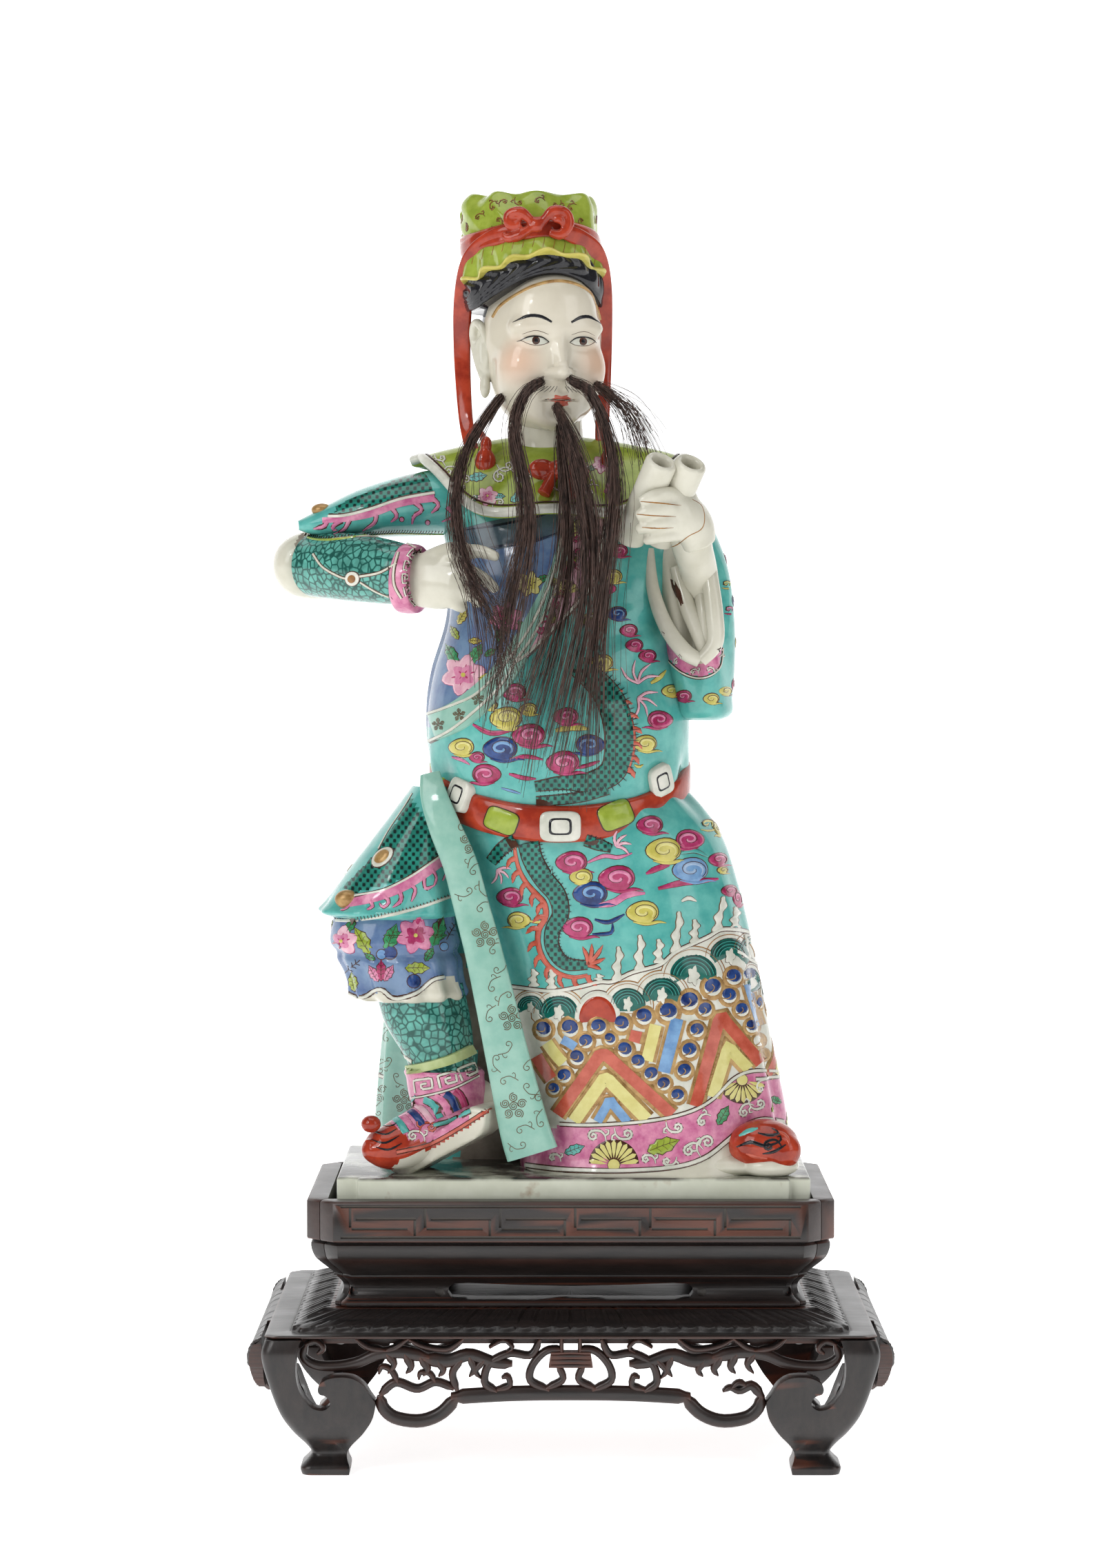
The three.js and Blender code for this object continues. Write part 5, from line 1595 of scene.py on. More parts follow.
fins(on_torso, [(736, 962), (800, 1010), (850, 1100), (862, 1200), (840, 1290)], 2.9, 4.2, -1)
scaly(on_torso, [(480, 1412), (560, 1408), (660, 1396), (764, 1370)], [2.6, 3.2, 3.2, 2.6])
claws(on_torso, 880, 950, 90, 60)
claws(on_torso, 880, 1010, 80, -60)

# belt plaques of pale celadon and yellow-green; the belt's gilt lines are not drawn
on_belt = sheet(torso_painting, [belt], TORSO_SHEET)
plate_turn = full_turn(28)
plate_across, plate_up = bent(np.cos(plate_turn), 0.45), bent(np.sin(plate_turn), 0.45)


def plaque(u, v, wide, high, turn, thick):
    """A pale plaque standing square on the belt, with a thin black square drawn on it."""
    (place,), (facing,) = on_torso.touch([(u, v)])
    across = directions(np.cross((0, 0, 1), facing))
    up = np.cross(facing, across)
    lean = math.radians(turn)
    across, up = across * math.cos(lean) + up * math.sin(lean), up * math.cos(lean) - across * math.sin(lean)
    outline = plate_across[:, None] * wide * across + plate_up[:, None] * high * up
    for size, low, top, finish in (
        (1, -2, thick, white), (0.6, 0, thick + 0.1, black), (0.47, 0, thick + 0.2, white),
    ):
        steps = ((size, low), (size, top - 0.5), (size * 0.93, top - 0.05), (size * 0.6, top))
        torso_painting.add(skin([place + share * outline + lift * facing for share, lift in steps]), finish)


plaque(186, 1390, 4.6, 5.4, -18, 2.6)
plaque(575, 1512, 6.8, 5, 0, 1.6)
plaque(960, 1328, 4.4, 5.4, 24, 2.8)
for u, v, wide, high, turn in ((344, 1490, 66, 46, -20), (793, 1468, 68, 52, 22), (96, 1292, 24, 44, 20)):
    plate = np.stack([wide * plate_across, high * plate_up], 1)
    on_belt.edged(on_belt.at(u, v, 1, turn)(plate), yellow_green, 0.5, 0.4)
torso_painting.make("figure_torso_painting", ["porcelain_figure"], 60)


# Porcelain figure: armoured leg and boots
# The shown leg wears a thigh flap of mesh armour, a short quilted skirt, a scaled greave and a striped boot.
# Only the toe of the other boot comes out from under the hem.
def flap_waves(angle, z):
    return 0.7 * np.sin(np.radians(angle) * 10) * ridge(z, 183, 5) + 0.5 * ridge(z, 181.5, 1.2)


def pleats(angle, z):
    folds = 1.1 * np.sin(np.radians(angle) * 12 + 0.5) * np.clip((176 - z) / 20, 0, 1)
    return folds + 0.7 * ridge(z, 155, 1.6) - 1.5 * ridge(z, 168.6, 1.8)


flap_rows = [
    (224, -46, -12, 7, 15, 2), (212, -50, -13, 12, 19, 2), (197, -56, -14, 17.5, 22, 2),
    (186, -59.5, -15, 22, 24, 2),
]
flap_rows += [(182.5, -61, -15.5, 23, 24.5, 2), (180.5, -59.5, -15, 21, 22, 2)]
quilt_rows = [
    (186, -58, -15, 19, 18, 2), (178, -59.3, -15, 20.6, 20, 2), (170, -58.5, -15, 21.6, 21, 2),
    (162, -56, -16, 19.3, 19.5, 2), (153.5, -54, -16, 18, 18, 2), (152.5, -53.6, -16, 14, 14, 2),
]
greave_rows = [
    (158, -51, -15, 15, 15.5, 2), (145, -48, -15.5, 14.6, 15, 2), (133, -43.8, -16.5, 11.8, 12.3, 2),
    (128, -42.3, -17, 11.8, 12.2, 2),
]
cuff_rows = [
    (129, -42.6, -16.8, 12.8, 13.2, 2), (126, -42, -17, 13.2, 13.6, 2), (119, -41, -17.5, 12.9, 13.3, 2),
    (113, -39, -18, 12, 12.4, 2), (111, -38.5, -18, 10, 10.5, 2),
]
flap = skin(rings_at(flap_rows, 50, 110, flap_waves))
quilt = skin(rings_at(quilt_rows, 46, 110, pleats))
greave = skin(rings_at(greave_rows, 40, 90))
boot_cuff = skin(rings_at(
    cuff_rows, 30, 90, lambda angle, z: 0.5 * ridge(z, 128, 1) + 0.4 * ridge(z, 116.5, 0.8)
))
boot = tube([
    (-27, -12, 118, 7.4), (-36, -17, 114.2, 9.6), (-48, -25, 109, 9.2), (-58, -32, 105, 8.2),
    (-65, -37, 105, 5.4), (-67.5, -39, 106, 2),
], 60, 40)
turned = math.radians(-20)


def on_sole(u, v, w):
    x, y = u * math.cos(turned) - w * math.sin(turned), u * math.sin(turned) + w * math.cos(turned)
    return (x + 3, y - 21, v)


sole_side = [
    (-22.6, 118), (-23, 112.6), (-25.2, 109), (-31, 105.6), (-39, 101.2), (-48, 96.2), (-51, 94.8),
    (-56, 95.6), (-58.5, 98.5), (-56, 101.5), (-50, 105), (-42, 109), (-34, 114), (-28, 119),
]
sole = fused([prism(smooth_rows(sole_side, 40).tolist(), -29, -10, on_sole)], 1.0, 3)
toe_hidden = fused([ball(64, -33, 105.5, 12, 9.5, 8.6), ball(70, -36.5, 104, 6.5, 6, 6.4)], 0.8)
shoe_sole = fused([
    ball(52, -27, 98.6, 22, 12, 4.4), ball(66, -34, 98.8, 10, 8, 4.2), ball(44, -26, 104, 14, 10, 8)
], 0.8)
knob = ball(-74, -31.5, 187, 4.2, 3.2, 3.2, 20)
toe_bead = ball(-66, -38, 113, 3.3, 3.1, 2.9, 18)
leg_piece = Piece()
mail_area = [
    (352, 90), (410, 180), (446, 262), (466, 318), (330, 404), (120, 462), (100, 430), (200, 330), (300, 190),
]
leg_piece.add(flap, dipped(flap, turquoise, [(mail_area, mail)], LEG_SHEET))
below_quilt = [
    (60, 800), (112, 838), (172, 858), (236, 828), (290, 862), (372, 844), (436, 794), (520, 770),
    (600, 1000), (60, 1000),
]
leg_piece.add(quilt, dipped(quilt, blue_grey, [(below_quilt, cream)], LEG_SHEET))
leg_piece.add(greave, scales)
leg_piece.add(boot_cuff, pink)
toe_area = [
    (150, 1330), (250, 1300), (300, 1345), (346, 1388), (400, 1400), (450, 1396), (660, 1270), (700, 1420),
    (400, 1600), (150, 1600),
]
sole_area = [
    (286, 1500), (320, 1462), (442, 1422), (569, 1347), (660, 1280), (740, 1270), (740, 1600), (286, 1600),
]
heel_area = [(592, 1190), (640, 1150), (740, 1150), (740, 1280), (660, 1284), (612, 1300)]
upper_area = [
    (150, 1500), (286, 1500), (320, 1462), (442, 1422), (569, 1347), (592, 1190), (592, 1000), (150, 1000),
]
leg_piece.add(boot, dipped(boot, pink, [
    (toe_area, iron_red), (heel_area, cream), (sole_area, cream),
], LEG_SHEET))
leg_piece.add(sole, dipped(sole, cream, [
    (upper_area, pink), (toe_area, iron_red), (sole_area, cream),
], LEG_SHEET))
leg_piece.add(toe_hidden, iron_red)
leg_piece.add(shoe_sole, cream)
leg_piece.add(knob, gold)
leg_piece.add(toe_bead, iron_red)
on_leg = sheet(leg_piece, [flap, quilt, greave, boot_cuff, boot, sole], LEG_SHEET)
mail_edge = [(96, 478), (150, 466), (250, 446), (345, 400), (420, 350), (476, 310)]
on_leg.rimmed(mail_edge, (1.7, 0.16), (1.0, 0.32))
pink_edge = [(96, 500), (200, 478), (310, 440), (400, 388), (474, 334)]
on_leg.band(pink_edge, [2.6, 3.4, 3.4, 3], pink, 0.2, 5)
for places in (
    [(130, 494), (112, 516), (90, 522)], [(200, 486), (210, 508), (188, 520)],
    [(250, 466), (272, 490), (250, 512), (236, 496)], [(310, 446), (318, 484), (286, 512)],
    [(352, 424), (372, 446), (356, 490)], [(404, 394), (410, 440), (440, 430)],
    [(436, 368), (452, 400), (440, 432)], [(474, 348), (488, 380), (474, 410)],
):
    on_leg.outlined(places, 1.5, pink, 0.24, (1.2, 0.4))
flap_edge = [(18, 552), (110, 562), (250, 546), (400, 508), (530, 462)]
on_leg.line(flap_edge, 1.2, white, 0.4)
for n in range(46):
    u, v = smooth_rows(flap_edge, 46)[n]
    on_leg.line([(u - 1, v - 12), (u + 1, v - 6), (u + 3, v - 1)], 0.28, brown_line, 0.3, (1, 1), 0.3)
on_leg.outlined([(232, 290), (270, 220), (330, 130), (360, 80)], 0.8, white, 0.3)
oval = ring_points(22, 1, 0.55)
on_leg.edged(on_leg.at(248, 322, 50, 42)(oval), white, 0.6)
on_leg.edged(on_leg.at(248, 322, 34, 42)(oval), gold, 1.3)
quilt_foot = [(84, 800), (112, 832), (172, 852), (236, 822), (290, 856), (372, 838), (436, 788), (478, 776)]
on_leg.rimmed(quilt_foot, (2.0, 0.3), (1.5, 0.6))
peony(on_leg, 92, 640, 58, pink, ((60, leaf_green),))
peony(on_leg, 372, 618, 66, magenta, ((180, leaf_green), (0, leaf_green)))
quilt_leaves = [
    (172, 640, 56, yellow_green, 120), (280, 630, 56, leaf_green, 70), (456, 606, 60, leaf_green, 70),
    (508, 602, 46, yellow, 60), (132, 738, 44, leaf_green, 40), (136, 796, 36, yellow_green, 100),
    (378, 742, 46, yellow_green, 0), (424, 690, 30, leaf_green, 60), (200, 700, 22, leaf_green, 150),
    (214, 764, 34, pink, 120), (270, 762, 34, pink, 60), (242, 752, 40, magenta, 90),
]
leaves(on_leg, quilt_leaves)
for u, v, size, finish in (
    (244, 690, 20, sky_blue), (276, 684, 26, cobalt), (366, 792, 26, cobalt), (480, 660, 16, sky_blue),
):
    on_leg.edged(on_leg.at(u, v, size)(ring_points(14)), finish, 0.22)
on_leg.outlined([(232, 870), (230, 910), (250, 980), (302, 1050), (360, 1098)], 1.8, white, 0.4)
on_leg.band([(326, 1128), (400, 1118), (500, 1090), (584, 1050)], [3.4], pale_green, 1.4, 9)


def key_fret(brush, u, v, size, turn, width):
    """One unit of a key fret with sharp turns."""
    unit = [(-1, -0.6), (-1, 0.6), (0.7, 0.6), (0.7, -0.35), (-0.35, -0.35), (-0.35, 0.15), (0.2, 0.15)]
    brush.outlined(brush.at(u, v, size, turn)(unit), width, white, 0.3, (1, 1), True, 0.4)


for u, v, turn in ((408, 1186, 8), (500, 1164, 14), (578, 1132, 22)):
    key_fret(on_leg, u, v, 40, turn, 1.1)
on_leg.outlined([(346, 1236), (420, 1224), (520, 1196), (612, 1150)], 0.8, white, 0.4)
for places, finish in (
    ([(300, 1290), (330, 1310), (362, 1352)], pink), ([(330, 1272), (366, 1292), (400, 1336)], cobalt),
    ([(366, 1256), (400, 1280), (436, 1326)], pale_pink), ([(404, 1240), (440, 1262), (466, 1310)], turquoise),
    ([(444, 1228), (478, 1252), (500, 1296)], pink), ([(484, 1218), (512, 1240), (530, 1282)], cobalt),
    ([(520, 1208), (544, 1228), (560, 1268)], magenta), ([(286, 1304), (316, 1330), (336, 1366)], turquoise),
):
    on_leg.outlined(places, 3.0, finish, 0.3)
on_leg.outlined([(270, 1306), (320, 1282), (364, 1240), (372, 1226)], 1.0, turquoise, 0.3)
on_leg.outlined([(440, 1338), (500, 1322), (580, 1282)], 1.7, turquoise, 0.3)
on_leg.outlined([(300, 1440), (420, 1412), (520, 1360), (640, 1284)], 1.4, coral_red, 0.4)
for u, v, flip in ((362, 1378, 1), (432, 1346, -1)):
    scroll(on_leg, u, v, 30, white if flip > 0 else coral_red, 0, flip, 1.0)
for places in (
    [(214, 1362), (260, 1372), (300, 1352)], [(206, 1392), (256, 1404), (310, 1378)],
    [(222, 1420), (270, 1430), (320, 1406)], [(240, 1338), (280, 1340), (306, 1326)],
):
    on_leg.line(places, 0.9, black, 0.2, (0.3, 0.3))
round_leg = Brush(leg_piece, [quilt, flap], round_rays(-52, -10, 20))
for n in range(6):
    u = -32 - 11 * (n % 3)
    if n < 3:
        peony(round_leg, u, 176, 4, (pink, magenta, pink)[n], ((200, leaf_green), (20, yellow_green)))
    else:
        cloud(round_leg, u, 196, 2.6, (yellow, magenta, cobalt)[n - 3])
on_toe = sheet(leg_piece, [toe_hidden], SKIRT_SHEET)
for places, finish, width in (
    ([(1100, 1352), (1140, 1330), (1180, 1320)], turquoise, 2.2),
    ([(1090, 1400), (1150, 1380), (1210, 1396), (1270, 1380)], black, 1.5),
    ([(1180, 1340), (1230, 1350), (1270, 1340), (1240, 1320)], black, 1.3),
    ([(1200, 1430), (1250, 1420), (1300, 1390)], black, 1.2),
    ([(1130, 1430), (1170, 1444), (1220, 1450)], coral_red, 1.5),
    ([(1260, 1330), (1300, 1350), (1316, 1390)], coral_red, 1.6),
):
    on_toe.line(places, width, finish, 0.2, (0.4, 0.4))
scroll(on_toe, 1226, 1396, 34, black, 20, 1, 1.0)
leg_piece.make("figure_leg", ["porcelain_figure"], 50)


# Porcelain figure: arms, hands and rolled book
# One arm crosses the chest out of an open sleeve, bare hand at the heart. The other is raised from a wide
# hanging sleeve and holds a book rolled from both ends.
cap = tube([
    (-26, 8, 320.6, 11), (-48, 3, 318.8, 11), (-68, -2, 315.6, 8.5), (-84, -5, 312, 4.5),
    (-91.5, -6, 311.2, 1.6),
], 60, 60, 1.75, (0, 1, 0), 2.2)
forearm = tube([
    (-86, -1, 298, 10.8), (-74, -13, 297.2, 11.4), (-62, -23, 295.6, 10.8), (-53, -29.5, 294, 9.8),
], 50, 60)
cuff = tube([
    (-56.5, -28.4, 293.4, 10), (-55.4, -28.8, 293.3, 11.4), (-52.6, -29.8, 293.1, 11.6),
    (-50, -30.8, 293, 11), (-49.6, -31, 293, 8.6),
], 24, 60)
lining = tube([
    (-66, 6, 294, 4), (-76, 8, 292.4, 5), (-86, 8.5, 292.6, 6.2), (-92, 8, 295, 7.6), (-93, 7, 300, 7.4),
    (-88, 5.5, 304, 5.8), (-80, 4, 307, 4),
], 60, 40, 1.3)
hand_low = fused(
    [
        tube([
            (-56, -28, 293, 8), (-50, -32, 292.8, 9), (-44, -35, 292.4, 9.4), (-38, -38, 292, 8.6),
            (-34, -40, 291.4, 6),
        ], 24, 24, 0.55, (0.5, -0.8, 0)),
        tube([
            (-42, -36.5, 299, 3.1), (-36, -39, 301.4, 2.8), (-30, -41.6, 302, 2.3),
            (-24.4, -43.8, 300.3, 1.7), (-23.4, -44, 300, 1),
        ], 26, 16),
        tube([
            (-40, -38, 295.5, 3), (-33, -41.5, 295, 2.7), (-28, -43.3, 292.6, 2.2),
            (-24.6, -44.2, 289.6, 1.7), (-24, -44.2, 289, 1),
        ], 26, 16),
        tube([
            (-40, -38, 290.5, 2.9), (-34, -41, 288.4, 2.5), (-30, -41, 286, 2.1), (-31.5, -38.6, 285, 1.8),
        ], 22, 16),
        tube([(-41, -37, 287, 2.8), (-37, -39, 284.6, 2.3), (-35, -37.6, 283.4, 2)], 18, 16),
        tube([(-47, -33, 300, 2.6), (-40, -37, 303, 2.2), (-34, -39.6, 303.6, 1.7)], 18, 16),
    ],
    0.66,
)


def sleeve_folds(angle, z):
    folds = 1.2 * np.sin(np.radians(angle) * 5 + z / 14) * ridge(z, 284, 28) * (np.abs(angle - 60) < 90)
    return folds + 0.9 * ridge(z, 249, 3) - 10 * ridge(angle, -12, 15) * ridge(z, 287, 20)


sleeve_rows = [
    (246, 44.5, -10, 6.5, 9, 2), (249, 44, -10, 9.5, 14, 2), (262, 43, -9, 11.5, 19, 2),
    (280, 41.5, -7, 12.6, 21, 2),
]
sleeve_rows += [(298, 39.6, -4, 13, 19, 2), (312, 35.5, 1, 12.5, 16, 2), (322, 31, 3, 10.5, 12, 2)]
sleeve = skin(rings_at(sleeve_rows, 100, 140, sleeve_folds))
mouth = tube([
    (26.5, -18, 303, 1.4), (27.4, -22, 290, 2.2), (31.4, -26, 278, 2.6), (37.4, -28.6, 269.5, 2.8),
    (43, -29, 266, 2.4),
], 60, 24)
mouth_rim = tube([
    (44.4, -20, 309, 2), (46, -25, 295, 2.8), (47.6, -28, 282, 3), (47.8, -29, 272, 2.8), (43, -29, 266, 2.4),
], 60, 24)
inner_fold = tube([
    (35, -20, 297, 2), (38.6, -23, 285, 2.8), (42.4, -26, 275, 2.6), (44, -27.4, 269, 2),
], 40, 20)
forearm_up = tube([(45, -12, 280, 6), (43, -22, 294, 6.2), (40, -32, 304, 6.6), (36.5, -38, 315, 6.5)], 40, 30)
book_axis = directions(np.array([10.5, -16, 24.7]))
hand_high = fused(
    [
        tube([
            (42.5, -36, 304, 6), (40.5, -38.5, 310, 7.4), (36, -42.5, 314.5, 7.6), (31, -45.8, 316.5, 6),
        ], 24, 24, 0.75, (0.6, -0.8, 0)),
        tube([
            (38, -42.5, 319.4, 2.6), (32, -47.6, 320.6, 2.6), (26.5, -50.4, 319.6, 2.3),
            (22.4, -50.6, 317.8, 1.8),
        ], 24, 16),
        tube([
            (37.5, -43.6, 315.6, 2.7), (31.5, -48.4, 316, 2.7), (25.5, -50.6, 314.8, 2.4),
            (21.4, -49.8, 313.4, 1.8),
        ], 24, 16),
        tube([
            (37, -43.8, 311.6, 2.6), (31, -47.8, 311.4, 2.6), (25.4, -48.8, 310.2, 2.3),
            (21.6, -47.4, 309, 1.8),
        ], 24, 16),
        tube([
            (37, -42, 308, 2.4), (31.5, -45.4, 307.2, 2.4), (27, -46, 306.2, 2), (24, -44.8, 305.4, 1.6),
        ], 22, 16),
        tube([(40, -38, 316, 2.8), (38, -42, 321.5, 2.6), (33, -44.5, 324.5, 2)], 18, 16),
    ],
    0.66,
)


def paper_roll(x, y, z):
    """A thick-walled roll, open at its upper end."""
    profile = [
        (0, 0.2), (4.6, 0), (5.3, 0.7), (5.3, 31.2), (4.9, 32), (4.3, 32.3), (3.6, 32), (3.2, 31.2),
        (3.1, 18), (0, 17.6),
    ]
    foot = np.array([x, y, z], float)
    across = directions(np.cross(book_axis, (0, 0, 1)))
    up = np.cross(book_axis, across)
    turn = full_turn(36)[:, None]
    rings = [foot + book_axis * t + r * (np.cos(turn) * across + np.sin(turn) * up) for r, t in profile]
    return skin(rings)


rolls = [paper_roll(19, -33, 306), paper_roll(28.6, -31, 305.5)]
arms = Piece()
ARM_SHEET = (399, 625, 4.37)
mail_on_cap = [
    (372, 534), (392, 470), (640, 360), (930, 240), (1010, 380), (960, 398), (760, 432), (600, 492),
    (440, 538),
]
arms.add(cap, dipped(cap, turquoise, [(mail_on_cap, mail)], ARM_SHEET))
arms.add(forearm, scales)
# painted shade in the hollow of the lining at the elbow
elbow_hollow_shade = [(166, 640), (216, 700), (240, 940), (150, 910), (112, 820), (130, 700)]
arms.add(lining, dipped(lining, cream, [(elbow_hollow_shade, hollow_shade_brown)], ARM_SHEET))
for part, finish in (
    (cuff, pink), (hand_low, cream), (mouth, cream), (mouth_rim, cream), (inner_fold, cream),
    (forearm_up, cream), (hand_high, cream), (rolls[0], cream), (rolls[1], cream),
):
    arms.add(part, finish)
sleeve_lining = [
    (905, 380), (926, 600), (984, 742), (1058, 850), (1129, 874), (1184, 806), (1174, 680), (1148, 530),
    (1130, 340),
]
sleeve_border = [
    (884, 380), (902, 620), (950, 790), (1040, 900), (1128, 930), (1200, 890), (1214, 790), (1198, 650),
    (1172, 500), (1140, 330),
]
arms.add(sleeve, dipped(sleeve, turquoise, [(sleeve_border, pink), (sleeve_lining, cream)], TORSO_SHEET))
on_arm = sheet(arms, [cap, forearm, cuff, lining], ARM_SHEET)
cap_line = [(336, 540), (440, 536), (600, 496), (800, 430), (1010, 392)]
on_arm.rimmed(cap_line, (2.0, 0.16), (1.3, 0.4))
on_arm.band([(300, 566), (440, 556), (620, 520), (800, 456), (1010, 424)], [1.8, 2.4, 2.6, 2.6], pink, 0.22, 5)
for places in (
    [(330, 564), (310, 604), (244, 620)], [(470, 560), (440, 620), (372, 656)],
    [(420, 566), (372, 600), (366, 630), (390, 624)], [(640, 526), (630, 580), (556, 632)],
    [(742, 492), (772, 540), (734, 576)], [(884, 452), (930, 500), (880, 540), (868, 588)],
    [(1000, 430), (1036, 470), (990, 520)], [(1090, 480), (1130, 540), (1056, 574)],
):
    on_arm.outlined(places, 1.6, pink, 0.26, (1.2, 0.4))
for u, v in ((802, 560), (966, 580)):
    on_arm.edged(on_arm.at(u, v, 14)(ring_points(12)), pink, 0.24)
cap_edge = [(130, 600), (190, 668), (320, 690), (560, 664), (760, 650), (960, 654), (1170, 656)]
on_arm.line(cap_edge, 1.4, yellow_green, 0.3, (0.3, 1))
for u, v in smooth_rows(cap_edge[1:], 60):
    on_arm.line([(u - 5, v - 3), (u, v - 12), (u + 4, v - 20)], 0.28, brown_line, 0.3, (1, 1), 0.3)
cap_knob = ball(-83.5, -7, 316.4, 3.6, 3, 2.2, 20)
arms.add(cap_knob, gold)
for places in (
    [(240, 780), (300, 862), (400, 920), (450, 936)], [(536, 922), (660, 898), (768, 838)],
    [(540, 960), (640, 1020), (740, 1060)], [(360, 686), (560, 668), (760, 686), (890, 740)],
):
    on_arm.outlined(places, 1.0, cream, 0.3)
on_arm.edged(on_arm.at(490, 936, 46)(ring_points(20)), white, 0.5)
on_arm.edged(on_arm.at(490, 936, 26)(ring_points(16)), ochre, 0.9)
for u, v, turn in ((872, 776, 50), (838, 850, 78), (826, 930, 92), (838, 1010, 104), (876, 1072, 128)):
    key_fret(on_arm, u, v, 34, turn, 0.7)
for places in (
    [(780, 770), (752, 880), (756, 980), (800, 1060)], [(930, 728), (874, 860), (862, 980), (900, 1090)],
):
    on_arm.outlined(places, 1.1, cream, 0.4)
on_hand = sheet(arms, [hand_low], ARM_SHEET)
for places in (
    [(1300, 806), (1312, 824), (1326, 838)], [(1336, 998), (1344, 1012), (1350, 1022)],
    [(1290, 1066), (1302, 1080), (1312, 1090)],
):
    on_hand.line(places, 0.9, coral_red, 0.12, (0.6, 0.6), 0.4)
on_sleeve = sheet(arms, [sleeve, mouth, mouth_rim, inner_fold, forearm_up], TORSO_SHEET)
# painted shade in the sleeve's hollow, between the inner fold and the mouth's rim, in brown
on_sleeve.patch([
    (1006, 540), (1026, 548), (1048, 588), (1060, 640), (1050, 650), (1030, 612), (1012, 572),
], brown_line, 0.1)
sleeve_edge = [(884, 420), (902, 620), (950, 790), (1040, 900), (1128, 930), (1200, 890), (1214, 790)]
on_sleeve.rimmed(sleeve_edge, (1.3, 0.24), (0.7, 0.4))
for u, v, turn in (
    (902, 560, 80), (926, 680, 70), (968, 780, 55), (1030, 866, 40), (1096, 906, 10), (1160, 896, 340),
    (1200, 820, 290),
):
    scroll(on_sleeve, u, v, 16, white, turn, 1, 0.7)
clouds(on_sleeve, [
    (1226, 560, 24, yellow), (1236, 660, 24, magenta), (1226, 980, 24, yellow), (1060, 1000, 30, magenta),
    (1170, 1010, 28, yellow),
])
round_sleeve = Brush(arms, [sleeve], round_rays(43, -7, 15))
for n in range(12):
    cloud(
        round_sleeve, 18 + 9.4 * (n % 3) + 3 * (n // 3 % 2), 258 + 14 * (n // 3), 2.3,
        (magenta, yellow, cobalt)[(n + n // 3) % 3],
    )
repair = [(1094, 228), (1130, 252), (1142, 300), (1130, 344), (1080, 372), (1016, 414), (940, 404)]
on_high_hand = sheet(arms, [hand_high, forearm_up], TORSO_SHEET)
on_high_hand.line(repair, 0.5, ochre, 0.08, (0.6, 0.6), 0.5)
# painted shade between the fingers of the raised hand, in thin ochre lines
for places in (
    [(884, 236), (960, 242), (1050, 252)], [(870, 286), (940, 292), (1030, 296)],
    [(896, 338), (960, 342), (1020, 340)],
):
    on_high_hand.line(places, 0.7, ochre, 0.05, (0.5, 0.2), 0.5)
arms.make("figure_arms", ["porcelain_figure"], 50)


# Porcelain figure: cape and throat bow
# A short collar cape with cloud-shaped lobes and a thick white rim, tied with a red bow.
def cape_ring(r, lower):
    turn = full_turn(160, -np.pi)
    c, s = np.cos(turn), np.sin(turn)
    depth = np.where(s > 0, 0.85, 1.0)
    drop = r**1.6 * (7 + 19 * (1 - c**4))
    lobes = 1 + np.where(s > 0, 0.1, 0.025) * np.cos(6 * turn) * r**3
    x = -8 + 2 * r + 43 * r * lobes * c
    y = 1.5 + 32 * r * lobes * s * depth
    return np.stack([x, y, 342 - drop * lobes**1.6 - lower], 1)


cape_steps = smooth_rows([
    (0.28, 0), (0.5, 0), (0.75, 0), (0.9, 0), (0.99, 0.4), (1.01, 1.8), (0.97, 3.2), (0.8, 4.8), (0.5, 6.5),
    (0.28, 7),
], 50)
cape = skin([cape_ring(r, lower) for r, lower in cape_steps])
knot = fused([
    ball(-4, -25.5, 329.5, 3.4, 2.6, 3.2), ball(-9.6, -24.8, 329.4, 4.6, 2.4, 3.6),
    ball(1.8, -24.6, 328, 4.6, 2.4, 3.4), tube([(-6, -26, 327, 1.8), (-9, -28.5, 321, 2.4)], 8, 12),
    tube([(-2, -26, 326.6, 1.8), (1.4, -28.4, 320, 2.4)], 8, 12),
], 0.5)
cape_piece = Piece()
cape_piece.add(cape, yellow_green)
cape_piece.add(knot, iron_red)


def ring_tube(line, radius, sides=10):
    """A closed ring of clay along a line that meets itself."""
    along = directions(np.roll(line, -1, 0) - np.roll(line, 1, 0))
    side = directions(np.cross(along, (0, 0, 1)))
    up = np.cross(side, along)
    turn = full_turn(sides)[:, None]
    around = np.cos(turn) * side[:, None] + np.sin(turn) * up[:, None]
    points = (line[:, None] + radius * around).reshape(-1, 3)
    faces = np.array(side_faces(len(line) + 1, sides)) % len(points)
    return outwards(points, faces.tolist())


cape_piece.add(ring_tube(cape_ring(1.0, 0.6), 1.7), white)
cape_piece.add(ring_tube(cape_ring(0.962, -0.2), 0.32, 6), brown_line)
on_cape = sheet(cape_piece, [cape], TORSO_SHEET)
for u, v, size, turn, flip in (
    (60, 160, 24, 40, 1), (206, 150, 26, 10, -1), (230, 250, 20, 60, 1), (150, 250, 20, 0, 1),
    (76, 96, 30, 20, 1), (136, 118, 30, 0, 1), (110, 66, 22, 160, 1), (336, 140, 40, 30, 1),
    (372, 96, 28, 200, 1), (300, 80, 26, 30, -1), (160, 190, 22, 0, 1), (420, 150, 26, 30, 1),
    (340, 240, 22, 10, -1), (580, 180, 26, 160, 1), (640, 120, 28, 20, 1), (690, 200, 26, 60, 1),
):
    scroll(on_cape, u, v, size, white, turn, flip, 0.8)
peony(on_cape, 290, 216, 38, pink, ((190, leaf_green), (0, turquoise)))
peony(on_cape, 740, 90, 36, pink, ((200, leaf_green), (60, leaf_green)))
peony(on_cape, 780, 190, 30, magenta, ((100, turquoise),))
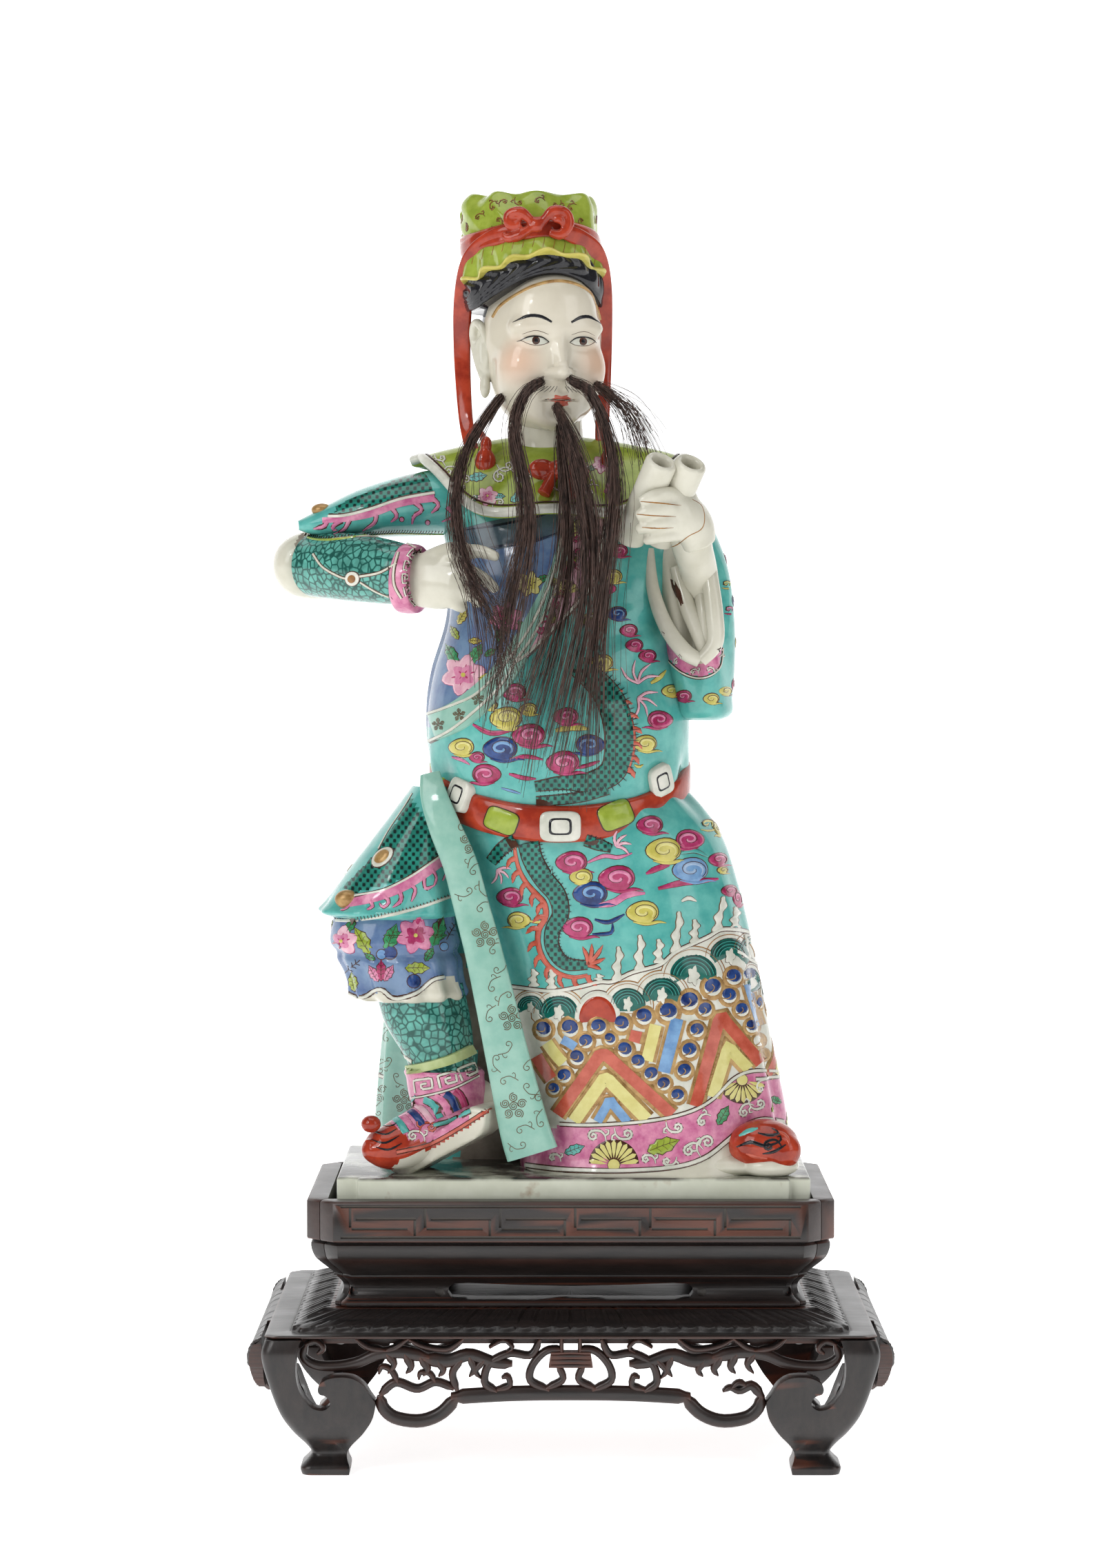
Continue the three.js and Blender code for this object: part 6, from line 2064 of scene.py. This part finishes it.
leaves(on_cape, [
    (250, 140, 36, turquoise, 10), (414, 216, 40, turquoise, 30), (196, 236, 26, turquoise, 60),
    (400, 60, 24, leaf_green, 80),
])
behind_cape = Brush(cape_piece, [cape], lambda u, v: (Vector((u, v, 500)), Vector((0, 0, -1))))
for n, a in enumerate(np.radians([20, 50, 80, 110, 140, 165])):
    u, v = -7 + 32 * math.cos(a), 3 + 20 * math.sin(a)
    if n % 2:
        peony(behind_cape, u, v, 3.2, (pink, magenta)[n % 4 // 2], ((200, leaf_green), (20, turquoise)))
    else:
        leaf(behind_cape, u, v, 3, turquoise, math.degrees(a))
cape_piece.make("figure_cape", ["porcelain_figure"], 50)


# Porcelain figure: head, cap and ribbons
# The head is modelled smoothly and left in cream glaze with a soft blush, turned a little to one side.
# The soft cap has a crumpled black band, a leafy frill, a red ribbon tied in a bow, and two ribbon ends.
HEAD_PLACE = np.array([-9.5, -1, 369])
HEAD_TURN = 0.3
CHIN, MOUTH, NOSE_BASE, EYES, BROWS = -26, -16.4, -9, 3, 8


def head_point(points):
    """From the head's own upright frame, face forwards, to its place and turn on the figure."""
    points = np.asarray(points, float)
    c, s = math.cos(HEAD_TURN), math.sin(HEAD_TURN)
    spin = np.array([[c, -s, 0], [s, c, 0], [0, 0, 1]])
    return points @ spin.T + HEAD_PLACE


def egg(p, x, y, z, a, b, c):
    q = (p - (x, y, z)) / (a, b, c)
    length = np.linalg.norm(q, axis=-1)
    return (length - 1) * min(a, b, c)


def bar(p, start, end, thick_start, thick_end):
    start, end = np.array(start, float), np.array(end, float)
    along = np.clip(((p - start) @ (end - start)) / ((end - start) @ (end - start)), 0, 1)
    away = np.linalg.norm(p - start - along[..., None] * (end - start), axis=-1)
    return away - (thick_start + (thick_end - thick_start) * along)


def press(first, second, blend):
    """Joins two lumps of clay with a soft seam."""
    mix = np.clip(0.5 + 0.5 * (second - first) / blend, 0, 1)
    return second * (1 - mix) + first * mix - blend * mix * (1 - mix)


def dig(clay, tool, blend):
    return -press(-clay, tool, blend)


def head_clay(p):
    """How far a point lies outside the modelled head, in millimetres."""
    p = np.concatenate([np.abs(p[..., :1]), p[..., 1:]], -1)
    clay = egg(p, 0, 1.5, 6, 20.2, 22.4, 25)
    clay = press(clay, egg(p, 0, -5, -12, 17.2, 15.4, 14.2), 6)
    clay = press(clay, egg(p, 9.4, -11.4, -5.4, 8.4, 7.6, 8.6), 5)
    clay = press(clay, egg(p, 0, -15.4, -21.6, 6.4, 4.8, 4.4), 5)
    clay = press(clay, egg(p, 0, -15, 15, 12.5, 7, 10), 5)
    clay = press(clay, egg(p, 8, -16.8, BROWS - 0.4, 7, 3, 2.6), 4)
    clay = press(clay, egg(p, 0, -18.2, -14.6, 6.6, 3.8, 4.6), 3)
    clay = dig(clay, egg(p, 8.2, -22.6, EYES, 5.6, 3.2, 2.8), 2.8)
    clay = press(clay, egg(p, 8.2, -16.4, EYES, 5.2, 3.7, 2.8), 1.2)
    clay = press(clay, bar(p, (0, -18.8, BROWS - 2), (0, -23.6, NOSE_BASE + 1.6), 1.5, 2.1), 2.4)
    clay = press(clay, egg(p, 0, -23.8, NOSE_BASE + 1.4, 2.8, 2.8, 2.2), 1.4)
    clay = press(clay, egg(p, 2.9, -21.4, NOSE_BASE + 1.2, 1.8, 2.2, 1.7), 1)
    clay = dig(clay, egg(p, 1.6, -22.8, NOSE_BASE - 1.2, 0.8, 1.2, 0.9), 0.5)
    clay = dig(clay, bar(p, (0, -22.8, NOSE_BASE - 1.4), (0, -22.4, MOUTH + 3), 0.7, 0.9), 1.2)
    clay = press(clay, bar(p, (0, -20.9, MOUTH + 1.1), (5.4, -19.1, MOUTH + 0.3), 1.25, 0.6), 0.7)
    clay = press(clay, bar(p, (0, -20.7, MOUTH - 1.3), (4.6, -19.3, MOUTH - 0.6), 1.45, 0.6), 0.7)
    clay = dig(clay, bar(p, (0, -22.3, MOUTH), (6, -19.9, MOUTH - 0.1), 0.3, 0.25), 0.5)
    return dig(clay, egg(p, 0, -21.2, MOUTH - 4.6, 3.6, 1.6, 1.3), 1.4)


def head_skin():
    levels = np.concatenate([
        np.linspace(CHIN - 0.6, -8, 50), np.linspace(-7.6, 12, 56), np.linspace(12.9, 30.6, 15)
    ])
    turn = full_turn(190, -np.pi)
    turn = turn + 0.35 * np.sin(2 * turn) + 0.25 * np.sin(turn)
    heading = np.stack([np.sin(turn), -np.cos(turn), 0 * turn], -1)[None]
    centre = np.zeros((len(levels), 1, 3))
    centre[:, 0, 1] = np.interp(levels, [-27, -14, 4], [-12, -6, -1])
    centre[:, 0, 2] = levels
    outside = np.full((len(levels), len(turn)), 34.0)
    inside = np.zeros_like(outside)
    for reach in np.linspace(0.3, 33, 60):
        within = head_clay(centre + heading * reach) < 0
        inside = np.where(within, reach, inside)
    outside = inside + 0.6
    for _ in range(9):
        middle = (inside + outside) / 2
        within = head_clay(centre + heading * middle[..., None]) < 0
        inside, outside = np.where(within, middle, inside), np.where(within, outside, middle)
    points, faces = skin(centre + heading * inside[..., None])
    return head_point(points), faces


def ear_part(side):
    lobes = fused(
        [
            ball(side * 17.6, 3.5, -1, 3.6, 4, 8.6),
            ball(side * 19.2, 3, 1, 2, 4.4, 8),
            tube([
                (side * 19, 0, 3, 1.3), (side * 21, 1, 8.6, 1.5), (side * 22, 4.6, 10, 1.6),
                (side * 22, 7.4, 6, 1.5), (side * 21, 6, -2, 1.4), (side * 19.6, 3.4, -8, 1.5),
            ], 40, 12),
            ball(side * 19.4, 2.2, -11, 1.8, 2.5, 4.2),
            tube([
                (side * 20, 2, 5, 1.1), (side * 21, 4.6, 3, 1.2), (side * 20.6, 4.2, -3, 1.1),
                (side * 19.6, 1.8, -5, 1),
            ], 24, 10),
        ],
        0.6,
        3,
    )
    return head_point(lobes[0]), lobes[1]


def face_glaze():
    """Cream glaze with a soft orange blush on the cheeks and above the eyes."""
    finish = enamel("face_glaze", (0.68, 0.63, 0.52), (0.62, 0.57, 0.46), 60, 0.1)
    where = on_object(finish)
    for x, z, reach, strength in (
        (-12.4, -4, 11, 0.55), (12.4, -4, 11, 0.55), (-9, 8, 7, 0.25), (9, 8, 7, 0.25),
    ):
        middle = head_point((x, -15, z)) * MILLIMETRE
        away = add_node(finish, "VectorMath", "Value", {0: where, 1: middle}, operation="DISTANCE")
        near, far = MILLIMETRE, reach * MILLIMETRE
        fade = span(finish, away, far, near, 0, strength, interpolation_type="SMOOTHSTEP")
        overlay(finish, fade, (0.72, 0.33, 0.18))
    return finish


def cap_part(rows, levels, count=150):
    """Part of the cap, from rows of height, half widths, rise at the brow, ruffle depth, ruffles, x and y."""
    turn = full_turn(count, -np.pi)
    front = np.clip(np.cos(turn + np.pi / 2 - HEAD_TURN), 0, 1)
    rings = []
    for z, a, b, rise, ruffle, ruffles, x, y in smooth_rows(rows, levels):
        wave = ruffle * np.sin(ruffles * turn + 0.7 * np.sin(3 * turn))
        height = z + rise * front**2 + 0.5 * wave
        rings.append(np.stack([x + (a + wave) * np.cos(turn), y + (b + wave) * np.sin(turn), height], 1))
    return skin(rings)


face = head_skin()
ears = [ear_part(-1), ear_part(1)]
neck = skin(rings_at([
    (330, -7, 3, 14.5, 14, 2), (338, -8, 3, 13, 12.6, 2), (346, -8.6, 2.4, 12.6, 12.4, 2),
    (356, -9, 2, 12.6, 12.6, 2),
], 30, 80))
band_rows = [
    (383.4, 21, 23, 11.4, 0, 9, -12.2, 3.4), (383.2, 22.8, 24.6, 11.4, 0, 9, -12.2, 3.4),
    (385.5, 23.6, 25.2, 11, 0.25, 17, -12.3, 3.5), (389, 23.9, 25.4, 10, 0.45, 21, -12.5, 3.7),
    (394, 23.6, 25.2, 8, 0.4, 17, -12.7, 4), (400, 22.6, 24, 4, 0, 9, -13, 4.4),
]
black_band = cap_part(band_rows, 40)
ribbon_rows = [
    (401.4, 22, 24, 4.4, 0, 5, -13.2, 4.6), (402.4, 23.8, 26, 4.4, 0, 5, -13.2, 4.6),
    (406.6, 23.9, 25.8, 4, 0.15, 9, -13.4, 5), (408.2, 23.5, 25, 4, 0.15, 9, -13.5, 5.2),
    (409, 22, 23, 4, 0, 5, -13.6, 5.3),
]
ribbon_band = cap_part(ribbon_rows, 24)
frill_rows = [
    (404, 21, 22.6, 3, 0.2, 13, -13.2, 4.6), (402, 23.4, 25.6, 4.4, 0.3, 13, -13.2, 4.4),
    (398, 23.8, 26.8, 6.4, 0.6, 13, -13, 3.8), (394.4, 24, 27.6, 8, 1.1, 13, -12.9, 3.2),
    (392.9, 24.2, 28, 8.8, 1.3, 13, -12.8, 3.2), (392.8, 23.6, 27.2, 8.8, 1.3, 13, -12.8, 3.2),
    (395, 22.8, 26, 8, 0.8, 13, -12.9, 3.4), (399, 21.6, 24, 6, 0.2, 13, -13, 4),
]
frill = cap_part(frill_rows, 36, 240)
rim_rows = [
    (392.4, 24.3, 28.2, 8.8, 1.3, 13, -12.8, 3.2), (393, 24.8, 28.7, 8.8, 1.3, 13, -12.8, 3.2),
    (393.6, 24.4, 28.2, 8.6, 1.3, 13, -12.8, 3.2), (393, 23.8, 27.6, 8.8, 1.3, 13, -12.8, 3.2),
]
frill_rim = cap_part(rim_rows, 10, 240)
crown_rows = [
    (400, 22.6, 24, 0, 0, 9, -13.4, 5), (403, 22.8, 24.2, 0, 0.5, 15, -13.4, 5),
    (408, 22.7, 23.6, 0, 0.45, 11, -13.7, 5.4), (414, 22.9, 22, 0, 0.4, 9, -14, 6),
    (418.6, 22.6, 19.8, 0, 0.7, 8, -14, 6.6), (421.6, 20.6, 17.4, 0, 1.0, 8, -13.6, 7),
    (422.4, 18.6, 15.4, 0, 0.9, 8, -13.6, 7), (420.6, 15.4, 12.6, 0, 0.5, 8, -13.6, 7),
    (418.6, 9, 8, 0, 0, 8, -13.6, 7),
]
crown = cap_part(crown_rows, 56)
bow = fused(
    [
        ball(-11, -21.4, 410.4, 2.6, 2, 2.8),
        tube([
            (-13, -21.4, 411.6, 1.5), (-16.5, -21.6, 414.6, 1.9), (-20.4, -20.6, 413.6, 1.9),
            (-20, -20.8, 410.2, 1.7), (-16.4, -21.4, 411, 1.5),
        ], 40, 14),
        tube([
            (-13, -21.4, 409.6, 1.4), (-16.6, -21.6, 407, 1.8), (-20.6, -20.6, 406, 1.6),
            (-22.4, -19.8, 407.6, 1.2),
        ], 24, 14),
        tube([
            (-9, -21.6, 411.6, 1.5), (-6, -21.6, 415, 1.8), (-1.8, -20.6, 414.4, 1.9),
            (-0.6, -20.2, 410.6, 1.9), (-3.4, -21, 407.2, 1.8), (-7.2, -21.6, 408, 1.4),
        ], 44, 14),
        tube([(-5.6, -21.6, 411.4, 1), (-4, -22, 412.4, 1.2), (-2.8, -21.8, 410.8, 1)], 12, 12),
    ],
    0.58,
)
ribbon_left = tube([
    (-17, -21, 408.6, 2.6), (-26, -16, 406, 3.2), (-33, -8, 400, 3.4), (-36, 0, 388, 3.3),
    (-36.6, 4, 370, 2.9), (-35.6, 4, 350, 2.5), (-34, 0, 340, 2.4), (-32, -6, 334, 2.4),
], 90, 30, 0.34, (0.25, 1, 0.1), 2.6)
ribbon_right = tube([
    (-3, -21, 408.6, 2.4), (3, -16, 406.4, 3), (8.4, -8, 402, 3.2), (11, 0, 392, 3), (11.4, 5, 374, 2.8),
    (11, 6, 352, 2.5), (10.6, 1, 341, 2.4), (11, -8, 334, 2.4),
], 90, 30, 0.34, (-0.25, 1, 0.1), 2.6)
tassels = [fused([
    ball(-28.5, -13, 332.6, 3.6, 2.6, 4.2), ball(-28.2, -13, 338, 2, 1.8, 3),
    tube([(-32, -4, 345, 1), (-30, -9, 342, 1.2), (-28.4, -12.6, 339, 1.6)], 10, 10),
], 0.5)]
tassels.append(fused([ball(13, -13, 333, 3, 2.4, 3.8), ball(12.4, -12, 338, 1.8, 1.6, 2.6)], 0.5))
head = Piece()
skin_glaze = face_glaze()
face_middles = np.array([face[0][list(corners)].mean(0) for corners in face[1]]) - HEAD_PLACE
behind = face_middles @ (-math.sin(HEAD_TURN), math.cos(HEAD_TURN), 0)
across = face_middles @ (math.cos(HEAD_TURN), math.sin(HEAD_TURN), 0)
hair_grows = (behind + 0.3 * face_middles[:, 2] > 5) & (face_middles[:, 2] > -13 + 0.02 * across**2)
head.add(face, [black if dark else skin_glaze for dark in hair_grows])
for ear in ears:
    head.add(ear, cream)
head.add(neck, cream)
head.add(black_band, black)
head.add(ribbon_band, iron_red)
head.add(frill, yellow_green)
head.add(frill_rim, yellow)
head.add(crown, yellow_green)
for part in [bow, ribbon_left, ribbon_right] + tassels:
    head.add(part, iron_red)


def face_rays(u, v):
    """Straight at the face, in the head's own frame: millimetres across and up."""
    return Vector(head_point((u, -60, v))), Vector((-math.sin(HEAD_TURN), math.cos(HEAD_TURN), 0))


# calm brows, lidded eyes, lips and a few fine whisker strokes, all of them even on both sides
on_face = Brush(head, [face], face_rays)


def mirrored(places, side):
    return [(side * u, v) for u, v in places]


for side in (-1, 1):
    brow = [(3.4, BROWS + 1.2), (7, BROWS + 3), (11, BROWS + 3.2), (15.4, BROWS + 1.2)]
    on_face.line(mirrored(brow, side), 1.5, black, 0.12, (0.6, 0.15), 0.4)
    almond = [
        (3.6, EYES - 0.3), (5.6, EYES + 1.1), (8.4, EYES + 1.6), (11, EYES + 1.2), (13, EYES + 0.2),
        (10.6, EYES - 1), (8, EYES - 1.4), (5.4, EYES - 1.1),
    ]
    on_face.patch(mirrored(almond, side), white, 0.06)
    on_face.patch(on_face.at(side * 8.2, EYES + 0.15, 1)(ring_points(16, 1.5, 1.45)), brown_line, 0.12)
    on_face.patch(on_face.at(side * 8.2, EYES + 0.2, 1)(ring_points(12, 0.75, 0.75)), black, 0.16)
    on_face.line(mirrored(almond[:5] + [(13.8, EYES - 0.1)], side), 0.6, black, 0.2, (0.5, 0.3), 0.4)
    on_face.line(mirrored(almond[4:] + almond[:1], side), 0.24, brown_line, 0.12, (1, 1), 0.4)
    fold = [(4, EYES + 2.2), (8.4, EYES + 3.4), (12.6, EYES + 2.2)]
    on_face.line(mirrored(fold, side), 0.24, brown_line, 0.08, (0.4, 0.4), 0.4)
    for n in range(5):
        whisker = [(1.4 + n, MOUTH + 4.4), (2 + 1.3 * n, MOUTH + 3.3), (2.6 + 1.6 * n, MOUTH + 2.4)]
        on_face.line(mirrored(whisker, side), 0.26, black, 0.06, (1, 0.4), 0.3)
upper_lip = [
    (-5, MOUTH + 0.2), (-2.2, MOUTH + 1.6), (0, MOUTH + 1.1), (2.2, MOUTH + 1.6), (5, MOUTH + 0.2), (0, MOUTH)
]
lower_lip = [
    (-4.4, MOUTH - 0.3), (0, MOUTH - 0.3), (4.4, MOUTH - 0.3), (2.6, MOUTH - 1.9), (0, MOUTH - 2.4),
    (-2.6, MOUTH - 1.9),
]
on_face.patch(upper_lip, coral_red, 0.1)
on_face.patch(lower_lip, coral_red, 0.1)
on_face.line(
    [(-5.2, MOUTH + 0.1), (0, MOUTH - 0.2), (5.2, MOUTH + 0.1)], 0.3, brown_line, 0.14, (0.4, 0.4), 0.4,
)
hairline = [(-18.8, 11.6), (-16.4, 15.8), (-9.6, 20.8), (0, 23), (9.6, 20.8), (16.4, 15.8), (18.8, 11.6)]
on_face.line(hairline, 1.3, gold, 0.5)

# brown and gold scrolls on the crown, in clusters, and veins on the frill
on_crown = Brush(head, [crown, frill], lambda u, v: (Vector((u, -90, v)), Vector((0, 1, 0))))
for u, v, turn, flip in (
    (-31, 414, 30, 1), (-28, 409, 200, -1), (-26, 417, 90, 1), (-22, 419, 20, -1), (-17, 418.6, 150, 1),
    (-11, 419, 30, 1), (-5, 418, 200, -1), (0, 417, 60, 1), (3.6, 413, 100, -1), (4.6, 408, 30, 1),
    (-33, 406, 80, 1), (-24, 412.6, 300, 1),
):
    scroll(on_crown, u, v, 1.5, ochre, turn, flip, 0.4)
round_crown = Brush(head, [crown], round_rays(-13.5, 6, 23))
for n in range(12):
    leaf(round_crown, 36 + 7.4 * n, 413 + 1.6 * (-1) ** n, 1.8, ochre, 55 + 70 * (n % 2))
round_hair = Brush(head, [face], round_rays(HEAD_PLACE[0], HEAD_PLACE[1], 20))
for n in range(15):
    u = 42 + 3.2 * n
    round_hair.line([
        (u, 379), (u + 0.1 * (64 - u), 368), (u + 0.26 * (64 - u), 360),
    ], 0.7, slate_shadow_and_hair, 0.2, (0.6, 0.3), 1.4)
for n in range(13):
    u = -33 + 3.4 * n
    rise = 8 * math.cos((u + 13) / 23) ** 2
    on_crown.line([
        (u, 395 + rise), (u + 0.6, 398 + rise), (u + 0.2, 401 + 0.7 * rise),
    ], 0.3, ochre, 0.1, (1, 0.3), 0.5)
head.make("figure_head", ["porcelain_figure"], 50)


# Beard of natural hair
# Six tufts of dark hair, each glued into a small hole in the porcelain. Every strand is loose and differs.
natural_hair = new_finish("dark_natural_hair")
lengthwise = stretched(natural_hair, on_object(natural_hair), (1, 1, 0.06))
strands = noise(natural_hair, lengthwise, 900)
tone = ramp(natural_hair, strands, 0.35, (0.026, 0.017, 0.014), 0.7, (0.15, 0.09, 0.072))
surface(natural_hair, {"Base Color": tone, "Roughness": 0.42, "Specular IOR Level": 0.35})
TUFTS = {
    # root, strands, and the guides that they wander between
    "hair_temple_right": (
        (-27.4, -17.5, 351), 150,
        [
            [(-33, -26, 340), (-38.5, -37, 320), (-37.6, -47, 300), (-33, -49, 276)],
            [
                (-33.5, -26, 338), (-40, -36, 322), (-38.6, -47, 300), (-31, -51, 286), (-17, -54, 276),
                (-11, -55, 256), (-9, -54, 236),
            ],
            [(-32, -24, 340), (-37, -35, 325), (-34.6, -47, 300), (-30, -50, 270), (-30, -51, 246)],
        ],
    ),
    "hair_moustache_right": (
        (-9.8, -23.6, 358.6), 180,
        [
            [
                (-15, -29, 355), (-19, -35, 344), (-15.6, -42, 326), (-15, -48, 308), (-24, -51, 290),
                (-28.6, -52, 268), (-30, -52, 246),
            ],
            [
                (-14, -29, 355), (-17.5, -36, 342), (-12, -44, 322), (-11, -51, 300), (-17.6, -54, 280),
                (-26, -54, 256),
            ],
            [
                (-15.6, -28, 355), (-20, -35, 342), (-17, -43, 318), (-17, -50, 296), (-13, -54, 270),
                (-14, -54, 244),
            ],
        ],
    ),
    "hair_moustache_left": (
        (1.2, -24.6, 358.4), 180,
        [
            [
                (6, -29, 356), (11.4, -35, 346), (15, -42, 330), (14, -50, 308), (9.6, -55, 284),
                (11.4, -55, 250), (11.6, -52, 224),
            ],
            [
                (6.6, -29, 356), (13, -35, 345), (18, -42, 328), (15, -51, 300), (12.6, -55, 270),
                (13.4, -54, 240),
            ],
            [(6, -29, 356), (10.6, -35, 344), (12.4, -43, 324), (11, -52, 296), (4, -56, 262), (2, -56, 232)],
        ],
    ),
    "hair_lower_lip": (
        (-4.2, -22.4, 350.4), 210,
        [
            [(-2, -28, 345), (2, -38, 334), (6.4, -46, 316), (6, -54, 290), (-1, -57, 262), (-7, -57.6, 236)],
            [
                (-2.6, -28, 345), (-0.6, -37, 332), (2, -46, 312), (1.6, -54, 290), (-5, -57, 262),
                (-9.6, -57, 240),
            ],
            [(-1.6, -28, 345), (4, -38, 334), (9, -46, 314), (8.6, -54, 286), (4, -57, 258), (-1, -57, 230)],
        ],
    ),
    "hair_chin": (
        (-3.6, -19.8, 343.6), 150,
        [
            [
                (-3, -28, 336), (-1.2, -38, 322), (-1, -47, 302), (-6, -52, 280), (-13.6, -54.4, 256),
                (-19, -54, 236),
            ],
            [(-3.6, -28, 336), (-4, -38, 320), (-5, -47, 300), (-11, -52.6, 276), (-21, -54, 250)],
            [(-3, -28, 336), (0, -38, 320), (1.6, -48, 298), (-1.6, -55, 274), (-8, -56, 250), (-11, -56, 228)],
        ],
    ),
    "hair_jaw_left": (
        (9.6, -15, 357.4), 100,
        [
            [(14.4, -21, 354), (20, -27, 349), (24.6, -32, 341), (27, -36, 333)],
            [(14, -21, 354), (18.6, -27, 347), (21, -33, 337), (21, -37, 329)],
            [(15, -20, 354.6), (22, -26, 351), (28, -31, 345), (33, -34, 337)],
        ],
    ),
}


def strand(line, radius):
    """One hair as a thin three-sided thread."""
    along = directions(np.gradient(line, axis=0))
    side = directions(np.cross(along, (0.3, 1, 0.1)))
    up = np.cross(along, side)
    turn = np.array([0, 2.094, 4.189])
    width = radius * np.linspace(1.0, 0.7, len(line))[:, None, None]
    around = side[:, None] * np.cos(turn)[:, None] + up[:, None] * np.sin(turn)[:, None]
    return line[:, None] + width * around


STEPS, LOCKS = 26, 12
for number, (node, (root, count, guides)) in enumerate(TUFTS.items()):
    chance = np.random.default_rng(40 + number)
    place, facing, _, _ = on_face.clay.find_nearest(root)
    root = np.array(place - 0.8 * facing)
    whole = [smooth_rows([root, place + 2.2 * facing, *guide], STEPS) for guide in guides]
    tuft = Piece()
    locks = []
    for _ in range(LOCKS):
        share = chance.dirichlet([0.45] * len(guides))
        sway = chance.normal(0, (1.9, 1.5, 2.4), 3)
        locks.append((
            share, sway, chance.normal(0, 1.3, 3), chance.uniform(0, 6.28, 3), chance.uniform(3, 8, 3)
        ))
    reach = np.linspace(0, 1, STEPS)[:, None]
    for n in range(count):
        share, sway, depth, start, beat = locks[n % LOCKS]
        share = 0.78 * share + 0.22 * chance.dirichlet([1.0] * len(guides))
        line = sum(part * guide for part, guide in zip(share, whole))
        stray = 3.4 if n % 8 == 0 else 1.0
        line = line + chance.normal(0, 0.6, 3) * np.minimum(1, 0.35 + reach * 6)
        line = line + (sway + chance.normal(0, 1.35, 3) * stray) * reach**1.3
        line = line + depth * np.sin(start + reach * beat) * reach - reach**2 * (0, 0, chance.uniform(0, 10))
        kept = (STEPS - 1) * chance.uniform(0.6, 1.0) ** 0.7 * np.linspace(0, 1, 17) ** 1.2
        line = np.stack([np.interp(kept, np.arange(STEPS), line[:, k]) for k in range(3)], 1)
        tuft.add(skin(strand(line, chance.uniform(0.085, 0.135))), natural_hair)
    tuft.make(f"tuft_{node[5:]}", [node], 180)
